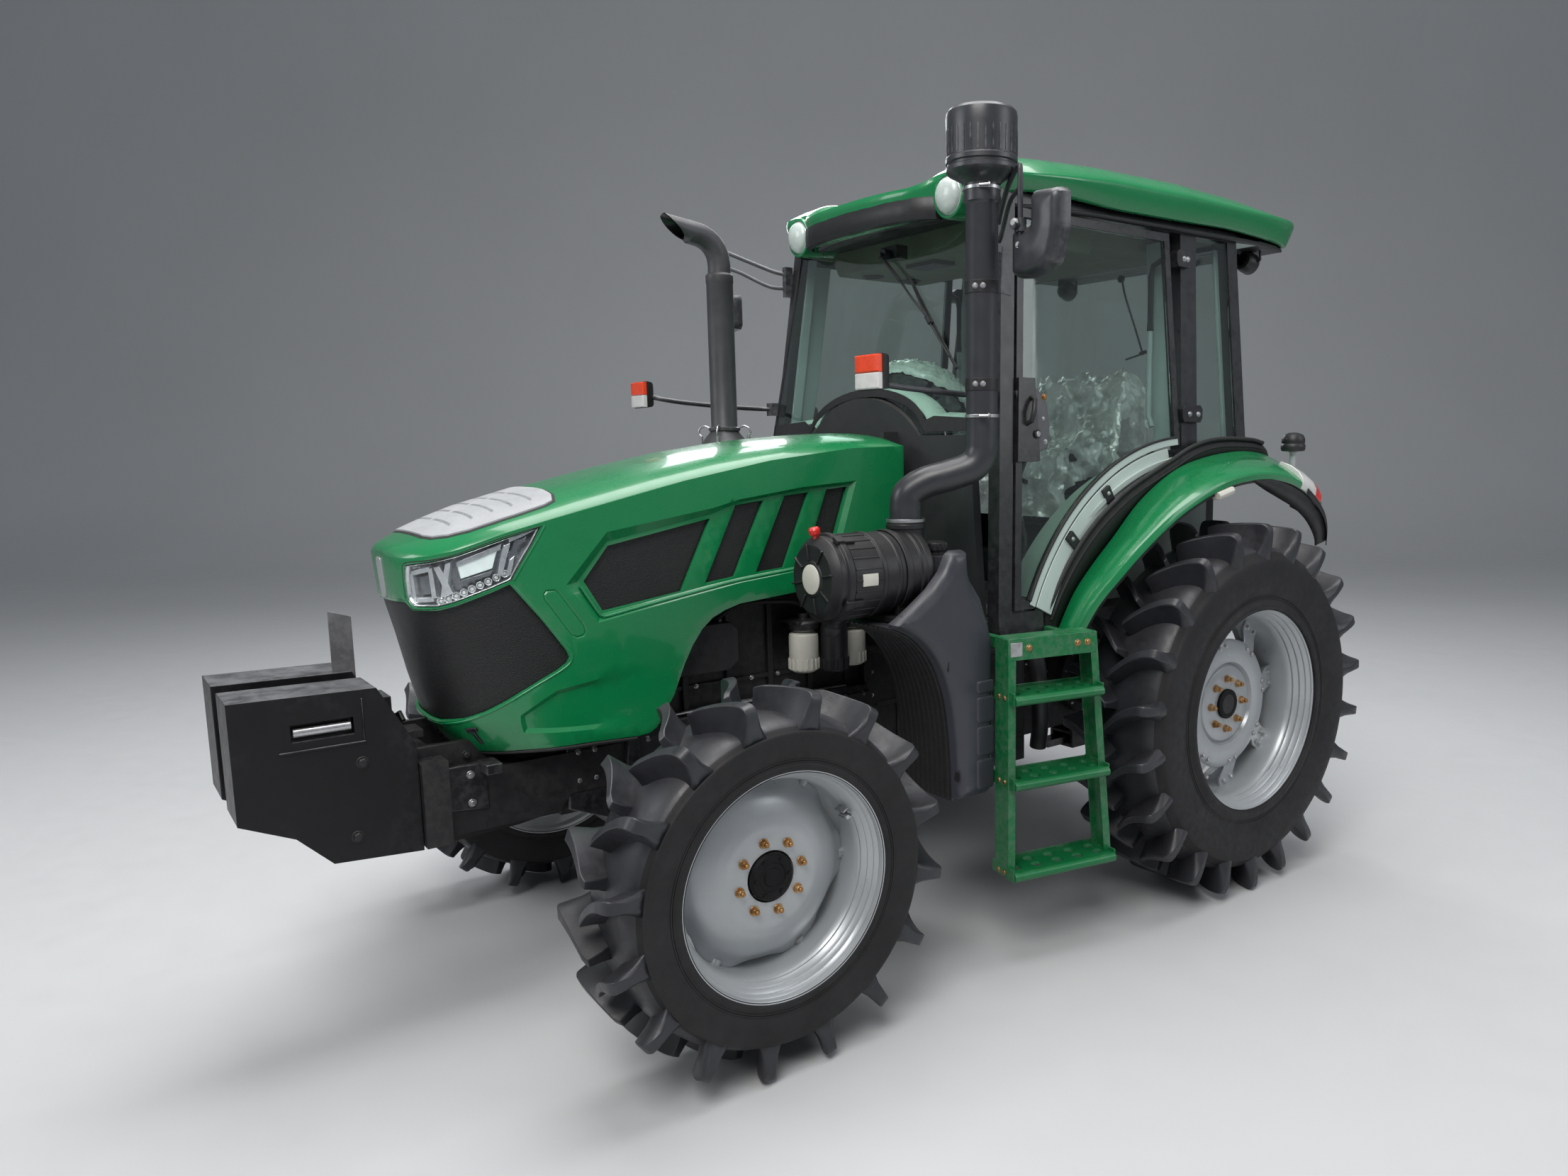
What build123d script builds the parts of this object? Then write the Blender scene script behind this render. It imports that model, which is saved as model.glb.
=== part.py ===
from build123d import *
import os
from math import sin, cos, tan, atan2, radians, degrees, sqrt, pi

os.makedirs("parts", exist_ok=True)

# ---------------------------------------------------------------- driving dimensions (mm)
# Row frame: +X is the tractor's left side, +Y points rearward, +Z is up, the floor is Z 0.
# Y values in the tables below are measured from the rear axle; AX shifts them so that the
# origin is at the centre of the machine's footprint box.
AX = 1215.0            # rear axle's Y in the row frame
WB = 2320.0            # wheelbase
FRONT_END = -3640.0    # front face of the ballast, from the rear axle
REAR_END = 1215.0 * 2 - 3640.0 + 2420.0   # rear end of the lower links, from the rear axle (1210)

F_R, F_W, F_C = 610.0, 363.0, 977.5       # front tyre: radius, width, track half (centre plane)
F_BEAD, F_FLANGE, F_RIM_W = 357.0, 371.0, 322.0
R_R, R_W, R_C = 805.0, 435.0, 1029.5      # rear tyre
R_BEAD, R_FLANGE, R_RIM_W = 434.0, 457.0, 398.0
HUB_F = 1022.0         # outer face of the front wheel disc at the hub
HUB_R = 1056.0         # outer face of the rear wheel disc at the hub
KING_X = 720.0         # kingpin, half track
ARM_Y, ARM_X = 150.0, 680.0   # steering arm eye: behind the axle, half spacing

HOOD_W = 375.0         # hood half width
HINGE_Y, HINGE_Z = -1275.0, 1985.0        # hood hinge
SIDE_X, SIDE_Z, SIDE_K = 875.0, 1300.0, 0.0946   # cab side plane: x = SIDE_X - K (z - SIDE_Z)
CAB_FRONT, CAB_REAR = -1190.0, 450.0
ROOF_Z = 2890.0
ARCH_R = 1085.0        # cab wheel arch radius about the rear axle
DOOR_R = 1134.0        # lower rear edge of the doors, same centre
FEND_R = 1010.0        # fender inner radius

SHAFT = Plane(origin=(0, AX, 0))


def yz(x):             # side plane at x: local x = Y from the rear axle, local y = Z
    return Plane(origin=(x, AX, 0), x_dir=(0, 1, 0), z_dir=(1, 0, 0))


def xz(y):             # cross plane at y: local x = X, local y = Z, normal -Y (forward)
    return Plane(origin=(0, AX + y, 0), x_dir=(1, 0, 0), z_dir=(0, -1, 0))


def xy(z):             # plan plane at z: local x = X, local y = Y from the rear axle
    return Plane(origin=(0, AX, z), x_dir=(1, 0, 0), z_dir=(0, 0, 1))


def side_x(z):
    return SIDE_X - SIDE_K * (z - SIDE_Z)


def save(builder, name):
    builder.part.label = name
    export_step(builder.part, "parts/" + name + ".step")


def poly(points):                  # closed polygon face in the current sketch
    with BuildLine() as edge:
        Polyline(*points, close=True)
    make_face(edge.edges())


def slab(x0, x1, points):          # side profile (y, z) pushed from x0 to x1
    with BuildSketch(yz(x0)) as face:
        poly(points)
    extrude(face.sketch, amount=x1 - x0)


def block(x0, x1, y0, y1, z0, z1):
    slab(min(x0, x1), max(x0, x1), [(y0, z0), (y1, z0), (y1, z1), (y0, z1)])


def rod(p, q, r, mode=Mode.ADD):   # round bar from p to q
    d = Vector(*q) - Vector(*p)
    with BuildSketch(Plane(origin=(p[0], p[1] + AX, p[2]), z_dir=(d.X, d.Y, d.Z))) as face:
        Circle(r)
    extrude(face.sketch, amount=d.length, mode=mode)


# ---------------------------------------------------------------- wheels
# name, axle y, centre z, centre plane x, radius, width, bead r, flange r, rim width, hub face, hub hole r, disc plan
WHEELS = [
    ("front_left", -WB, F_R, F_C, F_R, F_W, F_BEAD, F_FLANGE, F_RIM_W, HUB_F, 84.0, ((84, 0), (175, 0), (262, -18), (302, -58))),
    ("rear_left", 0.0, R_R, R_C, R_R, R_W, R_BEAD, R_FLANGE, R_RIM_W, HUB_R, 66.0, ((66, 0), (165, 0), (190, 10), (285, 10), (376, -58))),
]
for name, wy, wz, cx, rad, wid, bead, flange, rim_w, hub, hole, disc in WHEELS:
    for side, sgn in (("left", 1), ("right", -1)):
        base = name.replace("left", side)
        front = name.startswith("front")
        h = wid / 2
        rw = rim_w / 2
        pl = Plane(origin=(0, AX + wy, wz), x_dir=(sgn, 0, 0), z_dir=(0, -sgn, 0))
        ax = Axis((0, AX + wy, wz), (1, 0, 0))
        with BuildPart() as tyre:
            with BuildSketch(pl):
                with BuildLine():
                    # bead seat, sidewall bulge, shoulder and crown of one cross-section
                    sw = bead + 0.45 * (rad - bead)
                    a = (cx - rw + 14, bead + 12)
                    b = (cx + rw - 14, bead + 12)
                    c = (cx + h, sw)
                    d = (cx + h - 10, rad - 38)
                    e = (cx + h - 60, rad - 4)
                    m = (cx, rad)
                    f = (cx - h + 60, rad - 4)
                    g = (cx - h + 10, rad - 38)
                    k = (cx - h, sw)
                    Polyline(a, b)
                    Line(b, c)
                    Line(c, d)
                    Line(d, e)
                    ThreePointArc(e, m, f)
                    Line(f, g)
                    Line(g, k)
                    Line(k, a)
                make_face()
            revolve(axis=ax)
        save(tyre, base.split("_")[0] + "_tyre_" + side)
        with BuildPart() as rim:
            with BuildSketch(pl):
                t = 9.0
                # barrel outside, left to right, then back along its inside
                out = [(cx - rw, flange), (cx - rw + 6, flange), (cx - rw + 10, bead), (cx - rw + 48, bead - 4),
                       (cx - rw + 75, bead - 34), (cx + rw - 130, bead - 34), (cx + rw - 100, bead - 12),
                       (cx + rw - 48, bead - 4), (cx + rw - 10, bead), (cx + rw - 6, flange), (cx + rw, flange)]
                inn = [(cx + rw, flange - 10), (cx + rw - 12, bead - t - 2), (cx + rw - 48, bead - t - 4),
                       (cx + rw - 100, bead - t - 14), (cx + rw - 128, bead - t - 36), (cx - rw + 77, bead - t - 36),
                       (cx - rw + 50, bead - t - 6), (cx - rw + 14, bead - t - 2), (cx - rw, flange - 10)]
                poly(out + inn)
            revolve(axis=ax)
            with BuildSketch(pl):
                face = [(hub + dx, r) for r, dx in disc]
                face.append((hub + disc[-1][1], bead - t - 32))
                back = [(hub + disc[-1][1] - 14, bead - t - 32)] + [(hub + dx - 14, r) for r, dx in reversed(disc)]
                poly(face + back)
            revolve(axis=ax)
        save(rim, base.split("_")[0] + "_rim_" + side)

# ---------------------------------------------------------------- chassis
with BuildPart(SHAFT) as front_frame:      # two rails, the front bolster and the ballast tongue
    for s in (-1, 1):
        slab(s * 235 - 20, s * 235 + 20, [(-1360, 760), (-1360, 930), (-2500, 905), (-3060, 905), (-3060, 700), (-2700, 700), (-2650, 760)])
    block(-235, 235, -3060, -2960, 700, 905)
    block(-235, 235, -2860, -2800, 720, 900)
    block(-300, 300, -3140, -3060, 690, 965)
    for s in (-1, 1):
        slab(s * 120 - 18, s * 120 + 18, [(-3060, 640), (-3060, 702), (-2800, 722), (-2480, 770), (-2170, 770), (-2170, 700), (-2440, 700), (-2800, 650)])
save(front_frame, "front_frame")

# ballast plates: x from, x to; the same side outline
WEIGHT = [(-3640, 870), (-3640, 1232), (-3245, 1225), (-3143, 1030), (-3143, 680), (-3400, 700), (-3495, 800)]
with BuildPart(SHAFT) as front_weights:
    for x0, x1 in ((-270, -12), (12, 270)):
        slab(x0, x1, WEIGHT)
    for s in (-1, 1):                      # recessed handle slots
        with Locations((s * 262, -3400, 1120)):
            Box(30, 170, 52, mode=Mode.SUBTRACT)
    fillet(front_weights.edges().filter_by(Axis.X).group_by(Axis.Y)[0], 14)
    block(-14, 14, -3600, -3160, 820, 1150)
    rod((-262, -3300, 1000), (262, -3300, 1000), 14)
    block(-78, -70, -3300, -3232, 1200, 1430)   # flat upright in front of the nose
save(front_weights, "front_weights")

with BuildPart(SHAFT) as engine:           # plain mass block
    slab(-185, 185, [(-2760, 945), (-2760, 1430), (-2560, 1500), (-1480, 1560), (-1362, 1500), (-1362, 720), (-1500, 640), (-2060, 640), (-2120, 760), (-2480, 940)])
save(engine, "engine")

with BuildPart(SHAFT) as transmission:
    slab(-210, 210, [(-1358, 640), (-1358, 1060), (-700, 1090), (-500, 1160), (430, 1160), (430, 590), (-460, 560), (-560, 620)])
    fillet(transmission.edges().filter_by(Axis.Y), 40)
    rod((0, 420, 660), (0, 465, 660), 70)
    block(-150, 150, 425, 470, 900, 1120)
    rod((0, 460, 660), (0, 562, 660), 17.45)    # power take-off shaft
save(transmission, "transmission")

with BuildPart(SHAFT) as rear_axle:        # trumpet housings and half shafts
    for s in (-1, 1):
        with BuildSketch(Plane(origin=(0, AX, R_R), x_dir=(s, 0, 0), z_dir=(0, -s, 0))):
            poly([(211, 0), (211, 190), (245, 190), (262, 150), (560, 118), (742, 118), (742, 165), (775, 165),
                  (775, 92), (800, 84), (830, 58), (1040, 58), (1070, 50), (1070, 0)])
        revolve(axis=Axis((0, AX, R_R), (1, 0, 0)))
save(rear_axle, "rear_axle")

with BuildPart(SHAFT) as front_axle:       # beam, differential, kingpin yokes and steering cylinder
    slab(-604, 604, [(-WB - 62, 545), (-WB - 62, 675), (-WB + 62, 675), (-WB + 62, 545)])
    with Locations((60, -WB, 592)):
        Sphere(112)
    block(-96, 96, -WB - 100, -WB + 100, 640, 748)
    for s in (-1, 1):
        block(min(s * 600, s * 636), max(s * 600, s * 636), -WB - 58, -WB + 58, 395, 835)
        block(min(s * 600, s * 780), max(s * 600, s * 780), -WB - 62, -WB + 62, 808, 838)
        block(min(s * 600, s * 780), max(s * 600, s * 780), -WB - 62, -WB + 62, 392, 420)
    rod((-250, -WB + ARM_Y, 478), (250, -WB + ARM_Y, 478), 36)
    for s in (-1, 1):
        block(s * 200 - 18, s * 200 + 18, -WB + 40, -WB + ARM_Y, 455, 560)
    for s in (-1, 1):                      # the steering rod's running bore
        rod((s * 180, -WB + ARM_Y, 478), (s * 260, -WB + ARM_Y, 478), 16.3, Mode.SUBTRACT)
    rod((-200, -WB + ARM_Y, 478), (200, -WB + ARM_Y, 478), 30, Mode.SUBTRACT)
save(front_axle, "front_axle")

for side, s in (("left", 1), ("right", -1)):
    with BuildPart(SHAFT) as knuckle:      # kingpin housing, final drive drum and steering arm
        rod((s * KING_X, -WB, 426), (s * KING_X, -WB, 802), 74)
        rod((s * KING_X, -WB, F_R), (s * (HUB_F - 24), -WB, F_R), 128)
        rod((s * (HUB_F - 40), -WB, F_R), (s * (HUB_F + 4), -WB, F_R), 77)
        block(min(s * 686, s * 716), max(s * 686, s * 716), -WB + 20, -WB + ARM_Y + 6, 502, 532)
        rod((s * ARM_X, -WB + ARM_Y, 500), (s * ARM_X, -WB + ARM_Y, 534), 34)
    save(knuckle, "knuckle_" + side)

with BuildPart(SHAFT) as steering_rod:     # piston rod with an eye under each steering arm
    rod((-ARM_X + 20, -WB + ARM_Y, 478), (ARM_X - 20, -WB + ARM_Y, 478), 16)
    rod((-22, -WB + ARM_Y, 478), (22, -WB + ARM_Y, 478), 29)
    for s in (-1, 1):
        rod((s * ARM_X, -WB + ARM_Y, 460), (s * ARM_X, -WB + ARM_Y, 496), 30)
save(steering_rod, "steering_rod")

# ---------------------------------------------------------------- hood
# side outline (y, z): over the top, down the rear edge and back along the lower edge
HOOD_TOP = [(-3140, 1625), (-3060, 1680), (-2860, 1775), (-2620, 1845), (-2370, 1900), (-2100, 1945), (-1800, 1980), (-1470, 2002), (-1320, 2000), (-1275, 1985)]
HOOD_LOW = [(-1275, 1470), (-1700, 1425), (-1860, 1405), (-2050, 1382), (-2160, 1340), (-2240, 1260), (-2300, 1130), (-2370, 1060), (-2450, 945), (-2800, 970), (-3040, 1030)]
NOSE = [(-3060, 1080), (-3110, 1330), (-3145, 1470)]
# plan outline (x, y) of half the hood
PLAN = [(0, -3150), (170, -3140), (290, -3080), (350, -2960), (375, -2750), (375, -1270), (0, -1270)]
# front outline (x, z) of half the hood
FRONT = [(0, 2010), (180, 1985), (300, 1930), (358, 1820), (375, 1650), (375, 900), (0, 900)]


def hood_solid(inset):
    """Outer body of the hood, each outline drawn in by inset."""
    with BuildPart() as b:
        with BuildSketch(yz(-400)):
            poly(HOOD_TOP + HOOD_LOW + NOSE)
            if inset:
                offset(amount=-inset, kind=Kind.INTERSECTION)
        extrude(amount=800)
        with BuildSketch(xy(800)):
            pts = PLAN + [(-x, y) for x, y in reversed(PLAN[1:-1])]
            poly(pts)
            if inset:
                offset(amount=-inset, kind=Kind.INTERSECTION)
        extrude(amount=1400, mode=Mode.INTERSECT)
        with BuildSketch(xz(-1200)):
            pts = FRONT + [(-x, z) for x, z in reversed(FRONT[1:-1])]
            poly(pts)
            if inset:
                offset(amount=-inset, kind=Kind.INTERSECTION)
        extrude(amount=2100, mode=Mode.INTERSECT)
    return b.part


GRILLE = [(-3400, 1118), (-3050, 1118), (-2940, 1118), (-2710, 1230), (-2680, 1270), (-2840, 1520), (-2930, 1500), (-3110, 1455), (-3400, 1450)]
LAMP = [(-3400, 1470), (-3110, 1470), (-2920, 1518), (-2845, 1555), (-2745, 1700), (-3010, 1650), (-3110, 1615), (-3400, 1600)]
# side vents: corner lists (y, z)
VENTS = [
    [(-2620, 1520), (-2520, 1620), (-2130, 1700), (-2250, 1450), (-2560, 1410)],
    [(-2030, 1745), (-1930, 1758), (-2040, 1482), (-2160, 1470)],
    [(-1820, 1758), (-1720, 1778), (-1850, 1505), (-1950, 1495)],
    [(-1620, 1780), (-1535, 1790), (-1665, 1525), (-1760, 1515)],
]
WALL = 16.0
outer = hood_solid(0)
inner = hood_solid(WALL)
deep = hood_solid(WALL + 14)

with BuildPart() as cutter:
    slab(-HOOD_W + WALL, HOOD_W - WALL, [(-2990, 860), (-2990, 1075), (-2900, 1100), (-2500, 1300), (-1700, 1600), (-1200, 1800), (-1200, 860)])
with BuildPart() as grille_cut:
    slab(-420, 420, GRILLE)
with BuildPart() as lamp_cut:
    for s in (-1, 1):
        slab(min(s * 175, s * 420), max(s * 175, s * 420), LAMP)
with BuildPart() as vent_cut:
    for v in VENTS:
        for s in (-1, 1):
            slab(min(s * 330, s * 420), max(s * 330, s * 420), v)
with BuildPart() as hood:
    add(outer)
    add(inner, mode=Mode.SUBTRACT)
    add(cutter.part, mode=Mode.SUBTRACT)
    add(grille_cut.part, mode=Mode.SUBTRACT)
    add(lamp_cut.part, mode=Mode.SUBTRACT)
    add(vent_cut.part, mode=Mode.SUBTRACT)
    for s in (-1, 1):                      # hinge brackets at the rear
        block(s * 240 - 12, s * 240 + 12, -1330, -1278, 1890, 1975)
save(hood, "hood")

with BuildPart() as headlights:
    add(hood_solid(1))
    add(deep, mode=Mode.SUBTRACT)
    add(lamp_cut.part, mode=Mode.INTERSECT)
save(headlights, "headlights")
with BuildPart() as openings:
    add(grille_cut.part)
    add(vent_cut.part)
with BuildPart() as hood_mesh:        # nose grille and the mesh inserts of the side vents
    add(hood_solid(4))
    add(inner, mode=Mode.SUBTRACT)
    add(openings.part, mode=Mode.INTERSECT)
save(hood_mesh, "hood_mesh")

# ---------------------------------------------------------------- intake and exhaust
PIPE_X, PIPE_Y = 885.0, -1300.0
with BuildPart(SHAFT) as air_cleaner:
    with BuildSketch(Plane(origin=(735, AX, 1492), x_dir=(0, 1, 0), z_dir=(0, 0, 1))):
        poly([(-1955, 0), (-1945, 90), (-1910, 140), (-1865, 158), (-1590, 158), (-1575, 150), (-1510, 150), (-1490, 120), (-1490, 0)])
    revolve(axis=Axis((735, AX, 1492), (0, 1, 0)))
    rod((735, -1540, 1600), (735, -1540, 1690), 62)
    block(560, 600, -1800, -1600, 1180, 1500)
    block(560, 720, -1760, -1640, 1324, 1350)
    block(540, 600, -1760, -1640, 1180, 1200)
save(air_cleaner, "air_cleaner")

with BuildPart(SHAFT) as intake_pipe:      # elbow, upright pipe and pre-cleaner
    with BuildLine(Plane(origin=(0, AX, 0))) as route:
        FilletPolyline((735, -1540, 1692), (735, -1540, 1790), (PIPE_X, PIPE_Y, 1860), (PIPE_X, PIPE_Y, 2060), radius=52)
    with BuildSketch(Plane(origin=(735, AX - 1540, 1692))):
        Circle(58)
    sweep(path=route.line)
    rod((PIPE_X, PIPE_Y, 2050), (PIPE_X, PIPE_Y, 2820), 58)
    rod((PIPE_X, PIPE_Y, 2800), (PIPE_X, PIPE_Y, 2880), 66)
    rod((PIPE_X, PIPE_Y, 2880), (PIPE_X, PIPE_Y, 3105), 127)
    fillet(intake_pipe.faces().sort_by(Axis.Z)[-1].edges(), 14)
save(intake_pipe, "intake_pipe")

EXH_X, EXH_Y = -520.0, -1575.0
with BuildPart(SHAFT) as exhaust:          # silencer beside the hood, stack and curved outlet
    rod((EXH_X, EXH_Y, 1330), (EXH_X, EXH_Y, 1975), 98)
    rod((EXH_X, EXH_Y, 1975), (EXH_X, EXH_Y, 2010), 112)
    rod((EXH_X, EXH_Y, 2010), (EXH_X, EXH_Y, 2660), 58)
    with BuildLine(Plane(origin=(0, AX, 0))) as bend:
        FilletPolyline((EXH_X, EXH_Y, 2655), (EXH_X, EXH_Y, 2800), (EXH_X, EXH_Y - 90, 2850), (EXH_X, EXH_Y - 240, 2862), radius=75)
    with BuildSketch(Plane(origin=(EXH_X, AX + EXH_Y, 2655))):
        Circle(49)
    sweep(path=bend.line)
    with Locations((EXH_X, EXH_Y - 290, 2900)):
        Box(140, 200, 160, rotation=(-38, 0, 0), mode=Mode.SUBTRACT)
    rod((-190, EXH_Y, 1362), (EXH_X, EXH_Y, 1362), 40)
save(exhaust, "exhaust_stack")

# ---------------------------------------------------------------- tank, battery box, ladders
with BuildPart(SHAFT) as fuel_tank:
    with BuildSketch(yz(612)):
        with BuildLine():
            Polyline((-1470, 640), (-1300, 640), (-1300, 1330), (-1325, 1400), (-1335, 1545), (-1440, 1545), (-1450, 1400), (-1480, 1322), (-1760, 1318))
            ThreePointArc((-1760, 1318), (-1575, 1010), (-1470, 640))
        make_face()
    extrude(amount=323)
    # outer shoulder that rises beside the air cleaner
    slab(905, 935, [(-1300, 1290), (-1325, 1400), (-1335, 1545), (-1440, 1545), (-1480, 1450), (-1640, 1370), (-1760, 1318), (-1700, 1220), (-1400, 1200)])
save(fuel_tank, "fuel_tank")

with BuildPart(SHAFT) as battery_box:
    block(-930, -520, -1500, -1300, 690, 1180)
    fillet(battery_box.edges().filter_by(Axis.X), 25)
    block(-900, -540, -1490, -1310, 1180, 1212)
save(battery_box, "battery_box")

STEP_Z = [1035.0, 715.0, 365.0]
STEP_YAW = 12.0
lad_plane = Plane(origin=(950, AX - 1290, 0), x_dir=(cos(radians(-STEP_YAW)), sin(radians(-STEP_YAW)), 0), z_dir=(0, 0, 1))
with BuildPart(lad_plane) as step:
    # local x is outward, local y rearward; rails: y at top, y at bottom
    W_TOP, W_BOT, D = 385.0, 470.0, 95.0
    face_plane = Plane(origin=lad_plane.origin, x_dir=lad_plane.y_dir, z_dir=lad_plane.x_dir)
    with BuildSketch(face_plane):
        poly([(0, 1245), (W_TOP, 1245), (W_TOP, 1180), (W_BOT, 340), (W_BOT - 12, 340), (W_TOP - 34, 1160), (22, 1160), (12, 340), (0, 340)])
    extrude(amount=D)
    for z in STEP_Z:
        w = W_TOP + (W_BOT - W_TOP) * (1180 - z) / 840
        with Locations((D / 2, w / 2, z - 20)):
            Box(D + 60, w, 44)
        with Locations((D / 2, w / 2, z - 30)):
            Box(D + 30, w - 60, 50, mode=Mode.SUBTRACT)
        with Locations((D / 2, w / 2, z - 3)):
            Box(D + 60, w, 10)
    with Locations((-30, W_TOP / 2, 1216)):   # bracket to the cab sill
        Box(100, W_TOP - 20, 10)
with BuildPart() as steps:
    add(step.part)
    add(mirror(step.part, about=Plane.YZ))
save(steps, "steps")

# ---------------------------------------------------------------- cab
PA, PB, PC = 70.0, 110.0, 70.0             # pillar depths along Y
THK = 62.0                                 # pillar thickness across the side plane
# pillar: y front at sill, y front at roof, depth, z foot
PILLARS = [(-1200.0, -1046.3, PA, 1300.0), (-40.0, 31.5, PB, 1905.0), (372.0, 372.0, PC, 1832.0)]
tilt = atan2(SIDE_K, 1.0)


def side_plane(x_off, s):
    """Tilted side plane: local x = Y, local y = height along the slope measured as Z."""
    return Plane(origin=(s * (SIDE_X + x_off), AX, SIDE_Z), x_dir=(0, 1, 0), z_dir=(s * cos(tilt), 0, sin(tilt)))


def side_slab(s, x_off, thick, pts):
    """Panel in the side plane: outer face x_off from it, going inward by thick."""
    p = side_plane(x_off, s)
    up = 1 if p.y_dir.Z > 0 else -1
    k = 1.0 / cos(tilt)
    with BuildSketch(p) as face:
        poly([(y, up * (z - SIDE_Z) * k) for y, z in pts])
    extrude(face.sketch, amount=-thick)


with BuildPart(SHAFT) as cab_frame:
    for s in (-1, 1):
        for y0, y1, dep, z0 in PILLARS:
            side_slab(s, -6, THK, [(y0, z0), (y0 + dep, z0), (y1 + dep, ROOF_Z), (y1, ROOF_Z)])
        # roof rail, sill and lower frame behind the door
        side_slab(s, -6, THK, [(-1050, 2858), (442, 2858), (442, 2904), (-1056, 2904)])
        side_slab(s, -6, THK, [(-1200, 1215), (-962, 1215), (-962, 1302), (-1200, 1302)])
        # arch-following member from the sill up to the rear corner
        p = side_plane(-6, s)
        up = 1 if p.y_dir.Z > 0 else -1
        k = 1.0 / cos(tilt)
        cz = up * (R_R - SIDE_Z) * k
        r0, r1 = ARCH_R + 13, ARCH_R + 38
        a0, a1 = radians(154.5), radians(66)
        with BuildSketch(p):
            with BuildLine():
                def pt(r, a):
                    return (r * cos(a), cz + up * r * sin(a))
                am = (a0 + a1) / 2
                ThreePointArc(pt(r1, a0), pt(r1, am), pt(r1, a1))
                Line(pt(r1, a1), pt(r0, a1))
                ThreePointArc(pt(r0, a1), pt(r0, am), pt(r0, a0))
                Line(pt(r0, a0), pt(r1, a0))
            make_face()
        extrude(amount=-THK)
    # cross members: front and rear roof bars, rear lower bar
    block(-690, 690, -1056, -1000, 2868, 2903)
    block(-690, 690, 378, 440, 2832, 2898)
    block(-790, 790, 378, 440, 1846, 1900)
    # lower rear corner stubs
save(cab_frame, "cab_frame")

with BuildPart(SHAFT) as cab_base:         # floor, firewall with cowl, seat platform, rear wall
    block(-760, 760, -1196, -870, 1225, 1262)
    block(-640, 640, -880, 380, 1225, 1262)
    block(-640, 640, -330, 380, 1262, 1420)
    block(-640, 640, 380, 440, 1225, 1846)
    # firewall
    with BuildSketch(xz(-1196)):
        with BuildLine():
            Polyline((-700, 1985), (-760, 1262), (760, 1262), (700, 1985), (395, 1985))
            ThreePointArc((395, 1985), (0, 2150), (-395, 1985))
            Line((-395, 1985), (-700, 1985))
        make_face()
    extrude(amount=-36)
    for s in (-1, 1):                      # hood hinge brackets
        block(s * 240 - 12, s * 240 + 12, -1268, -1190, 1940, 2002)
save(cab_base, "cab_base")

with BuildPart(SHAFT) as arch_liners:      # wheel arches inside the cab
    for s in (-1, 1):
        x0, x1 = (642, 846) if s > 0 else (-846, -642)
        with BuildSketch(yz(x0)):
            with BuildLine():
                r0, r1 = ARCH_R - 20, ARCH_R
                a0, a1 = radians(150.5), radians(71)
                am = (a0 + a1) / 2
                q = lambda r, a: (r * cos(a), R_R + r * sin(a))
                ThreePointArc(q(r1, a0), q(r1, am), q(r1, a1))
                Line(q(r1, a1), q(r0, a1))
                ThreePointArc(q(r0, a1), q(r0, am), q(r0, a0))
                Line(q(r0, a0), q(r1, a0))
            make_face()
        extrude(amount=x1 - x0)
        # inner wall down to the floor
        w0, w1 = (642, 662) if s > 0 else (-662, -642)
        with BuildSketch(yz(w0)):
            with BuildLine():
                ThreePointArc(q(r1, a0), q(r1, am), q(r1, a1))
                Polyline(q(r1, a1), (q(r1, a1)[0], 1264), (q(r1, a0)[0], 1264), q(r1, a0))
            make_face()
        extrude(amount=w1 - w0)
save(arch_liners, "arch_liners")

# door outline (y, z): front edge follows the A pillar, lower rear corner follows the arch
DG = 9.0                                   # gap round the door
AF0, AF1 = PILLARS[0][0] + PA, PILLARS[0][1] + PA
DH_Y = -58.0                               # door hinge line, just ahead of the B pillar


def door_outline(inset):
    k = (AF1 - AF0) / (ROOF_Z - 1300)
    fy = lambda z: AF0 + k * (z - 1300) + DG + inset
    z_lo, z_hi = 1312.0 + inset, 2846.0 - inset
    rr = DOOR_R + inset
    yl = -sqrt(rr ** 2 - (z_lo - R_R) ** 2)
    yr = DH_Y - inset
    zr = R_R + sqrt(rr ** 2 - yr ** 2)
    return fy, z_lo, z_hi, rr, yl, yr, zr


def door_face(s, inset):
    fy, z_lo, z_hi, rr, yl, yr, zr = door_outline(inset)
    p = side_plane(0, s)
    up = 1 if p.y_dir.Z > 0 else -1
    k = 1.0 / cos(tilt)
    L = lambda y, z: (y, up * (z - SIDE_Z) * k)
    am = (atan2(z_lo - R_R, yl) + atan2(zr - R_R, yr)) / 2
    with BuildLine() as edge:
        Polyline(L(yl, z_lo), L(fy(z_lo), z_lo), L(fy(z_hi), z_hi), L(yr, z_hi), L(yr, zr))
        ThreePointArc(L(yr, zr), L(rr * cos(am), R_R + rr * sin(am)), L(yl, z_lo))
    make_face(edge.edges())


for side, s in (("left", 1), ("right", -1)):
    with BuildPart(SHAFT) as door:         # edge frame with its hinge ears and latch plate
        with BuildSketch(side_plane(0, s)):
            door_face(s, 0)
        extrude(amount=-26)
        with BuildSketch(side_plane(6, s)):
            door_face(s, 34)
        extrude(amount=-40, mode=Mode.SUBTRACT)
        side_slab(s, 12, 18, [(AF0 + 66, 1880), (AF0 + 186, 1880), (AF0 + 186, 2200), (AF0 + 98, 2200)])
    save(door, "door_" + side)
    with BuildPart(SHAFT) as glass:
        with BuildSketch(side_plane(-9, s)):
            door_face(s, 36.0)
        extrude(amount=-6)
    save(glass, "door_glass_" + side)

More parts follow.
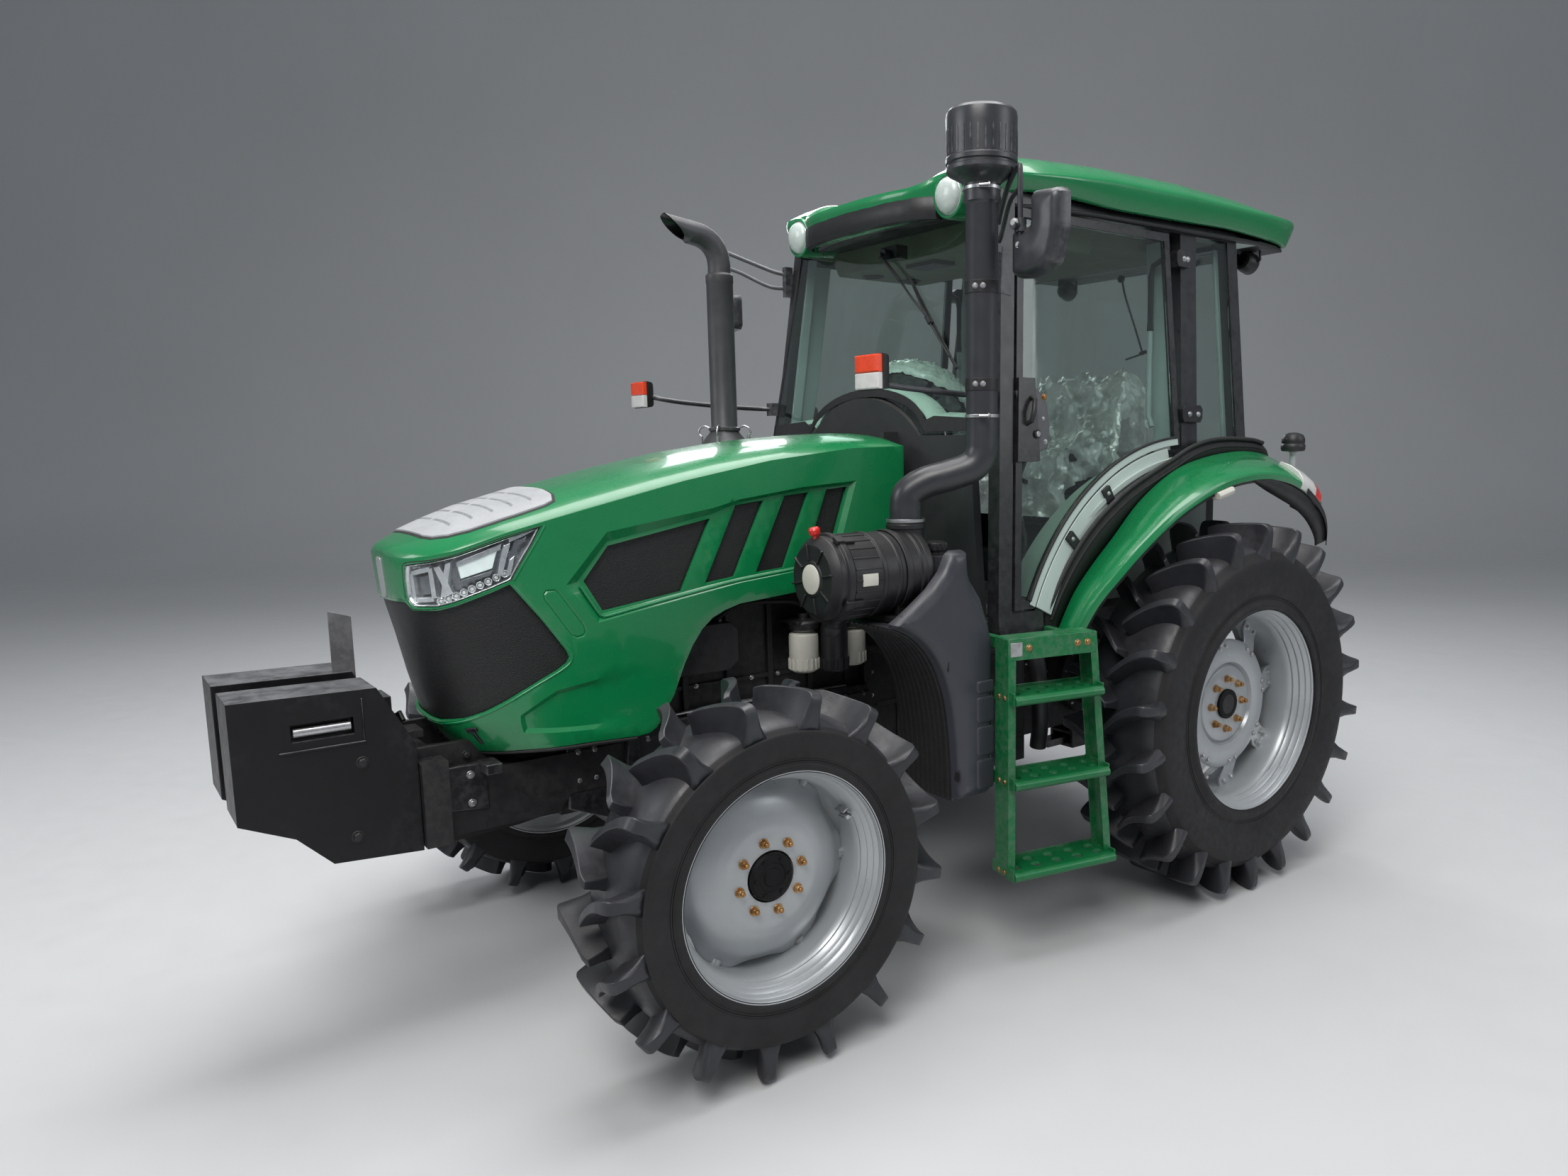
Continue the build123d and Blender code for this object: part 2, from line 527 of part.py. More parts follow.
with BuildPart(SHAFT) as windshield:       # fixed panes of the cab
    # flat pane between the A pillars, sloped back to the roof bar
    g = Plane(origin=(0, AX - 1188, 1992), x_dir=(1, 0, 0), z_dir=(0, -0.9885, 0.1510))
    L = (2860 - 1992) / cos(atan2(0.1510, 0.9885))
    with BuildSketch(g):
        poly([(-736, 0), (736, 0), (653, L), (-653, L)])
        with BuildLine():
            ThreePointArc((-402, -4), (0, 166), (402, -4))
            Line((402, -4), (-402, -4))
        make_face(mode=Mode.SUBTRACT)
    extrude(amount=-6)
    for s in (-1, 1):                      # side panes behind the doors
        side_slab(s, -14, 6, [(78, 1935), (368, 1935), (368, 2852), (142, 2852)])
save(windshield, "cab_glass")

RW_Y = 446.0
with BuildPart(SHAFT) as rear_window:      # framed pane hung from the rear roof bar
    with BuildSketch(xz(RW_Y + 30)):
        poly([(-745, 1868), (745, 1868), (661, 2870), (-661, 2870)])
        offset(amount=-38, kind=Kind.INTERSECTION, mode=Mode.SUBTRACT)
    extrude(amount=24)
    for s in (-1, 1):
        block(s * 420 - 25, s * 420 + 25, RW_Y + 2, RW_Y + 30, 2850, 2892)
    rod((-120, RW_Y + 52, 1895), (120, RW_Y + 52, 1895), 9)
    for s in (-1, 1):
        rod((s * 120, RW_Y + 20, 1895), (s * 120, RW_Y + 52, 1895), 9)
save(rear_window, "rear_window")
with BuildPart(SHAFT) as rear_glass:
    with BuildSketch(xz(RW_Y + 21)):
        poly([(-745, 1868), (745, 1868), (661, 2870), (-661, 2870)])
        offset(amount=-38.3, kind=Kind.INTERSECTION)
    extrude(amount=6)
save(rear_glass, "rear_glass")

# roof: plan outline (x, y) of half the roof, side outline (y, z)
ROOF_PLAN = [(0, -1262), (250, -1245), (385, -1205), (455, -1145), (600, -1138), (690, -1100), (765, -990), (795, -830), (795, 640), (740, 790), (560, 860), (0, 880)]
ROOF_SIDE = [(-1300, 2890), (-1180, 2906), (780, 2906), (880, 2950), (880, 2998), (850, 3016), (700, 3044), (300, 3080), (-200, 3094), (-700, 3080), (-1000, 3056), (-1200, 3030), (-1290, 2992)]
with BuildPart(SHAFT) as roof:
    with BuildSketch(xy(2700)):
        poly(ROOF_PLAN + [(-x, y) for x, y in reversed(ROOF_PLAN[1:-1])])
    extrude(amount=500)
    with BuildSketch(yz(-900)):
        poly(ROOF_SIDE)
    extrude(amount=1800, mode=Mode.INTERSECT)
    with BuildSketch(xz(-1400)):
        poly([(-800, 2700), (800, 2700), (800, 2985), (772, 3020), (700, 3048), (400, 3082), (0, 3095), (-400, 3082), (-700, 3048), (-772, 3020), (-800, 2985)])
    extrude(amount=-2400, mode=Mode.INTERSECT)
    # corner pods round the front lamps
    for s in (-1, 1):
        rod((s * 530, -1164, 2905), (s * 530, -1076, 2915), 74)
save(roof, "roof")

# ---------------------------------------------------------------- inside the cab
with BuildPart(SHAFT) as seat_base:
    block(-200, 200, -260, 160, 1421, 1560)
    block(-255, -225, -200, 150, 1560, 1700)
    block(225, 255, -200, 150, 1560, 1700)
    block(-255, 255, -40, 120, 1545, 1562)
save(seat_base, "seat_base")
with BuildPart(SHAFT) as seat:             # cushion and backrest
    block(-215, 215, -300, 130, 1564, 1680)
    fillet(seat.edges(), 32)
    with BuildSketch(yz(-210)):
        poly([(60, 1690), (180, 1690), (270, 2230), (180, 2240)])
    extrude(amount=420)
    block(-150, 150, 60, 130, 1640, 1720)
save(seat, "seat")

with BuildPart(SHAFT) as dash:             # console and steering column
    slab(-210, 210, [(-1150, 1263), (-1150, 2090), (-1060, 2150), (-960, 2110), (-900, 1990), (-960, 1700), (-940, 1263)])
    fillet(dash.edges().filter_by(Axis.X).group_by(Axis.Z)[-1], 30)
    rod((0, -975, 1930), (0, -853, 2163), 30)
with BuildPart() as steering_wheel:
    wheel_plane = Plane(origin=(0, AX - 845, 2178), x_dir=(1, 0, 0), z_dir=(0, 0.465, 0.885))
    with BuildSketch(Plane(origin=wheel_plane.origin + wheel_plane.x_dir * 195, x_dir=wheel_plane.x_dir, z_dir=wheel_plane.y_dir)):
        Circle(15)
    revolve(axis=Axis(wheel_plane.origin, wheel_plane.z_dir))
    with BuildSketch(wheel_plane.offset(-14)):
        Circle(48)
    extrude(amount=26)
    for a in (90, 210, 330):
        with BuildSketch(wheel_plane.offset(-6)):
            with Locations(Location((0, 0, 0), a)):
                with Locations((95, 0)):
                    Rectangle(190, 26)
        extrude(amount=10)
with BuildPart() as steering_console:
    add(dash.part)
    add(steering_wheel.part)
save(steering_console, "steering_console")

# ---------------------------------------------------------------- fenders, lamps, mirrors
with BuildPart(SHAFT) as fenders:
    for s in (-1, 1):
        x0, x1 = (850, 1165) if s > 0 else (-1165, -850)
        with BuildSketch(yz(x0)):
            with BuildLine():
                r0, r1 = FEND_R, FEND_R + 24
                a0, a1 = radians(153), radians(46)
                am = (a0 + a1) / 2
                q = lambda r, a: (r * cos(a), R_R + r * sin(a))
                ThreePointArc(q(r1, a0), q(r1, am), q(r1, a1))
                Line(q(r1, a1), q(r0, a1))
                ThreePointArc(q(r0, a1), q(r0, am), q(r0, a0))
                Line(q(r0, a0), q(r1, a0))
            make_face()
        extrude(amount=x1 - x0)
        # inner skirt up to the cab side
        k0, k1 = (850, 864) if s > 0 else (-864, -850)
        with BuildSketch(yz(k0)):
            with BuildLine():
                a0, a1 = radians(153), radians(46)
                ThreePointArc(q(FEND_R, a0), q(FEND_R, am), q(FEND_R, a1))
                Line(q(FEND_R, a1), q(FEND_R + 52, a1))
                ThreePointArc(q(FEND_R + 52, a1), q(FEND_R + 52, am), q(FEND_R + 52, a0))
                Line(q(FEND_R + 52, a0), q(FEND_R, a0))
            make_face()
        extrude(amount=k1 - k0)
save(fenders, "fenders")

with BuildPart(SHAFT) as work_lamps:       # front and rear roof lamps
    for s in (-1, 1):
        rod((s * 530, -1215, 2898), (s * 530, -1166, 2904), 62)
        rod((s * 600, 700, 2856), (s * 600, 770, 2856), 48)
        block(s * 600 - 10, s * 600 + 10, 700, 730, 2884, 2905)
save(work_lamps, "work_lamps")

with BuildPart(SHAFT) as signal_lamps:     # turn signals on arms, marker lamps on the fenders
    for s in (-1, 1):
        block(min(s * 815, s * 955), max(s * 815, s * 955), -1822, -1760, 2128, 2246)
        rod((s * 850, -1762, 2180), (s * 800, -1196, 2130), 11)
        rod((s * 1010, 520, 1745), (s * 1010, 520, 1900), 13)
        rod((s * 1010, 520, 1896), (s * 1010, 520, 1985), 52)
save(signal_lamps, "signal_lamps")

with BuildPart(SHAFT) as mirrors:
    for s in (-1, 1):
        block(min(s * 985, s * 1215), max(s * 985, s * 1215), -1262, -1200, 2520, 2806)
        rod((s * 1041, -1240, 2780), (s * 1041, -1240, 2893), 13)
        rod((s * 1041, -1240, 2872), (s * 735, -1080, 2770), 8)
save(mirrors, "mirrors")

# ---------------------------------------------------------------- rear linkage
LP_Y, LP_Z, LP_X = 130.0, 500.0, 300.0     # lower link front pins
LE_Y, LE_Z, LE_X = 1165.0, 540.0, 435.0    # lower link rear eyes
SH_Y, SH_Z = 400.0, 1040.0                 # lift shaft
AE_Y, AE_Z, AE_X = 690.0, 1110.0, 345.0    # lift arm ends
RE_Y, RE_Z = 700.0, 525.0                  # lift rod lower eyes

with BuildPart(SHAFT) as lower_links:
    for s in (-1, 1):
        d = Vector(s * LE_X, LE_Y, LE_Z) - Vector(s * LP_X, LP_Y, LP_Z)
        n = d.normalized()
        rod((s * LP_X + n.X * 20, LP_Y + n.Y * 20, LP_Z + n.Z * 20), (s * LE_X - n.X * 20, LE_Y - n.Y * 20, LE_Z - n.Z * 20), 24)
        rod((s * LP_X - 24, LP_Y, LP_Z), (s * LP_X + 24, LP_Y, LP_Z), 45)
        rod((s * LE_X - 22.5, LE_Y, LE_Z), (s * LE_X + 22.5, LE_Y, LE_Z), 45)
        rod((s * LE_X - 30, LE_Y, LE_Z), (s * LE_X + 30, LE_Y, LE_Z), 14.35, Mode.SUBTRACT)
        rod((s * LP_X - 30, LP_Y, LP_Z), (s * LP_X + 30, LP_Y, LP_Z), 15.2, Mode.SUBTRACT)
save(lower_links, "lower_links")

with BuildPart(SHAFT) as link_pins:        # bracket under the housing that carries the links and drawbar
    for s in (-1, 1):
        rod((s * 215, LP_Y, LP_Z), (s * 345, LP_Y, LP_Z), 15)
        block(s * 232 - 18, s * 232 + 18, LP_Y - 60, LP_Y + 60, 440, 577)
        block(s * 150 - 96, s * 150 + 96, LP_Y - 60, LP_Y + 60, 545, 577)
    block(-62, 62, LP_Y - 60, LP_Y + 220, 380, 398)
    block(-62, 62, LP_Y - 60, LP_Y + 220, 450, 462)
    for s in (-1, 1):
        block(s * 70 - 9, s * 70 + 9, LP_Y - 60, LP_Y + 220, 380, 577)

with BuildPart(SHAFT) as drawbar:
    block(-40, 40, LP_Y - 200, 700, 399, 435)
    block(-40, 40, 640, 900, 399, 435)
    with Locations((0, 850, 417)):
        Cylinder(15, 60, mode=Mode.SUBTRACT)
    fillet(drawbar.edges().filter_by(Axis.Z).group_by(Axis.Y)[-1], 30)
save(drawbar, "drawbar")

with BuildPart(SHAFT) as lift_arms:        # rocker shaft with its two arms
    for s in (-1, 1):
        rod((s * 214, SH_Y, SH_Z), (s * (AE_X + 22), SH_Y, SH_Z), 48)
        slab(s * AE_X - 20, s * AE_X + 20, [(SH_Y - 20, SH_Z - 42), (SH_Y - 30, SH_Z + 42), (AE_Y, AE_Z + 30), (AE_Y + 25, AE_Z), (AE_Y, AE_Z - 30)])
save(lift_arms, "lift_arms")

with BuildPart(SHAFT) as lift_rods:
    for s in (-1, 1):
        x = s * (AE_X - 46)
        rod((x, AE_Y, AE_Z), (x, RE_Y, RE_Z), 17)
        rod((x - 20, AE_Y, AE_Z), (x + 20, AE_Y, AE_Z), 34)
        rod((x - 20, RE_Y, RE_Z), (x + 20, RE_Y, RE_Z), 30)
save(lift_rods, "lift_rods")

TL_Y, TL_Z = 540.0, 930.0                  # top link pin
with BuildPart(SHAFT) as top_bracket:      # top link bracket
    for s in (-1, 1):
        block(s * 42 - 9, s * 42 + 9, 471, TL_Y + 32, TL_Z - 40, TL_Z + 130)
    rod((-52, TL_Y, TL_Z), (52, TL_Y, TL_Z), 12.5)
    block(-150, 150, 471, 483, TL_Z - 40, TL_Z + 130)
with BuildPart() as hitch_brackets:
    add(link_pins.part)
    add(top_bracket.part)
save(hitch_brackets, "hitch_brackets")
with BuildPart(SHAFT) as top_link:         # stowed nearly upright
    ty, tz = TL_Y + 95, TL_Z + 640
    rod((0, TL_Y, TL_Z), (0, ty, tz), 17)
    rod((0, TL_Y + 95 * .3, TL_Z + 640 * .3), (0, TL_Y + 95 * .72, TL_Z + 640 * .72), 25)
    rod((-22, TL_Y, TL_Z), (22, TL_Y, TL_Z), 32)
    rod((-25.5, ty, tz), (25.5, ty, tz), 32)
    rod((-30, TL_Y, TL_Z), (30, TL_Y, TL_Z), 12.9, Mode.SUBTRACT)
    rod((-30, ty, tz), (30, ty, tz), 12.85, Mode.SUBTRACT)
save(top_link, "top_link")
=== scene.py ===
import math
import random
import bpy
import bmesh
import numpy as np
from mathutils import Vector, Matrix, geometry


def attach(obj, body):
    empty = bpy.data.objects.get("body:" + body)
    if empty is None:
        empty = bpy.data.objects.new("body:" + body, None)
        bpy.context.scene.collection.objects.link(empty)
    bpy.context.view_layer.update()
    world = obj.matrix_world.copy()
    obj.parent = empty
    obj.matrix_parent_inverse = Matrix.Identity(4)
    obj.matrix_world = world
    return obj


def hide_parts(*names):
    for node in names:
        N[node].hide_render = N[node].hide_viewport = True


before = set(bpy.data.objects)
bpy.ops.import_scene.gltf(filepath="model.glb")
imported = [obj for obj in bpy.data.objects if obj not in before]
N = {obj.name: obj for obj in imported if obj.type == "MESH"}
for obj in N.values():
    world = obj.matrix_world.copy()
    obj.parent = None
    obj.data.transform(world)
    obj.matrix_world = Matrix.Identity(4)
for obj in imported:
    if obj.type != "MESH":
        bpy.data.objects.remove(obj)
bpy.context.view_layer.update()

AX = 1.215                      # the rear axle's Y; pieces are written with y measured from it
pi = math.pi
rnd = random.Random(7)

# ------------------------------------------------------------------ materials


def _nt(name):
    m = bpy.data.materials.new(name)
    m.use_nodes = True
    nt = m.node_tree
    nt.nodes.clear()
    out = nt.nodes.new("ShaderNodeOutputMaterial")
    return m, nt, out


def _noise(nt, co, scale, detail=4.0, rough=.55, w=None):
    n = nt.nodes.new("ShaderNodeTexNoise")
    n.inputs["Scale"].default_value = scale
    n.inputs["Detail"].default_value = detail
    n.inputs["Roughness"].default_value = rough
    nt.links.new(co, n.inputs["Vector"])
    return n.outputs["Fac"]


def _ramp(nt, fac, lo, hi, a=0.0, b=1.0):
    r = nt.nodes.new("ShaderNodeMapRange")
    r.inputs["From Min"].default_value = lo
    r.inputs["From Max"].default_value = hi
    r.inputs["To Min"].default_value = a
    r.inputs["To Max"].default_value = b
    nt.links.new(fac, r.inputs["Value"])
    return r.outputs["Result"]


def _math(nt, op, a, b=0.0):
    n = nt.nodes.new("ShaderNodeMath")
    n.operation = op
    for i, v in enumerate((a, b)):
        if isinstance(v, (int, float)):
            n.inputs[i].default_value = v
        else:
            nt.links.new(v, n.inputs[i])
    return n.outputs[0]


def _mix(nt, fac, a, b):
    n = nt.nodes.new("ShaderNodeMix")
    n.data_type = "RGBA"
    for s, v in ((n.inputs[0], fac), (n.inputs[6], a), (n.inputs[7], b)):
        if isinstance(v, (int, float)):
            s.default_value = v
        elif isinstance(v, (tuple, list)):
            s.default_value = (*v[:3], 1)
        else:
            nt.links.new(v, s)
    return n.outputs[2]


def mat(name, col, rough=.45, metal=0.0, var=.12, vscale=3.0, rvar=.1, bumps=(), coat=0.0, coat_rough=.08, spec=.5,
        wear_and_edge_glint=None, wear_and_glint_amt=0.0, dust=0.0, dust_and_sheen_col=(.30, .27, .22), speck=0.0, sheen=0.0, low_dust=None, emit=None):
    """Paint, plastic, rubber or metal: colour drift, roughness drift, bump layers (scale, strength, distance), worn
    edges and settled dust on upward faces. Where a material asks for it, the edge colour is also a painted edge glint
    and the upward-face colour a painted sheen.
    """
    m, nt, out = _nt(name)
    L = nt.links.new
    p = nt.nodes.new("ShaderNodeBsdfPrincipled")
    L(p.outputs[0], out.inputs[0])
    tc = nt.nodes.new("ShaderNodeTexCoord")
    co = tc.outputs["Object"]
    big = _noise(nt, co, vscale, 3.0)
    dark = tuple(c * (1 - var) for c in col)
    lite = tuple(min(1, c * (1 + var)) for c in col)
    c = _mix(nt, _ramp(nt, big, .3, .7), dark, lite)
    if speck:
        f = _noise(nt, co, 260.0, 2.0)
        c = _mix(nt, _ramp(nt, f, .42, .66, 0, speck), c, tuple(x * .45 for x in col))
    # worn edges: colour on sharp edges; on some materials (the ballast, the tyre tread) this is partly a painted edge
    # glint
    if wear_and_edge_glint is not None and wear_and_glint_amt:
        g = nt.nodes.new("ShaderNodeNewGeometry")
        n = _noise(nt, co, 34.0, 5.0, .7)
        e = _ramp(nt, g.outputs["Pointiness"], .53, .60)
        f = _math(nt, "MULTIPLY", e, _ramp(nt, n, .42, .60))
        c = _mix(nt, _math(nt, "MULTIPLY", f, wear_and_glint_amt), c, wear_and_edge_glint)
    # dust on upward faces; on the ballast this lighter top is mostly painted sheen
    if dust:
        g = nt.nodes.new("ShaderNodeNewGeometry")
        sx = nt.nodes.new("ShaderNodeSeparateXYZ")
        L(g.outputs["Normal"], sx.inputs[0])
        up = _ramp(nt, sx.outputs["Z"], .15, 1.0)
        n = _noise(nt, co, 9.0, 6.0, .7)
        f = _math(nt, "MULTIPLY", up, _ramp(nt, n, .35, .75, .2, 1.0))
        c = _mix(nt, _math(nt, "MULTIPLY", f, dust), c, dust_and_sheen_col)
    if low_dust:
        z = nt.nodes.new("ShaderNodeSeparateXYZ")
        L(co, z.inputs[0])
        n = _noise(nt, co, 14.0, 6.0, .7)
        f = _math(nt, "MULTIPLY", _ramp(nt, z.outputs["Z"], low_dust[0], low_dust[1], 1.0, 0.0), _ramp(nt, n, .4, .7))
        c = _mix(nt, _math(nt, "MULTIPLY", f, low_dust[2]), c, dust_and_sheen_col)
    L(c, p.inputs["Base Color"])
    r = _noise(nt, co, vscale * 4 + 5, 5.0, .6)
    L(_ramp(nt, r, .3, .7, max(.02, rough - rvar), min(1, rough + rvar)), p.inputs["Roughness"])
    p.inputs["Metallic"].default_value = metal
    p.inputs["Coat Weight"].default_value = coat
    p.inputs["Coat Roughness"].default_value = coat_rough
    p.inputs["Specular IOR Level"].default_value = spec
    p.inputs["Sheen Weight"].default_value = sheen
    if emit:
        p.inputs["Emission Color"].default_value = (*emit[0], 1)
        p.inputs["Emission Strength"].default_value = emit[1]
    prev = None
    for scale, strength, dist in bumps:
        b = nt.nodes.new("ShaderNodeBump")
        b.inputs["Strength"].default_value = strength
        b.inputs["Distance"].default_value = dist
        L(_noise(nt, co, scale, 4.0, .6), b.inputs["Height"])
        if prev is not None:
            L(prev, b.inputs["Normal"])
        prev = b.outputs[0]
    if prev is not None:
        L(prev, p.inputs["Normal"])
    return m


def glass(name, tint, rough=.02, streaks=.04):
    m, nt, out = _nt(name)
    L = nt.links.new
    p = nt.nodes.new("ShaderNodeBsdfPrincipled")
    tc = nt.nodes.new("ShaderNodeTexCoord")
    n = _noise(nt, tc.outputs["Object"], 2.2, 4.0)
    L(_mix(nt, _ramp(nt, n, .3, .7), tuple(c * .93 for c in tint), tint), p.inputs["Base Color"])
    n2 = _noise(nt, tc.outputs["Object"], 6.0, 6.0, .7)
    L(_ramp(nt, n2, .45, .8, rough, rough + streaks), p.inputs["Roughness"])
    p.inputs["Transmission Weight"].default_value = 1.0
    p.inputs["IOR"].default_value = 1.45
    t = nt.nodes.new("ShaderNodeBsdfTransparent")
    t.inputs[0].default_value = (*[c * c for c in tint], 1)
    lp = nt.nodes.new("ShaderNodeLightPath")
    mx = nt.nodes.new("ShaderNodeMixShader")
    L(lp.outputs["Is Shadow Ray"], mx.inputs[0])
    L(p.outputs[0], mx.inputs[1])
    L(t.outputs[0], mx.inputs[2])
    L(mx.outputs[0], out.inputs[0])
    return m


def mesh_mat(name, col, cell, rough=.5, lines=.42, axis="YZ"):
    """Fine woven or punched mesh: a small square pattern in colour and height, from two of the object's own coordinates."""
    m, nt, out = _nt(name)
    L = nt.links.new
    p = nt.nodes.new("ShaderNodeBsdfPrincipled")
    L(p.outputs[0], out.inputs[0])
    tc = nt.nodes.new("ShaderNodeTexCoord")
    v = nt.nodes.new("ShaderNodeTexVoronoi")
    v.inputs["Scale"].default_value = 1 / cell
    L(tc.outputs["Object"], v.inputs["Vector"])
    d = _ramp(nt, v.outputs["Distance"], .30, .55)
    n = _noise(nt, tc.outputs["Object"], 5.0)
    c = _mix(nt, d, tuple(x * .25 for x in col), _mix(nt, _ramp(nt, n, .3, .7), tuple(x * .8 for x in col), tuple(x * 1.2 for x in col)))
    L(c, p.inputs["Base Color"])
    L(_ramp(nt, n, .3, .7, rough - .08, rough + .08), p.inputs["Roughness"])
    b = nt.nodes.new("ShaderNodeBump")
    b.inputs["Strength"].default_value = .5
    b.inputs["Distance"].default_value = .002
    L(d, b.inputs["Height"])
    L(b.outputs[0], p.inputs["Normal"])
    return m


def fabric_mat(name, col, scale=900.0):
    m, nt, out = _nt(name)
    L = nt.links.new
    p = nt.nodes.new("ShaderNodeBsdfPrincipled")
    L(p.outputs[0], out.inputs[0])
    tc = nt.nodes.new("ShaderNodeTexCoord")
    hs = []
    for ax in ("X", "Z"):
        w = nt.nodes.new("ShaderNodeTexWave")
        w.bands_direction = ax
        w.inputs["Scale"].default_value = scale / 6
        w.inputs["Distortion"].default_value = 1.2
        w.inputs["Detail"].default_value = 2.0
        L(tc.outputs["Object"], w.inputs["Vector"])
        hs.append(w.outputs["Fac"])
    h = _math(nt, "MULTIPLY", hs[0], hs[1])
    n = _noise(nt, tc.outputs["Object"], 12.0, 5.0)
    c = _mix(nt, h, tuple(x * .6 for x in col), _mix(nt, _ramp(nt, n, .3, .7), col, tuple(min(1, x * 1.5) for x in col)))
    L(c, p.inputs["Base Color"])
    L(_ramp(nt, n, .3, .7, .8, .95), p.inputs["Roughness"])
    p.inputs["Sheen Weight"].default_value = .3
    b = nt.nodes.new("ShaderNodeBump")
    b.inputs["Strength"].default_value = .35
    b.inputs["Distance"].default_value = .0015
    L(h, b.inputs["Height"])
    L(b.outputs[0], p.inputs["Normal"])
    return m


GREEN = mat("green_paint", (.0022, .185, .056), rough=.28, rvar=.05, var=.06, vscale=1.5, coat=.55, coat_rough=.06, bumps=[(420, .03, .0005), (9, .05, .002)], wear_and_edge_glint=(.02, .30, .12), wear_and_glint_amt=.25, dust=.03)
# the ladder's green: its rougher, speckled finish is its own, but its darker colour than the body green is painted
# shade
GREEN_DK = mat("green_paint_low", (.0016, .128, .036), rough=.38, rvar=.07, var=.08, vscale=2, coat=.18, coat_rough=.14, bumps=[(420, .04, .0005)], wear_and_edge_glint=(.20, .22, .20), wear_and_glint_amt=.35, dust=.03, speck=.05, spec=.35)
BLACK = mat("black_paint", (.011, .011, .0125), rough=.34, rvar=.08, var=.2, coat=.2, coat_rough=.2, bumps=[(300, .06, .0006)], wear_and_edge_glint=(.16, .16, .17), wear_and_glint_amt=.25, dust=.05)
BLACK_GLOSS = mat("black_gloss", (.006, .006, .0075), rough=.22, rvar=.06, var=.15, coat=.5, coat_rough=.1, bumps=[(60, .08, .001)], wear_and_edge_glint=(.14, .14, .14), wear_and_glint_amt=.10, dust=.03)
CAST = mat("cast_iron_black", (.012, .012, .0135), rough=.50, rvar=.12, var=.3, vscale=6, bumps=[(140, .30, .0015), (600, .2, .0005)], wear_and_edge_glint=(.06, .055, .05), wear_and_glint_amt=.25, dust=.06)
HUBM = mat("hub_black", (.0035, .0035, .004), rough=.6, var=.2, bumps=[(300, .15, .0005)], spec=.25)
# ballast: the bluish grey laid on its upward faces is painted sheen of the glossy tops with some settled dust, and the
# grey on its edges is a painted edge glint
BALLAST = mat("ballast_black", (.0045, .0045, .0055), rough=.42, rvar=.06, var=.2, vscale=4, coat=.06, bumps=[(60, .08, .001), (400, .1, .0005)], wear_and_edge_glint=(.2, .2, .21), wear_and_glint_amt=.08, dust=.55, dust_and_sheen_col=(.36, .365, .38), spec=.3)
PIPE = mat("pipe_grey", (.028, .029, .034), rough=.36, rvar=.08, var=.12, coat=.12, coat_rough=.25, bumps=[(260, .10, .0006)], wear_and_edge_glint=(.2, .2, .21), wear_and_glint_amt=.4, dust=.05)
STACK = mat("stack_grey", (.055, .055, .060), rough=.46, rvar=.1, var=.2, vscale=5, metal=.25, bumps=[(220, .14, .0008)], wear_and_edge_glint=(.25, .22, .2), wear_and_glint_amt=.4, dust=.05)
PLASTIC = mat("black_plastic", (.0105, .0105, .012), rough=.46, rvar=.08, var=.15, bumps=[(700, .22, .0004)], wear_and_edge_glint=(.07, .07, .07), wear_and_glint_amt=.15, dust=.04)
TANK = mat("tank_plastic", (.036, .038, .048), rough=.38, rvar=.08, var=.12, vscale=2, bumps=[(500, .12, .0005), (7, .15, .004)], wear_and_edge_glint=(.11, .11, .12), wear_and_glint_amt=.3, dust=.10)
SILVER = mat("silver_paint", (.40, .42, .435), rough=.34, rvar=.07, var=.06, metal=.35, coat=.15, coat_rough=.2, bumps=[(800, .05, .0003), (12, .04, .002)], wear_and_edge_glint=(.16, .13, .10), wear_and_glint_amt=.45, dust=.06, speck=.05)
# tyre rubber: the tread is lighter and bluer than the sidewall, partly painted sheen; its bluish grey edge colour is
# partly rubbed rubber, partly a painted edge glint
RUBBER = mat("tyre_rubber", (.019, .0198, .024), rough=.44, rvar=.10, var=.28, vscale=7, bumps=[(180, .25, .0014), (900, .2, .0004)], wear_and_edge_glint=(.060, .060, .068), wear_and_glint_amt=.6, dust=.07, dust_and_sheen_col=(.12, .11, .10), spec=.55)
RUBBER_SIDE = mat("tyre_sidewall", (.0115, .0113, .012), rough=.58, rvar=.1, var=.3, vscale=6, bumps=[(160, .2, .001), (900, .25, .0004)], dust=.05, dust_and_sheen_col=(.12, .105, .09), spec=.35)
COPPER = mat("plated_bolt", (.36, .185, .065), rough=.36, metal=.85, var=.25, vscale=40, bumps=[(500, .15, .0004)], wear_and_edge_glint=(.8, .6, .35), wear_and_glint_amt=.6)
STEEL = mat("bare_steel", (.48, .48, .49), rough=.33, metal=.9, var=.12, vscale=14, bumps=[(600, .12, .0004)], dust=.05)
CHROME = mat("chrome_trim", (.78, .79, .80), rough=.12, rvar=.04, metal=1.0, var=.05, bumps=[(90, .04, .0006)])
MESHM = mesh_mat("grille_mesh", (.012, .0125, .013), .0042)
LINER = mat("liner_plastic", (.42, .50, .46), rough=.5, var=.10, vscale=4, bumps=[(500, .2, .0005)], dust=.10, speck=.1)
SEALM = mat("rubber_seal", (.012, .012, .013), rough=.62, var=.2, vscale=8, bumps=[(400, .2, .0005)], dust=.05)
INSERT = mat("hood_insert", (.40, .41, .42), rough=.42, var=.08, vscale=5, bumps=[(700, .3, .0006)], speck=.25, dust=.05)
DASH = mat("dash_plastic", (.024, .025, .027), rough=.55, var=.12, bumps=[(420, .25, .0006)], dust=.10)
DOME = mat("dash_dome", (.70, .80, .75), rough=.35, var=.06, bumps=[(300, .06, .0005)])
RED = mat("red_plastic", (.62, .012, .010), rough=.32, var=.10, vscale=20, coat=.3, bumps=[(500, .1, .0004)])
ORANGE = mat("amber_lens", (.85, .13, .012), rough=.18, var=.12, vscale=30, coat=.5, bumps=[(160, .25, .001)])
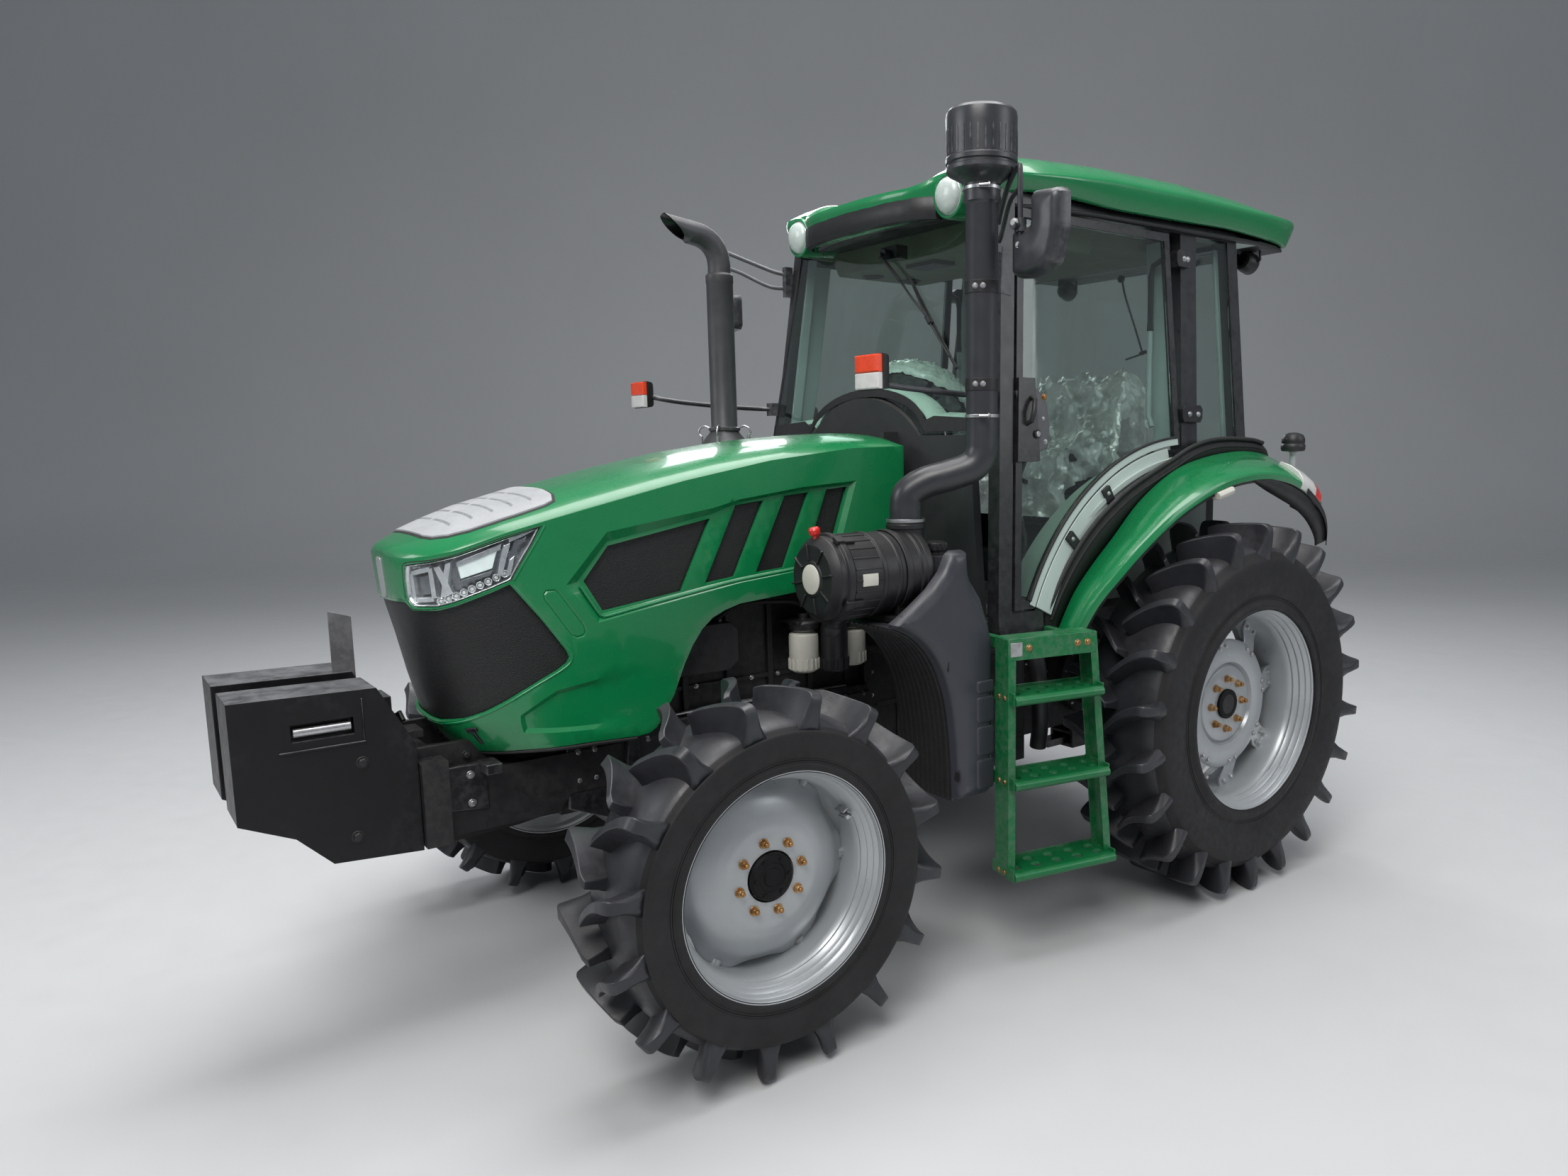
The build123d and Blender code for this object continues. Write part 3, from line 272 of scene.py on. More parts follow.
WHITEL = mat("white_lens", (.62, .62, .60), rough=.2, var=.08, vscale=30, coat=.5, bumps=[(160, .25, .001)])
REDL = mat("red_lens", (.60, .02, .015), rough=.2, var=.12, vscale=30, coat=.5, bumps=[(160, .25, .001)])
MIRRORM = mat("mirror_glass", (.78, .80, .82), rough=.04, rvar=.02, metal=1.0, var=.03, bumps=[(3, .03, .004)])
CREAM = mat("filter_body", (.55, .54, .48), rough=.4, var=.10, vscale=9, bumps=[(400, .1, .0005)], dust=.1)
GLASS = glass("cab_glass", (.66, .745, .71), rough=.015)
LENS = glass("lamp_lens", (.93, .95, .96), rough=.03, streaks=.05)
FABRIC = fabric_mat("seat_fabric", (.035, .036, .040))
HEADL = mat("roof_lining", (.19, .20, .155), rough=.8, var=.1, vscale=9, bumps=[(500, .3, .0006)])

# ------------------------------------------------------------------ mesh tools


class Mesh:
    """Vertices and faces of one piece; y is measured from the rear axle."""

    def __init__(self):
        self.v, self.f, self.m = [], [], []

    def add(self, vs, fs, mi=0):
        b = len(self.v)
        self.v.extend([(float(p[0]), float(p[1]), float(p[2])) for p in vs])
        self.f.extend([tuple(i + b for i in f) for f in fs])
        self.m.extend([mi] * len(fs))
        return b


def piece(name, m, mats, body, angle=32, bevel=None, seg=2, weld=1e-5, sub=0, solid=None, replaces=(), stage=False, smooth=True, flip=False, clamp=True):
    me = bpy.data.meshes.new(name)
    me.from_pydata([(x, y + AX, z) for x, y, z in m.v], [], m.f)
    me.validate()
    o = bpy.data.objects.new(name, me)
    bpy.context.scene.collection.objects.link(o)
    mats = mats if isinstance(mats, (list, tuple)) else [mats]
    for k in mats:
        me.materials.append(k)
    if len(me.polygons) == len(m.m):
        me.polygons.foreach_set("material_index", np.array(m.m, np.int32))
    bm = bmesh.new()
    bm.from_mesh(me)
    if weld:
        bmesh.ops.remove_doubles(bm, verts=bm.verts, dist=weld)
    bmesh.ops.dissolve_degenerate(bm, edges=bm.edges, dist=1e-6)
    bmesh.ops.recalc_face_normals(bm, faces=bm.faces)
    if flip:
        bmesh.ops.reverse_faces(bm, faces=bm.faces)
    bm.to_mesh(me)
    bm.free()
    if smooth:
        me.polygons.foreach_set("use_smooth", np.ones(len(me.polygons), bool))
        me.set_sharp_from_angle(angle=math.radians(angle))
    if solid:
        s = o.modifiers.new("solid", "SOLIDIFY")
        s.thickness = abs(solid)
        s.offset = -1 if solid > 0 else 1
        s.use_even_offset = False
    if bevel:
        b = o.modifiers.new("bevel", "BEVEL")
        b.width = bevel
        b.segments = seg
        b.limit_method = "ANGLE"
        b.angle_limit = math.radians(38)
        b.use_clamp_overlap = clamp
        b.harden_normals = False
    if sub:
        s = o.modifiers.new("sub", "SUBSURF")
        s.levels = s.render_levels = sub
    if not stage:
        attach(o, body)
        if replaces:
            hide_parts(*replaces)
    return o


def box(m, x0, x1, y0, y1, z0, z1, mi=0):
    x0, x1 = min(x0, x1), max(x0, x1)
    v = [(x, y, z) for x in (x0, x1) for y in (y0, y1) for z in (z0, z1)]
    m.add(v, [(0, 1, 3, 2), (4, 6, 7, 5), (0, 4, 5, 1), (2, 3, 7, 6), (0, 2, 6, 4), (1, 5, 7, 3)], mi)


def prism(m, pts, off, mi=0):
    """Closed polygon (3-D points) pushed by the vector off."""
    n = len(pts)
    off = Vector(off)
    v = [tuple(Vector(p)) for p in pts] + [tuple(Vector(p) + off) for p in pts]
    f = [tuple(range(n - 1, -1, -1)), tuple(range(n, 2 * n))] + [(i, (i + 1) % n, n + (i + 1) % n, n + i) for i in range(n)]
    m.add(v, f, mi)


def slab(m, x0, x1, yz, mi=0):
    prism(m, [(x0, y, z) for y, z in yz], (x1 - x0, 0, 0), mi)


def frame_of(d):
    d = Vector(d).normalized()
    a = Vector((0, 0, 1)) if abs(d.z) < .9 else Vector((1, 0, 0))
    u = d.cross(a).normalized()
    return u, d.cross(u).normalized(), d


def cyl(m, p, q, r, r1=None, n=20, mi=0, cap=True, rot=0.0):
    p, q = Vector(p), Vector(q)
    r1 = r if r1 is None else r1
    u, w, d = frame_of(q - p)
    v = []
    for c, rr in ((p, r), (q, r1)):
        for i in range(n):
            a = 2 * pi * i / n + rot
            v.append(c + (u * math.cos(a) + w * math.sin(a)) * rr)
    f = [(i, (i + 1) % n, n + (i + 1) % n, n + i) for i in range(n)]
    if cap:
        f += [tuple(range(n - 1, -1, -1)), tuple(range(n, 2 * n))]
    m.add(v, f, mi)


def lathe(m, prof, origin, axis, n=48, mi=0, close=False, ang=(0, 2 * pi)):
    """prof: (radius, height along axis). Points at radius 0 become one vertex."""
    o = Vector(origin)
    u, w, d = frame_of(axis)
    full = abs(ang[1] - ang[0] - 2 * pi) < 1e-6
    k = n if full else n + 1
    rows, v = [], []
    for r, h in prof:
        if r < 1e-7:
            rows.append([len(v)] * k)
            v.append(o + d * h)
        else:
            row = []
            for i in range(k):
                a = ang[0] + (ang[1] - ang[0]) * i / n
                row.append(len(v))
                v.append(o + d * h + (u * math.cos(a) + w * math.sin(a)) * r)
            rows.append(row)
    f = []
    prs = list(zip(rows, rows[1:])) + ([(rows[-1], rows[0])] if close else [])
    for ra, rb in prs:
        for i in range(n):
            j = (i + 1) % k
            q = [ra[i], ra[j], rb[j], rb[i]]
            q = [x for t, x in enumerate(q) if x not in q[:t]]
            if len(q) >= 3:
                f.append(tuple(q))
    m.add(v, f, mi)


def spline(pts, n=8, closed=False):
    """Catmull-Rom through the points."""
    P = [Vector(p) for p in pts]
    if closed:
        Q = [P[-1]] + P + [P[0], P[1]]
    else:
        Q = [P[0] * 2 - P[1]] + P + [P[-1] * 2 - P[-2]]
    out = []
    for i in range(1, len(Q) - 2):
        a, b, c, d = Q[i - 1], Q[i], Q[i + 1], Q[i + 2]
        for j in range(n):
            t = j / n
            out.append(.5 * ((2 * b) + (c - a) * t + (2 * a - 5 * b + 4 * c - d) * t * t + (3 * b - a - 3 * c + d) * t ** 3))
    if not closed:
        out.append(P[-1])
    return out


def tube(m, pts, r, n=12, mi=0, cap=True, closed=False):
    P = [Vector(p) for p in pts]
    k = len(P)
    T = []
    for i in range(k):
        a = P[(i - 1) % k] if closed or i > 0 else P[0]
        b = P[(i + 1) % k] if closed or i < k - 1 else P[-1]
        T.append((b - a).normalized())
    u, w, _ = frame_of(T[0])
    v, rows = [], []
    for i in range(k):
        if i:
            ax = T[i - 1].cross(T[i])
            if ax.length > 1e-8:
                R = Matrix.Rotation(T[i - 1].angle(T[i]), 3, ax.normalized())
                u, w = R @ u, R @ w
        rr = r[i] if isinstance(r, (list, tuple)) else r
        row = []
        for j in range(n):
            a = 2 * pi * j / n
            row.append(len(v))
            v.append(P[i] + (u * math.cos(a) + w * math.sin(a)) * rr)
        rows.append(row)
    f = []
    prs = list(zip(rows, rows[1:]))
    for ra, rb in prs:
        f += [(ra[j], ra[(j + 1) % n], rb[(j + 1) % n], rb[j]) for j in range(n)]
    if closed:
        ra, rb = rows[-1], rows[0]
        s = min(range(n), key=lambda q: (v[ra[0]] - v[rb[q]]).length)
        f += [(ra[j], ra[(j + 1) % n], rb[(j + 1 + s) % n], rb[(j + s) % n]) for j in range(n)]
    elif cap:
        f += [tuple(reversed(rows[0])), tuple(rows[-1])]
    m.add(v, f, mi)


def bolt(m, p, d, r, h, mi=0, washer=True, dome=True):
    """Hexagon bolt head on a washer, standing on p and pointing along d."""
    p = Vector(p)
    u, w, d = frame_of(d)
    a0 = (p.x * 37 + p.y * 53 + p.z * 71) % 1.0
    if washer:
        cyl(m, p - d * .001, p + d * h * .18, r * 1.35, n=18, mi=mi)
    cyl(m, p, p + d * h * .85, r, n=6, mi=mi, rot=a0 * 2)
    if dome:
        lathe(m, [(r * .86, h * .85), (r * .8, h), (0, h * 1.05)], p, d, n=12, mi=mi)


def ring(m, c, d, r0, r1, h, n=48, mi=0):
    """Flat ring of inner radius r0 and outer r1, h thick along d from c."""
    lathe(m, [(r0, 0), (r1, 0), (r1, h), (r0, h)], c, d, n=n, mi=mi, close=True)


def mirrored(m):
    out = Mesh()
    b = len(m.v)
    out.v = list(m.v) + [(-x, y, z) for x, y, z in m.v]
    out.f = list(m.f) + [tuple(i + b for i in reversed(f)) for f in m.f]
    out.m = list(m.m) * 2
    return out


def sm(t):
    t = min(1.0, max(0.0, t))
    return t * t * (3 - 2 * t)


def lerp(a, b, t):
    return a + (b - a) * t


def interp(x, tab):
    return float(np.interp(x, [a for a, b in tab], [b for a, b in tab]))


def cad(node, material):
    """A carried-over CAD node takes a worked material."""
    o = N[node]
    o.data.materials.clear()
    o.data.materials.append(material)
    return o

# ------------------------------------------------------------------ wheels


def tyre(name, side, front):
    """Carcass lofted from bead to bead, and two rows of tall curved blades that run over the shoulder and down the sidewall."""
    s = 1 if side == "left" else -1
    cy, cz = (-2.32, .61) if front else (0.0, .805)
    cx = .9775 if front else 1.0295
    R, W = (.61, .363) if front else (.805, .435)
    h = W / 2
    rw = .161 if front else .199
    bead = .357 if front else .434
    H = .078 if front else .088
    sw = bead + .46 * (R - bead)
    # carcass section, half: (x from the centre plane, radius)
    half = [(0, R - H), (h * .30, R - H - .002), (h * .58, R - H - .010), (h * .78, R - H - .026), (h * .90, R - H - .052), (h * .955, (sw + R - H) / 2 - .012),
            (h * .975, sw), (h * .945, lerp(sw, bead, .35)), (h * .885, lerp(sw, bead, .66)), (rw + .004, bead + .020), (rw - .003, bead + .004), (rw - .018, bead + .001)]
    P = spline([(x, r, 0) for x, r in half], 4)
    sec = [(p.x, p.y) for p in P]
    prof = [(-x, r) for x, r in reversed(sec[1:])] + sec
    m = Mesh()
    n = 128
    O = Vector((s * cx, cy, cz))
    rows = []
    for x, r in prof:
        row = []
        for i in range(n):
            a = 2 * pi * i / n
            row.append((O.x + s * x, cy + r * math.cos(a), cz + r * math.sin(a)))
        rows.append(row)
    base = m.add([p for row in rows for p in row], [])
    k = len(rows)
    F = [(j * n + i, j * n + (i + 1) % n, (j + 1) * n + (i + 1) % n, (j + 1) * n + i) for j in range(k - 1) for i in range(n)]
    # side faces carry the sidewall finish, the crown the tread finish; the crown's lighter, bluer colour is partly
    # painted sheen and the sidewall's darker colour partly painted shade
    for f in F:
        xm = abs(prof[f[0] // n][0])
        m.f.append(tuple(base + i for i in f))
        m.m.append(1 if xm > h * .80 else 0)
    # inner liner, so that the carcass is a closed ring
    inn = [(x * (.86 if r > bead + .03 else .97), max(r - .022, bead + .0006)) for x, r in prof]
    b2 = m.add([(O.x + s * x, cy + r * math.cos(2 * pi * i / n), cz + r * math.sin(2 * pi * i / n)) for x, r in inn for i in range(n)], [])
    for j in range(k - 1):
        for i in range(n):
            m.f.append((b2 + j * n + i, b2 + (j + 1) * n + i, b2 + (j + 1) * n + (i + 1) % n, b2 + j * n + (i + 1) % n))
            m.m.append(1)
    for j in (0, k - 1):
        for i in range(n):
            m.f.append((base + j * n + i, base + j * n + (i + 1) % n, b2 + j * n + (i + 1) % n, b2 + j * n + i))
            m.m.append(1)
    # moulded rings near the bead
    for q in (.30, .36):
        r0 = lerp(bead, sw, q)
        xw = interp(r0, sorted((r, x) for x, r in sec if r < sw))
        for t in (1, -1):
            lathe(m, [(r0 - .004, t * (xw - .004)), (r0 - .002, t * (xw + .0022)), (r0 + .002, t * (xw + .0022)), (r0 + .004, t * (xw - .004))], O, (s, 0, 0), n=96, mi=1)
    # lugs: tall blades, thin at the tread, that lean back from the centre, turn over the shoulder and run out as a fin on the sidewall
    cnt = 16 if front else 22
    lug = Mesh()
    k = 1.0 if front else 1.22
    lead = .105 if front else .125
    crown = sorted((a, b) for a, b in sec if b > sw)

    def car(x):
        return interp(max(0, x), crown)
    wall = sorted((b, a) for a, b in sec)
    #        t     base x, r                                top x, r                         half width at base, at top
    KEY = [(0.00, (-.012, R - H - .006), (-.012, R - .012), .026, .012),
           (0.06, (h * .05, car(h * .05) - .006), (h * .04, R - .004), .028, .0125),
           (0.35, (h * .38, car(h * .38) - .006), (h * .38, R - .002), .033, .0145),
           (0.58, (h * .66, car(h * .66) - .008), (h * .67, R - .001), .041, .0170),
           (0.72, (h * .80, car(h * .80) - .010), (h * .86, R - .003), .050, .0190),
           (0.80, (h * .84, car(h * .84) - .012), (h * .955, R - .011), .055, .0195),
           (0.86, (h * .86, R - H - .052 * k), (h * .992, R - .030 * k), .056, .0180),
           (0.92, (h * .87, R - H - .064 * k), (h * .995, R - .066 * k), .054, .0150),
           (1.00, (h * .90, R - H - .080 * k), (interp(R - .130 * k, wall) - .002, R - .130 * k), .044, .0120)]
    NT = 26
    for row in (0, 1):
        t0 = 1 if row == 0 else -1
        for q in range(cnt):
            a_c = 2 * pi * (q + .5 * row) / cnt
            vs = []
            for j in range(NT + 1):
                t = j / NT
                bx = interp(t, [(K[0], K[1][0]) for K in KEY])
                br = interp(t, [(K[0], K[1][1]) for K in KEY])
                tx = interp(t, [(K[0], K[2][0]) for K in KEY])
                tr = interp(t, [(K[0], K[2][1]) for K in KEY])
                hb = interp(t, [(K[0], K[3]) for K in KEY])
                ht = interp(t, [(K[0], K[4]) for K in KEY])
                u = min(1, t / .8)
                off = lead * (1 - (1 - u) ** 1.9)
                mx, mr = lerp(bx, tx, .42), lerp(br, tr, .42)
                hm = lerp(hb, ht, .66)
                for (xx, rr, hw) in ((bx, br, -hb), (mx, mr, -hm), (tx, tr, -ht), (tx, tr, ht), (mx, mr, hm), (bx, br, hb)):
                    ang = a_c + (-off + hw) / R
                    vs.append((O.x + s * t0 * xx, cy + rr * math.cos(ang), cz + rr * math.sin(ang)))
            b = lug.add(vs, [])
            fs = []
            for j in range(NT):
                for e in range(6):
                    e2 = (e + 1) % 6
                    fs.append((b + 6 * j + e, b + 6 * j + e2, b + 6 * (j + 1) + e2, b + 6 * (j + 1) + e))
            fs.append(tuple(b + i for i in range(6)))
            fs.append(tuple(b + 6 * NT + i for i in reversed(range(6))))
            lug.f.extend(fs)
            lug.m.extend([0] * len(fs))
    body = ("front" if front else "rear") + "_wheel_" + side
    piece(name + "_carcass", m, [RUBBER, RUBBER_SIDE], body, angle=40, replaces=(name,))
    o = piece(name + "_lugs", lug, [RUBBER], body, angle=38, bevel=.0045, seg=2, weld=0)
    return o


def front_rim(side):
    s = 1 if side == "left" else -1
    O = (s * .9775, -2.32, .61)
    ax = (s, 0, 0)
    B, Fl, rw = .357, .371, .161
    m = Mesh()
    # barrel: stepped flange with fine ridges on the outer side, drop centre behind
    outp = [(Fl - .002, rw - .001), (Fl, rw + .0), (Fl + .0, rw - .004), (Fl - .008, rw - .009), (B + .002, rw - .012), (B, rw - .04), (B - .004, rw - .052), (B - .030, rw - .078), (B - .034, rw - .1), (B - .034, -rw + .08),
            (B - .006, -rw + .05), (B, -rw + .035), (B + .002, -rw + .012), (Fl - .006, -rw + .008), (Fl, -rw)]
    inn = [(Fl - .010, -rw), (B - .008, -rw + .014), (B - .012, -rw + .05), (B - .043, -rw + .082), (B - .043, rw - .112), (B - .036, rw - .094), (B - .031, rw - .088), (B - .034, rw - .080), (B - .026, rw - .068), (B - .021, rw - .064), (B - .024, rw - .056),
           (B - .016, rw - .046), (B - .011, rw - .043), (B - .0135, rw - .036), (B - .007, rw - .026), (B - .003, rw - .0235), (B - .005, rw - .017), (Fl - .016, rw - .006), (Fl - .010, rw - .001)]
    lathe(m, outp + inn, O, ax, n=144, close=True)
    # dished disc with a wavy edge that reaches the barrel at six lobes
    hub = 1.022 - .9775
    nr, na = 18, 144
    vs = []
    for i in range(na):
        a = 2 * pi * i / na
        w = .5 + .5 * math.cos(6 * a + .35)
        edge = .292 + .0215 * sm(w * 1.25)
        for j in range(nr + 1):
            t = j / nr
            r = lerp(.084, edge, t ** .9)
            d = -.001 * sm((r - .13) / .01) + interp(r, [(.084, 0), (.165, 0), (.18, -.004), (.20, -.0075), (.235, -.019), (.262, -.032), (.285, -.050), (.30, -.060), (.316, -.066)])
            d += -.012 * (1 - sm(w * 1.25)) * sm((t - .8) / .2)
            vs.append((r, a, hub + d))
    for k2, th in ((0, 0), (1, -.010)):
        m.add([(O[0] + s * (d + th), O[1] + r * math.cos(a), O[2] + r * math.sin(a)) for r, a, d in vs],
              [(i * (nr + 1) + j, i * (nr + 1) + j + 1, ((i + 1) % na) * (nr + 1) + j + 1, ((i + 1) % na) * (nr + 1) + j) for i in range(na) for j in range(nr)])
    n0 = len(m.v) - 2 * len(vs)
    L0 = len(vs)
    for i in range(na):
        i2 = (i + 1) % na
        for j in (0, nr):
            m.f.append((n0 + i * (nr + 1) + j, n0 + i2 * (nr + 1) + j, n0 + L0 + i2 * (nr + 1) + j, n0 + L0 + i * (nr + 1) + j))
            m.m.append(0)
    # weld bosses behind each lobe and the valve bracket
    for q in range(6):
        a = (2 * pi * q - .35) / 6
        c, sn = math.cos(a), math.sin(a)
        x = O[0] + s * (hub - .070)
        cyl(m, (x, O[1] + .296 * c, O[2] + .296 * sn), (x, O[1] + .322 * c, O[2] + .322 * sn), .020, n=14)
    body = "front_wheel_" + side
    rim = piece("front_rim_" + side + "_disc", m, [SILVER], body, angle=30, replaces=("front_rim_" + side,))
    b = Mesh()
    for q in range(8):
        a = 2 * pi * q / 8 + .2
        p = (O[0] + s * hub, O[1] + .115 * math.cos(a), O[2] + .115 * math.sin(a))
        cyl(b, p, (p[0] + s * .003, p[1], p[2]), .0165, n=20)
        cyl(b, (p[0] + s * .003, p[1], p[2]), (p[0] + s * .017, p[1], p[2]), .0135, .0128, n=6, rot=q * .7)
        lathe(b, [(.0085, .017), (.0080, .024), (.005, .027), (0, .0275)], p, ax, n=14)
    piece("front_wheel_nuts_" + side, b, [COPPER], body, angle=30, bevel=.0008, seg=1)
    v = Mesh()
    a = .55
    px = O[0] + s * (rw - .115)
    pts = [(px, O[1] + .318 * math.cos(a), O[2] + .318 * math.sin(a)), (px + s * .02, O[1] + .300 * math.cos(a), O[2] + .300 * math.sin(a)), (px + s * .055, O[1] + .295 * math.cos(a), O[2] + .295 * math.sin(a))]
    tube(v, spline(pts, 6), .0055, n=10)
    cyl(v, pts[-1], (pts[-1][0] + s * .012, pts[-1][1], pts[-1][2]), .0075, n=12)
    for da in (-.05, .05):
        box_at(v, (px + s * .028, O[1] + .306 * math.cos(a + da), O[2] + .306 * math.sin(a + da)), (.05, .004, .024), a + da)
    piece("front_valve_" + side, v, [STEEL], body, bevel=.0008, seg=1)
    # dust cap of the hub, seen through the disc's hole
    h = Mesh()
    lathe(h, [(.0765, -.05), (.0765, .004), (.070, .010), (.048, .013), (.046, .009), (.030, .009), (.028, .013), (0, .014)], (s * 1.022, O[1], O[2]), ax, n=48)
    for q in range(6):
        a = 2 * pi * q / 6
        bolt(h, (s * 1.033, O[1] + .060 * math.cos(a), O[2] + .060 * math.sin(a)), ax, .006, .006)
    piece("front_hub_cap_" + side, h, [HUBM], body, bevel=.0008, seg=1)


def box_at(m, c, size, ang, mi=0):
    """Box centred on c, turned by ang about X: size along x, along the circumference and along the radius."""
    hx, ht, hr = size[0] / 2, size[1] / 2, size[2] / 2
    ca, sa = math.cos(ang), math.sin(ang)
    vs = []
    for x in (-hx, hx):
        for t in (-ht, ht):
            for r in (-hr, hr):
                vs.append((c[0] + x, c[1] + r * ca - t * sa, c[2] + r * sa + t * ca))
    m.add(vs, [(0, 1, 3, 2), (4, 6, 7, 5), (0, 4, 5, 1), (2, 3, 7, 6), (0, 2, 6, 4), (1, 5, 7, 3)], mi)


def rear_rim(side):
    s = 1 if side == "left" else -1
    O = (s * 1.0295, 0.0, .805)
    ax = (s, 0, 0)
    B, Fl, rw = .434, .457, .199
    m = Mesh()
    outp = [(Fl - .002, rw - .001), (Fl, rw), (Fl, rw - .005), (Fl - .010, rw - .010), (B + .002, rw - .014), (B, rw - .045), (B - .004, rw - .06), (B - .030, rw - .085), (B - .034, rw - .13), (B - .034, -rw + .08),
            (B - .006, -rw + .05), (B, -rw + .035), (B + .002, -rw + .014), (Fl - .008, -rw + .008), (Fl, -rw)]
    inn = [(Fl - .010, -rw), (B - .010, -rw + .014), (B - .014, -rw + .05), (B - .043, -rw + .084), (B - .043, rw - .132), (B - .036, rw - .108), (B - .031, rw - .102), (B - .034, rw - .092), (B - .026, rw - .078), (B - .021, rw - .074), (B - .024, rw - .064),
           (B - .016, rw - .052), (B - .011, rw - .048), (B - .0135, rw - .040), (B - .006, rw - .028), (B - .001, rw - .025), (B - .004, rw - .018), (Fl - .018, rw - .007), (Fl - .010, rw - .001)]
    lathe(m, outp + inn, O, ax, n=160, close=True)
    hub = 1.056 - 1.0295
    disc = [(.066, 0), (.125, 0), (.158, -.001), (.166, -.004), (.172, -.012), (.176, -.016), (.186, .004), (.196, .008), (.262, .008), (.276, .004), (.286, -.004), (.287, -.014),
            (.274, -.012), (.262, -.003), (.196, -.003), (.190, -.006), (.176, -.028), (.160, -.014), (.066, -.012)]
    lathe(m, [(r, hub + d) for r, d in disc], O, ax, n=120, close=True)
    # eight brackets that join the disc to the barrel
    br = Mesh()
    nb = Mesh()
    for q in range(8):
        a = 2 * pi * q / 8 + .18
        ca, sa = math.cos(a), math.sin(a)

        def P(x, r, t):
            return (O[0] + s * x, O[1] + r * ca - t * sa, O[2] + r * sa + t * ca)
        w = .045
        for t0, t1 in ((-w, w),):
            prof = [(hub - .004, .235), (hub - .004, .292), (hub - .030, .352), (hub - .030, .392), (hub - .044, .392), (hub - .046, .345), (hub - .018, .286), (hub - .018, .235)]
            vs = [P(x, r, t0 * (1 if r < .3 else 1.15)) for x, r in prof] + [P(x, r, t1 * (1 if r < .3 else 1.15)) for x, r in prof]
            k = len(prof)
            br.add(vs, [tuple(range(k - 1, -1, -1)), tuple(range(k, 2 * k))] + [(i, (i + 1) % k, k + (i + 1) % k, k + i) for i in range(k)])
        for t in (-.022, .022):
            bolt(nb, P(hub + .007, .262, t), ax, .0105, .010)
            bolt(nb, P(hub - .031, .366, t * 1.2), ax, .0105, .012)
    body = "rear_wheel_" + side
    piece("rear_rim_" + side + "_disc", m, [SILVER], body, angle=30, replaces=("rear_rim_" + side,))
    piece("rear_rim_brackets_" + side, br, [SILVER], body, bevel=.003, seg=2)
    piece("rear_rim_bolts_" + side, nb, [STEEL], body, bevel=.0008, seg=1)
    b = Mesh()
    for q in range(8):
        a = 2 * pi * q / 8
        p = (O[0] + s * hub, O[1] + .112 * math.cos(a), O[2] + .112 * math.sin(a))
        cyl(b, p, (p[0] + s * .004, p[1], p[2]), .0175, n=20)
        cyl(b, (p[0] + s * .004, p[1], p[2]), (p[0] + s * .020, p[1], p[2]), .0145, .0138, n=6, rot=q * .9)
        lathe(b, [(.0092, .020), (.0088, .030), (.005, .034), (0, .0345)], p, ax, n=14)
    piece("rear_wheel_nuts_" + side, b, [COPPER], body, bevel=.0008, seg=1)
    h = Mesh()
    lathe(h, [(.0655, -.02), (.0655, .012), (.058, .016), (.044, .016), (.042, .006), (.030, .006), (.028, .010), (0, .010)], (s * 1.056, O[1], O[2]), ax, n=48)
    piece("rear_hub_end_" + side, h, [HUBM], body, bevel=.0008, seg=1)
    v = Mesh()
    a = 3.9
    px = O[0] + s * (rw - .13)
    pts = [(px, O[1] + .398 * math.cos(a), O[2] + .398 * math.sin(a)), (px + s * .02, O[1] + .378 * math.cos(a), O[2] + .378 * math.sin(a)), (px + s * .055, O[1] + .372 * math.cos(a), O[2] + .372 * math.sin(a))]
    tube(v, spline(pts, 6), .0055, n=10)
    cyl(v, pts[-1], (pts[-1][0] + s * .012, pts[-1][1], pts[-1][2]), .0075, n=12)
    piece("rear_valve_" + side, v, [STEEL], body, bevel=.0008, seg=1)


for side in ("left", "right"):
    tyre("front_tyre_" + side, side, True)
    tyre("rear_tyre_" + side, side, False)
    front_rim(side)
    rear_rim(side)

# ------------------------------------------------------------------ hood
# The side and nose are one sheet over (s, z): s runs along the plan line from the nose's centre to the rear edge.
PLAN = [(0, -3.150), (.09, -3.148), (.17, -3.135), (.245, -3.105), (.30, -3.055), (.335, -2.985), (.357, -2.88), (.368, -2.75), (.372, -2.60), (.374, -2.2), (.375, -1.7), (.375, -1.262)]


def _plan():
    P = [(-PLAN[1][0], PLAN[1][1])] + PLAN + [(2 * PLAN[-1][0] - PLAN[-2][0], 2 * PLAN[-1][1] - PLAN[-2][1])]
    out = []
    for i in range(1, len(P) - 2):
        a, b, c, d = [np.array(q) for q in P[i - 1:i + 3]]
        for j in range(40):
            t = j / 40
            out.append(.5 * ((2 * b) + (c - a) * t + (2 * a - 5 * b + 4 * c - d) * t * t + (3 * b - a - 3 * c + d) * t ** 3))
    out.append(np.array(PLAN[-1]))
    C = np.array(out)
    L = np.concatenate([[0], np.cumsum(np.linalg.norm(np.diff(C, axis=0), axis=1))])
    return C, L


HC, HL = _plan()
S_END = float(HL[-1])
LEAN = [(.90, .20), (1.0, .14), (1.06, .10), (1.18, .07), (1.33, .04), (1.45, .012), (1.61, 0), (2.1, 0)]


def hood_p(s, z, off=0.0):
    def base(s, z):
        x = float(np.interp(s, HL, HC[:, 0]))
        y = float(np.interp(s, HL, HC[:, 1]))
        k = sm((-2.62 - y) / .5)
        d = interp(z, LEAN)
        return Vector((x * (1 - .10 * k * d / .14), y + k * d, z))
    p = base(s, z)
    if off:
        e = .004
        a = base(min(s + e, S_END), z) - base(max(s - e, 0), z)
        b = base(s, z + e) - base(s, z - e)
        n = a.cross(b).normalized()
        if s < .002:
            n.x = 0
        p = p + n * off
    return p


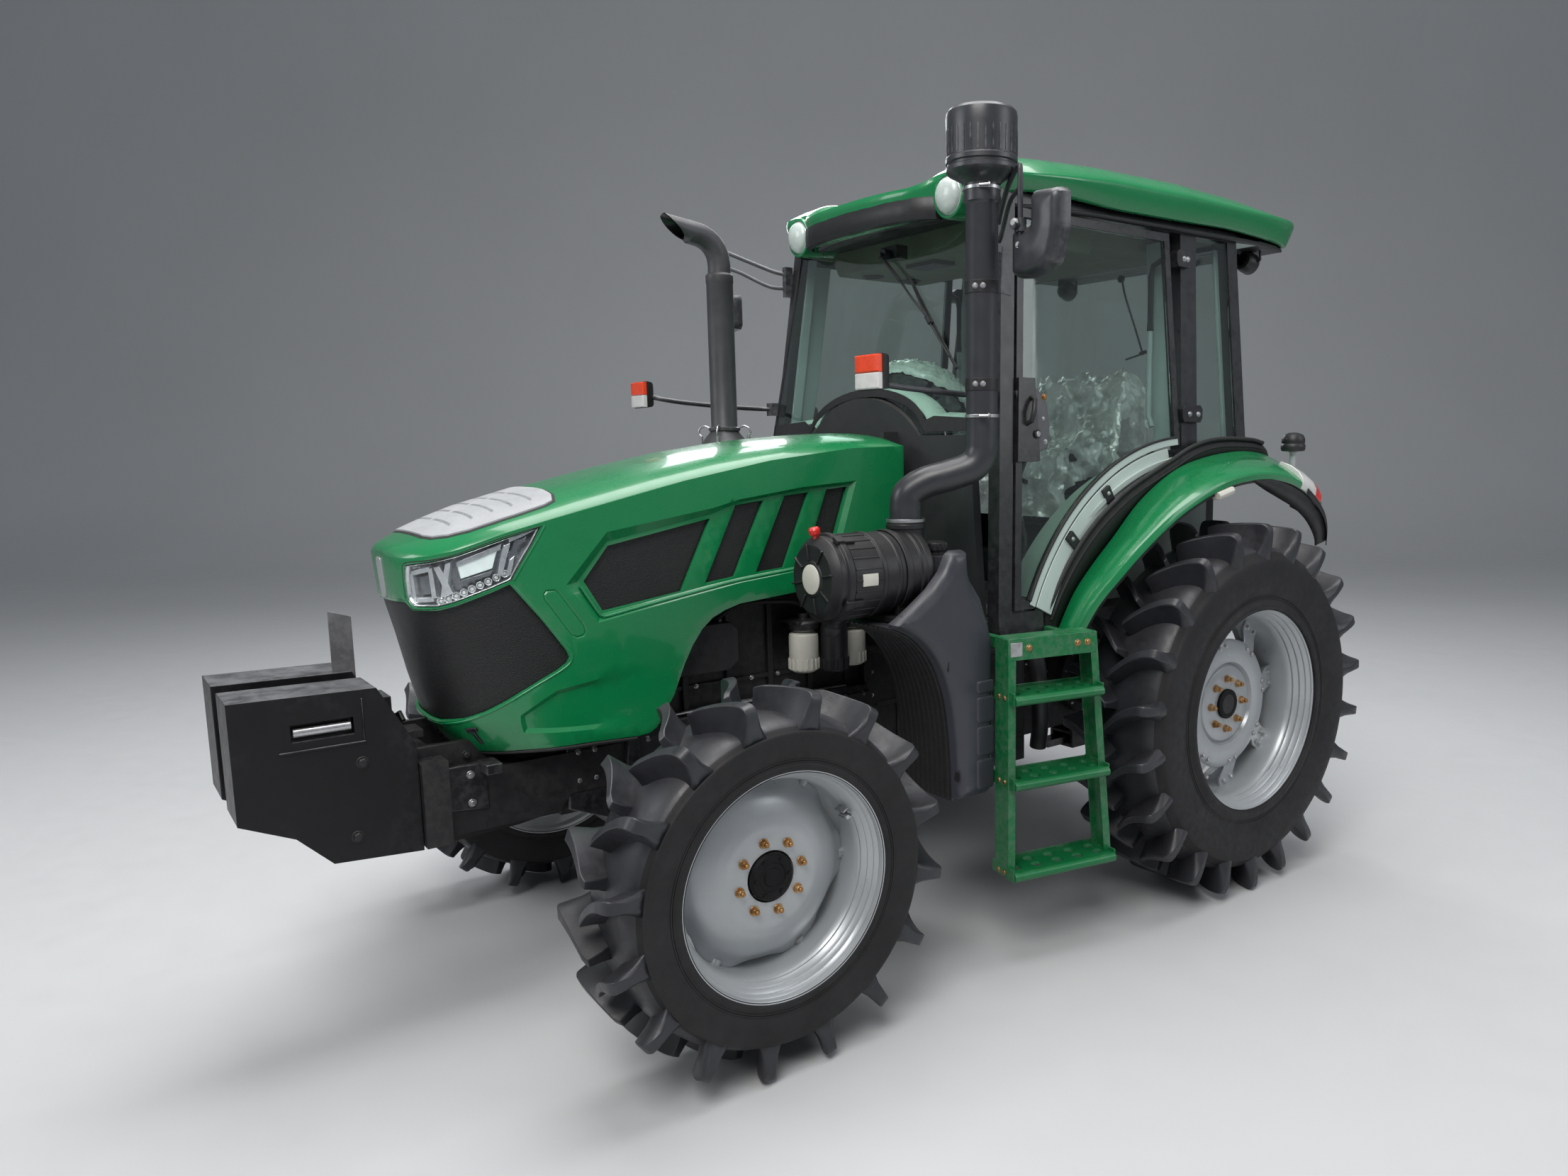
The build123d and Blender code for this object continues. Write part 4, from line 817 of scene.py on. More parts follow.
CREASE = [(0, 1.612), (.10, 1.611), (.208, 1.606), (.30, 1.617), (.388, 1.634), (.53, 1.680), (.678, 1.718), (.874, 1.764), (1.165, 1.832), (1.254, 1.848), (1.504, 1.895), (1.880, 1.938), (S_END, 1.944)]
LOW = [(0, 1.0), (.05, .985), (.098, .965), (.2, .955), (.436, .962), (.755, .963), (.95, .953), (.99, .957), (1.016, .973), (1.087, 1.079), (1.130, 1.18), (1.165, 1.245), (1.205, 1.30), (1.25, 1.338), (1.30, 1.360), (1.363, 1.378), (1.677, 1.404), (1.95, 1.440), (S_END, 1.470)]
ZTOP = [(-3.152, 1.613), (-3.149, 1.625), (-3.143, 1.634), (-3.130, 1.645), (-3.10, 1.657), (-3.03, 1.688), (-2.95, 1.720), (-2.86, 1.752), (-2.62, 1.817), (-2.37, 1.876), (-2.10, 1.931), (-1.80, 1.973), (-1.55, 1.993), (-1.40, 2.000), (-1.33, 1.998), (-1.295, 1.992), (-1.275, 1.984), (-1.262, 1.966)]

LAMP = [(.191, 1.479), (.194, 1.545), (.207, 1.588), (.308, 1.601), (.387, 1.618), (.530, 1.665), (.648, 1.697), (.619, 1.644), (.577, 1.581), (.545, 1.530), (.483, 1.507), (.422, 1.487), (.368, 1.469), (.313, 1.456), (.218, 1.453)]
GRILLE = [(0, 1.462), (.180, 1.468), (.214, 1.443), (.313, 1.446), (.368, 1.459), (.422, 1.477), (.483, 1.497), (.538, 1.518), (.624, 1.403), (.706, 1.284), (.716, 1.262), (.706, 1.243), (.668, 1.221), (.563, 1.178), (.463, 1.138), (.37, 1.104), (.278, 1.078), (.144, 1.057), (0, 1.052)]
HEX = [(.785, 1.508), (.874, 1.620), (1.262, 1.694), (1.138, 1.442), (.846, 1.401)]
SL1 = [(1.365, 1.736), (1.484, 1.750), (1.352, 1.477), (1.232, 1.463)]
SL2 = [(1.574, 1.763), (1.682, 1.773), (1.563, 1.494), (1.442, 1.485)]
SL3 = [(1.764, 1.781), (1.862, 1.789), (1.765, 1.512), (1.656, 1.500)]
REC_O = [(.720, 1.502), (.868, 1.668), (1.266, 1.731), (1.377, 1.758), (1.646, 1.794), (1.896, 1.812), (1.792, 1.500), (1.675, 1.484), (1.366, 1.454), (1.237, 1.434), (1.012, 1.398), (.823, 1.365)]
REC_I = [(.762, 1.506), (.872, 1.634), (1.266, 1.708), (1.377, 1.745), (1.646, 1.782), (1.874, 1.798), (1.776, 1.512), (1.675, 1.499), (1.366, 1.470), (1.237, 1.453), (1.012, 1.418), (.838, 1.392)]
LOW_O = [(.488, 1.020), (.502, 1.084), (.662, 1.154), (.922, 1.188), (1.060, 1.196), (1.010, 1.010), (.857, 1.000), (.718, 1.008)]
LOW_I = [(.512, 1.034), (.520, 1.078), (.668, 1.141), (.922, 1.172), (1.035, 1.180), (.990, 1.026), (.857, 1.016), (.718, 1.022)]
OB = [(.652, 1.492), (.640, 1.478), (.643, 1.458), (.727, 1.330), (.745, 1.320), (.772, 1.324), (.782, 1.340), (.778, 1.362), (.700, 1.478), (.682, 1.492)]


def inset_poly(P, d):
    """Polygon moved inwards by d, corner by corner."""
    n = len(P)
    area = sum(P[i][0] * P[(i + 1) % n][1] - P[(i + 1) % n][0] * P[i][1] for i in range(n))
    sg = 1 if area > 0 else -1
    out = []
    for i in range(n):
        a, b, c = np.array(P[i - 1]), np.array(P[i]), np.array(P[(i + 1) % n])
        e0 = (b - a) / np.linalg.norm(b - a)
        e1 = (c - b) / np.linalg.norm(c - b)
        n0 = sg * np.array((-e0[1], e0[0]))
        n1 = sg * np.array((-e1[1], e1[0]))
        k = n0 + n1
        k = k / max(.35, float(k @ n0)) if np.linalg.norm(k) > 1e-6 else n0
        out.append(tuple(b + k * d))
    return out


_PC = {}


def _poly(P):
    k = id(P)
    c = _PC.get(k)
    if c is None or c[0] is not P or len(P) != c[3]:
        A = np.array(P, float)
        c = (P, A, np.roll(A, -1, axis=0), len(P))
        _PC[k] = c
    return c[1], c[2]


def inside(p, P):
    A, B = _poly(P)
    x, y = p
    m = (A[:, 1] > y) != (B[:, 1] > y)
    if not m.any():
        return False
    a, b = A[m], B[m]
    return bool(np.count_nonzero(x < (b[:, 0] - a[:, 0]) * (y - a[:, 1]) / (b[:, 1] - a[:, 1]) + a[:, 0]) % 2)


def dist_poly(p, P, closed=True):
    A, B = _poly(P)
    if not closed:
        A, B = A[:-1], B[:-1]
    D = B - A
    q = np.array(p, float)
    L = np.maximum(1e-12, (D * D).sum(1))
    t = np.clip(((q - A) * D).sum(1) / L, 0, 1)
    return float(np.sqrt(((q - A - D * t[:, None]) ** 2).sum(1).min()))


def resample(P, step, closed=True):
    out = []
    n = len(P)
    for i in range(n if closed else n - 1):
        a, b = np.array(P[i], float), np.array(P[(i + 1) % n], float)
        k = max(1, int(math.ceil(np.linalg.norm(b - a) / step)))
        out += [tuple(a + (b - a) * j / k) for j in range(k)]
    if not closed:
        out.append(tuple(P[-1]))
    return out


def cdt_sheet(outline, loops, holes, grid, keep, step=.03):
    """Triangles of a flat region whose loops are exact edges. loops: (polygon, value); grid: spacing; keep(point) drops grid points."""
    pts, val, edges = [], [], []
    hsh = {}

    def put(p, v):
        k = (round(p[0], 5), round(p[1], 5))
        if k not in hsh:
            hsh[k] = len(pts)
            pts.append(Vector(p))
            val.append(v)
        return hsh[k]
    for P, v in [(outline, 0.0)] + loops:
        ids = [put(p, v(p) if callable(v) else v) for p in P]
        edges += [(ids[i], ids[(i + 1) % len(ids)]) for i in range(len(ids)) if ids[i] != ids[(i + 1) % len(ids)]]
    xs = [p[0] for p in outline]
    ys = [p[1] for p in outline]
    x = min(xs) + grid / 2
    r = 0
    while x < max(xs):
        y = min(ys) + grid / 2 + (grid / 2 if r % 2 else 0)
        while y < max(ys):
            q = (x, y)
            if inside(q, outline) and dist_poly(q, outline) > grid * .42:
                v = keep(q)
                if v is not None:
                    put(q, v)
            y += grid
        x += grid * .87
        r += 1
    vs, es, fs, ov, oe, of = geometry.delaunay_2d_cdt(pts, edges, [], 0, 1e-6, True)
    vals = []
    for i, o in enumerate(ov):
        vals.append(val[o[0]] if o and o[0] < len(val) else 0.0)
    faces = []
    for f in fs:
        c = sum((Vector(vs[i]) for i in f), Vector((0, 0))) / len(f)
        c = (c.x, c.y)
        if inside(c, outline) and not any(inside(c, h) for h in holes):
            faces.append(tuple(f))
    return [tuple(v) for v in vs], vals, faces


def build_hood():
    SS = sorted(set([round(x, 4) for x in list(np.linspace(0, .45, 19)) + list(np.linspace(.45, S_END, 58))]))
    crease = [(s, interp(s, CREASE)) for s in SS]
    low = resample(LOW, .03, False)
    outline = [tuple(p) for p in crease] + [(S_END, z) for z in np.linspace(1.944, 1.470, 16)[1:-1]] + [tuple(p) for p in reversed(low)] + [(0, z) for z in np.linspace(1.0, 1.612, 22)[1:-1]]
    DEP = .017
    rec_o, rec_i = resample(REC_O, .03), resample(REC_I, .03)
    low_o, low_i = resample(LOW_O, .03), resample(LOW_I, .03)
    ob_o, ob_i = resample(OB, .02), resample(inset_poly(OB, .0045), .02)
    ob_m, ob_n = resample(inset_poly(OB, .009), .02), None
    holes = [LAMP, GRILLE, HEX, SL1, SL2, SL3]

    def lowdep(p):
        return -.010 * (1 - sm((p[0] - .72) / .30))
    loops = [(rec_o, 0.0), (rec_i, -DEP), (low_o, 0.0), (low_i, lowdep), (ob_o, 0.0), (ob_i, -.0035), (ob_m, 0.0),
             (resample(LAMP, .025), 0.0), (resample([p for p in GRILLE], .025), 0.0)]
    loops += [(resample(h, .03), -DEP) for h in (HEX, SL1, SL2, SL3)]

    def keep(q):
        if any(inside(q, h) for h in holes):
            return None
        for P in (REC_O, REC_I, LOW_O, LOW_I, LAMP, GRILLE, HEX, SL1, SL2, SL3, OB):
            if dist_poly(q, P) < .010:
                return None
        if inside(q, REC_O):
            return -DEP if inside(q, REC_I) else None
        if inside(q, LOW_O):
            return lowdep(q) if inside(q, LOW_I) else None
        return 0.0
    vs, vals, faces = cdt_sheet(outline, loops, holes, .034, keep)
    m = Mesh()
    m.add([tuple(hood_p(s, z, d)) for (s, z), d in zip(vs, vals)], faces)
    # top: rows across at the same stations as the crease
    NU = 22
    rows = []
    for s in SS:
        b = hood_p(s, interp(s, CREASE))
        zt = interp(b.y, ZTOP)
        row = []
        for j in range(NU + 1):
            u = 1 - (1 - j / NU) ** 1.0
            u = 1 - (1 - j / NU) ** 1.35
            F = (1 - u ** 2.9) ** .72
            row.append((b.x * u, b.y, b.z + max(0.0, zt - b.z) * F))
        rows.append(row)
    b0 = m.add([p for r in rows for p in r], [])
    k = NU + 1
    for i in range(len(rows) - 1):
        for j in range(NU):
            m.f.append((b0 + i * k + j, b0 + i * k + j + 1, b0 + (i + 1) * k + j + 1, b0 + (i + 1) * k + j))
            m.m.append(0)
    hood = mirrored(m)
    o = piece("hood_shell", hood, [GREEN], "hood", angle=26, weld=.0006, replaces=("hood",))
    return o


def hood_top(x, y, off=0.0):
    """Point on the hood's top at x, y."""
    i = np.argmin(abs(HC[:, 1] - y))
    xb = float(np.interp(y, HC[:, 1], HC[:, 0])) if y > HC[0, 1] else 0.01
    s = float(np.interp(y, HC[:, 1], HL)) if y > HC[0, 1] else 0.0
    zc = interp(s, CREASE)
    zt = interp(y, ZTOP)
    u = min(1, abs(x) / max(xb, 1e-3))
    return Vector((x, y, zc + max(0, zt - zc) * (1 - u ** 2.9) ** .72 + off))


def sheet_on_hood(m, P, off, thick, step=.03, mi=0, both=True):
    """A panel that follows the side sheet, off from it, thick inward."""
    pts = resample(P, step)

    def keep(q):
        return 0.0 if inside(q, P) and dist_poly(q, P) > .008 else None
    vs, vals, fs = cdt_sheet(pts, [], [], step, keep)
    a = [tuple(hood_p(s, z, off)) for s, z in vs]
    b = [tuple(hood_p(s, z, off - thick)) for s, z in vs]
    n = len(a)
    t = Mesh()
    ids = {}
    t.add(a + b, fs + [tuple(i + n for i in reversed(f)) for f in fs])
    cnt = {}
    for f in fs:
        for i in range(len(f)):
            e = (f[i], f[(i + 1) % len(f)])
            cnt[frozenset(e)] = cnt.get(frozenset(e), []) + [e]
    for e, l in cnt.items():
        if len(l) == 1:
            i, j = l[0]
            t.f.append((j, i, i + n, j + n))
            t.m.append(0)
    t = mirrored(t) if both else t
    m.add(t.v, t.f, mi)


hood_o = build_hood()
s_ = hood_o.modifiers.new("solid", "SOLIDIFY")
s_.thickness = .012
s_.offset = -1
b_ = hood_o.modifiers.new("bevel", "BEVEL")
b_.width = .0035
b_.segments = 2
b_.limit_method = "ANGLE"
b_.angle_limit = math.radians(50)

# grille and vent meshes
gm = Mesh()
sheet_on_hood(gm, inset_poly(GRILLE[:-1] + [(0, 1.052)], -.012)[1:-1] + [(0, 1.040), (0, 1.474)], -.014, .004, .03)
for P in (HEX, SL1, SL2, SL3):
    sheet_on_hood(gm, inset_poly(P, -.010), -.032, .003, .04)
piece("grille_and_vents", gm, [MESHM], "hood", angle=30, replaces=("hood_mesh",))
# panel on the hood's top, with a dark joint round it
TOPP = [(0, -3.066), (.10, -3.066), (.17, -3.062), (.222, -3.046), (.264, -3.008), (.296, -2.948), (.312, -2.87), (.316, -2.79), (.314, -2.705), (.300, -2.668), (.245, -2.650), (.15, -2.645), (0, -2.645)]
TOPP = TOPP + [(-x, y) for x, y in reversed(TOPP[1:-1])]


def top_sheet(m, P, off, thick, mi=0, step=.022):
    pts = resample(P, step)

    def keep(q):
        return 0.0 if inside(q, P) and dist_poly(q, P) > .006 else None
    vs, _, fs = cdt_sheet(pts, [], [], step, keep)
    a = [tuple(hood_top(x, y, off)) for x, y in vs]
    b = [tuple(hood_top(x, y, off - thick)) for x, y in vs]
    n = len(a)
    t = Mesh()
    t.add(a + b, fs + [tuple(i + n for i in reversed(f)) for f in fs])
    cnt = {}
    for f in fs:
        for i in range(len(f)):
            e = (f[i], f[(i + 1) % len(f)])
            cnt.setdefault(frozenset(e), []).append(e)
    for e, l in cnt.items():
        if len(l) == 1:
            i, j = l[0]
            t.f.append((j, i, i + n, j + n))
            t.m.append(0)
    m.add(t.v, t.f, mi)


tp = Mesh()
top_sheet(tp, TOPP, .0012, .006)
piece("hood_top_joint", tp, [SEALM], "hood", angle=30)
tp = Mesh()
top_sheet(tp, inset_poly(TOPP, .010), .0060, .010)
piece("hood_top_panel", tp, [INSERT], "hood", angle=30, bevel=.002)
# small louvre slots across the panel
lv = Mesh()
for j in range(5):
    y = -2.98 + .062 * j
    w = interp(y, [(-3.0, .19), (-2.9, .235), (-2.7, .25)])
    for sgn in (1, -1):
        top_sheet(lv, [(sgn * .016, y), (sgn * w, y), (sgn * (w - .012), y + .010), (sgn * .016, y + .010)], .0066, .002, step=.03)
piece("hood_top_slots", lv, [SILVER], "hood", angle=30)

# plain trim strip at the nose, and the edge trims
tr = Mesh()
sheet_on_hood(tr, [(0, 1.468), (.024, 1.470), (.030, 1.500), (.030, 1.580), (.024, 1.600), (0, 1.603)], .0045, .007, .02)
piece("nose_trim", tr, [SILVER], "hood", angle=30, bevel=.002)


def strip_on_hood(m, line, w, off, h, mi=0, n=6, taper=False):
    """Rounded bead that follows a line on the side sheet."""
    P = spline([Vector((a, b, 0)) for a, b in line], n)
    for sgn in (1, -1):
        pts = []
        for p in P:
            q = hood_p(p.x, p.y, off)
            pts.append((sgn * q.x, q.y, q.z))
        tube(m, pts, h, n=8, mi=mi)


rim = Mesh()
strip_on_hood(rim, [(.548, 1.516), (.632, 1.403), (.716, 1.284), (.726, 1.262), (.716, 1.240), (.672, 1.214), (.566, 1.171), (.465, 1.131), (.372, 1.098), (.279, 1.071), (.144, 1.050), (.02, 1.045)], .006, -.0015, .0042)
strip_on_hood(rim, [(.552, 1.530), (.585, 1.580), (.627, 1.643), (.662, 1.700)], .006, -.0015, .0042)
piece("hood_edge_trim", rim, [GREEN], "hood", angle=60)
bk = Mesh()
strip_on_hood(bk, [(.02, 1.4725), (.180, 1.4735), (.218, 1.4485), (.313, 1.4515), (.368, 1.464), (.422, 1.482), (.483, 1.502), (.541, 1.524), (.577, 1.578), (.621, 1.643), (.653, 1.697)], .006, -.004, .0042)
strip_on_hood(bk, [(.653, 1.699), (.530, 1.669), (.387, 1.622), (.308, 1.605), (.205, 1.592), (.189, 1.545), (.186, 1.480)], .006, -.003, .0036)
piece("headlight_gasket", bk, [SEALM], "hood", angle=60)

# ------------------------------------------------------------------ headlights
LT = [(.191, 1.583), (.207, 1.587), (.308, 1.600), (.387, 1.617), (.530, 1.664), (.648, 1.697)]
LB = [(.191, 1.478), (.218, 1.455), (.313, 1.457), (.368, 1.470), (.422, 1.488), (.483, 1.508), (.545, 1.531), (.577, 1.581), (.619, 1.644), (.648, 1.697)]


def lp(s, v, off):
    return hood_p(s, lerp(interp(s, LT), interp(s, LB), v), off)


def sv(m, quad, o0, o1, mi=0, n=5, inset=0.0, both=(1, -1)):
    """Solid block over a quad given in (s, v), between two depths under the lens."""
    (s0, v0), (s1, v1), (s2, v2), (s3, v3) = quad
    for sg in both:
        g = []
        for d in (o0, o1):
            k = inset if d == max(o0, o1) else 0
            rows = []
            for i in range(n + 1):
                a = k + (1 - 2 * k) * i / n
                row = []
                for j in range(n + 1):
                    b = k + (1 - 2 * k) * j / n
                    s = (s0 * (1 - a) + s1 * a) * (1 - b) + (s3 * (1 - a) + s2 * a) * b
                    v = (v0 * (1 - a) + v1 * a) * (1 - b) + (v3 * (1 - a) + v2 * a) * b
                    p = lp(s, v, d)
                    row.append((sg * p.x, p.y, p.z))
                rows.append(row)
            g.append(rows)
        w = n + 1
        vs = [p for rows in g for row in rows for p in row]
        b0 = m.add(vs, [])
        q = w * w
        for k2 in (0, 1):
            for i in range(n):
                for j in range(n):
                    f = (b0 + k2 * q + i * w + j, b0 + k2 * q + (i + 1) * w + j, b0 + k2 * q + (i + 1) * w + j + 1, b0 + k2 * q + i * w + j + 1)
                    m.f.append(f if k2 else f[::-1])
                    m.m.append(mi)
        edge = [(i, 0) for i in range(n)] + [(n, j) for j in range(n)] + [(i, n) for i in range(n, 0, -1)] + [(0, j) for j in range(n, 0, -1)]
        for e in range(len(edge)):
            a1, a2 = edge[e], edge[(e + 1) % len(edge)]
            i1, i2 = a1[0] * w + a1[1], a2[0] * w + a2[1]
            m.f.append((b0 + i1, b0 + i2, b0 + q + i2, b0 + q + i1))
            m.m.append(mi)


CHROME_D = mat("reflector_dark", (.30, .31, .33), rough=.22, metal=.9, var=.2, vscale=18, bumps=[(70, .2, .002)])
CHROME_L = mat("reflector_bright", (.80, .81, .82), rough=.16, metal=.85, var=.12, vscale=30, bumps=[(120, .15, .001)])
OPAL = mat("lamp_diffuser", (.74, .80, .77), rough=.22, var=.06, vscale=30, coat=.4, bumps=[(160, .1, .001)], emit=((.8, .9, .86), .10))
BULB = mat("lamp_inner", (.10, .105, .115), rough=.15, var=.3, vscale=40, coat=.6, bumps=[(200, .2, .001)])

LAMPI = inset_poly(LAMP, .004)
hb = Mesh()
pts = resample(LAMPI, .02)
for sg in (1, -1):
    # bucket: floor and slanted walls
    vs, _, fs = cdt_sheet(resample(inset_poly(LAMP, .014), .02), [], [], .02, lambda q: 0.0 if inside(q, LAMPI) and dist_poly(q, LAMPI) > .018 else None)
    b0 = hb.add([(sg * p.x, p.y, p.z) for p in (hood_p(s, z, -.050) for s, z in vs)], fs, 1)
    outer = resample(LAMPI, .02)
    n = len(LAMPI)
    inner_c = inset_poly(LAMP, .014)
    A, B = [], []
    for i in range(n):
        a0, a1 = LAMPI[i], LAMPI[(i + 1) % n]
        c0, c1 = inner_c[i], inner_c[(i + 1) % n]
        kk = max(1, int(math.ceil(math.dist(a0, a1) / .02)))
        for j in range(kk):
            t = j / kk
            A.append((lerp(a0[0], a1[0], t), lerp(a0[1], a1[1], t)))
            B.append((lerp(c0[0], c1[0], t), lerp(c0[1], c1[1], t)))
    k = len(A)
    rows = [[hood_p(s, z, -.004) for s, z in A], [hood_p(s, z, -.020) for s, z in A], [hood_p(s, z, -.050) for s, z in B]]
    b1 = hb.add([(sg * p.x, p.y, p.z) for r in rows for p in r], [])
    for r in range(2):
        for i in range(k):
            hb.f.append((b1 + r * k + i, b1 + r * k + (i + 1) % k, b1 + (r + 1) * k + (i + 1) % k, b1 + (r + 1) * k + i))
            hb.m.append(0)
o = piece("headlight_housing", hb, [CHROME_L, CHROME_D], "hood", angle=40, solid=.0025, replaces=("headlights",))

hi = Mesh()
# inboard square lamp: rim, then a dark lens in it
for a, b, c, d in ((.205, .262, .08, .20), (.205, .262, .80, .93)):
    pass
sv(hi, [(.212, .16), (.300, .10), (.300, .22), (.212, .28)], -.046, -.014, 0, inset=.06)
sv(hi, [(.212, .80), (.300, .78), (.300, .90), (.212, .92)], -.046, -.014, 0, inset=.06)
sv(hi, [(.209, .18), (.226, .17), (.226, .90), (.209, .90)], -.046, -.012, 0, inset=.06)
sv(hi, [(.288, .12), (.306, .10), (.306, .86), (.288, .86)], -.046, -.014, 0, inset=.06)
sv(hi, [(.228, .28), (.286, .24), (.286, .78), (.228, .80)], -.046, -.028, 2, inset=.10)
# crossed brackets between the two lamps
sv(hi, [(.306, .08), (.330, .08), (.368, .86), (.344, .88)], -.046, -.012, 0, inset=.08)
sv(hi, [(.350, .06), (.372, .06), (.338, .88), (.314, .90)], -.046, -.015, 0, inset=.08)
# main lamp: bright frame round a pale block
sv(hi, [(.378, .14), (.535, .10), (.528, .24), (.378, .26)], -.046, -.016, 0, inset=.05)
sv(hi, [(.380, .22), (.520, .20), (.497, .60), (.388, .56)], -.046, -.020, 3, inset=.05)
sv(hi, [(.384, .57), (.500, .62), (.488, .72), (.392, .66)], -.046, -.014, 2, inset=.05)
# slanted frame at the outer end
sv(hi, [(.532, .12), (.556, .12), (.520, .86), (.500, .82)], -.046, -.010, 0, inset=.06)
sv(hi, [(.566, .16), (.610, .30), (.604, .50), (.552, .40)], -.046, -.020, 1, inset=.06)
sv(hi, [(.546, .52), (.566, .56), (.548, .92), (.528, .90)], -.046, -.012, 0, inset=.06)
sv(hi, [(.545, .02), (.636, .02), (.628, .22), (.545, .14)], -.046, -.012, 0, inset=.05)
piece("headlight_inner", hi, [CHROME_L, CHROME_D, BULB, OPAL], "hood", angle=30, bevel=.0022, seg=2)
# row of small round lamps along the bottom
rl = Mesh()
for j in range(9):
    s = .318 + .0262 * j
    v = lerp(.90, .80, j / 8)
    c = lp(s, v, -.022)
    nrm = (lp(s, v, 0) - lp(s, v, -.03)).normalized()
    for sg in (1, -1):
        cc = (sg * c.x, c.y, c.z)
        nn = (sg * nrm.x, nrm.y, nrm.z)
        lathe(rl, [(.0085, -.016), (.0085, .004), (.0105, .009), (.0118, .010), (.0125, .008), (.0125, -.016)], cc, nn, n=16, mi=0)
        lathe(rl, [(.008, -.002), (.0078, .001), (.006, .004), (.003, .0058), (0, .0062)], cc, nn, n=14, mi=1)
piece("headlight_row", rl, [CHROME_L, WHITEL], "hood", angle=40)
lc = Mesh()
sheet_on_hood(lc, inset_poly(LAMP, .0015), -.0015, .0025, .03)
piece("headlight_lens", lc, [LENS], "hood", angle=60)

# bonnet latch on the lower skirt, and the joint line beside it
la = Mesh()
for sg in (1, -1):
    for quad in ([(.286, .990), (.300, .990), (.300, 1.036), (.286, 1.036)], [(.272, 1.030), (.318, 1.038), (.318, 1.054), (.272, 1.046)]):
        P = [hood_p(s, z, .006) for s, z in quad]
        Q = [hood_p(s, z, -.008) for s, z in quad]
        b0 = la.add([(sg * p.x, p.y, p.z) for p in P + Q], [(0, 1, 2, 3), (7, 6, 5, 4), (0, 4, 5, 1), (1, 5, 6, 2), (2, 6, 7, 3), (3, 7, 4, 0)])
piece("hood_latch", la, [BLACK], "hood", bevel=.003, seg=2)
# seal strip under the lower edge
ss = Mesh()
strip_on_hood(ss, [(.02, .984), (.098, .955), (.2, .946), (.436, .953), (.755, .954), (.94, .945)], .006, -.006, .007)
piece("hood_lower_seal", ss, [SEALM], "hood", angle=60)
# the ledge under the vents catches the light: a thin bead on its edge
ld = Mesh()
strip_on_hood(ld, [(.772, 1.492), (.826, 1.402), (.842, 1.386), (.862, 1.384), (1.012, 1.409), (1.237, 1.444), (1.366, 1.463), (1.675, 1.492), (1.77, 1.503)], .006, -.0075, .0062)
piece("vent_ledge", ld, [GREEN], "hood", angle=60)
# ------------------------------------------------------------------ roof
RPL = [(0, -1.262), (.12, -1.260), (.25, -1.245), (.36, -1.215), (.42, -1.180), (.455, -1.150), (.50, -1.138), (.60, -1.140), (.67, -1.120), (.725, -1.070), (.765, -.990), (.788, -.90), (.797, -.78), (.800, -.60), (.800, -.3), (.800, 0), (.800, .3), (.799, .55), (.790, .70), (.772, .80), (.745, .865), (.70, .884), (.55, .890), (.3, .892), (0, .893)]
RZE = [(-1.262, 2.945), (-1.215, 2.948), (-1.180, 2.965), (-1.150, 2.985), (-1.138, 2.992), (-1.07, 2.985), (-.99, 2.965), (-.90, 2.968), (-.5, 2.995), (0, 3.001), (.41, 2.995), (.89, 2.992)]
RZL = [(-1.262, 2.815), (-1.18, 2.835), (-1.13, 2.868), (-1.05, 2.895), (-.93, 2.905), (-.73, 2.905), (-.45, 2.893), (0, 2.898), (.32, 2.905), (.73, 2.888), (.89, 2.880)]


def roof_plan(ins=0.0):
    half = [(p.x, p.y) for p in spline([Vector((a, b, 0)) for a, b in RPL], 3)]
    half[0] = (0, RPL[0][1])
    P = half + [(-x, y) for x, y in reversed(half[1:-1])]
    return inset_poly(P, ins) if ins else P


def roof_z(x, y, P, ze):
    d = dist_poly((x, y), P)
    a = abs(x)
    base = interp(y, [(-1.25, 3.00), (-1.14, 3.040), (-1.05, 3.055), (-.9, 3.066), (-.5, 3.086), (0, 3.094), (.4, 3.080), (.7, 3.050), (.89, 3.012)]) - .022 * (a / .8) ** 2
    chan = interp(y, [(-1.262, 2.953), (-1.1, 2.978), (-.95, 3.010), (-.8, 3.046), (-.62, 3.085)])
    k = sm((a - .385) / .075)
    zc = lerp(min(base, chan), base, k)
    f = 1 - (1 - min(1, d / .17)) ** 2.6
    return lerp(ze, zc, f)


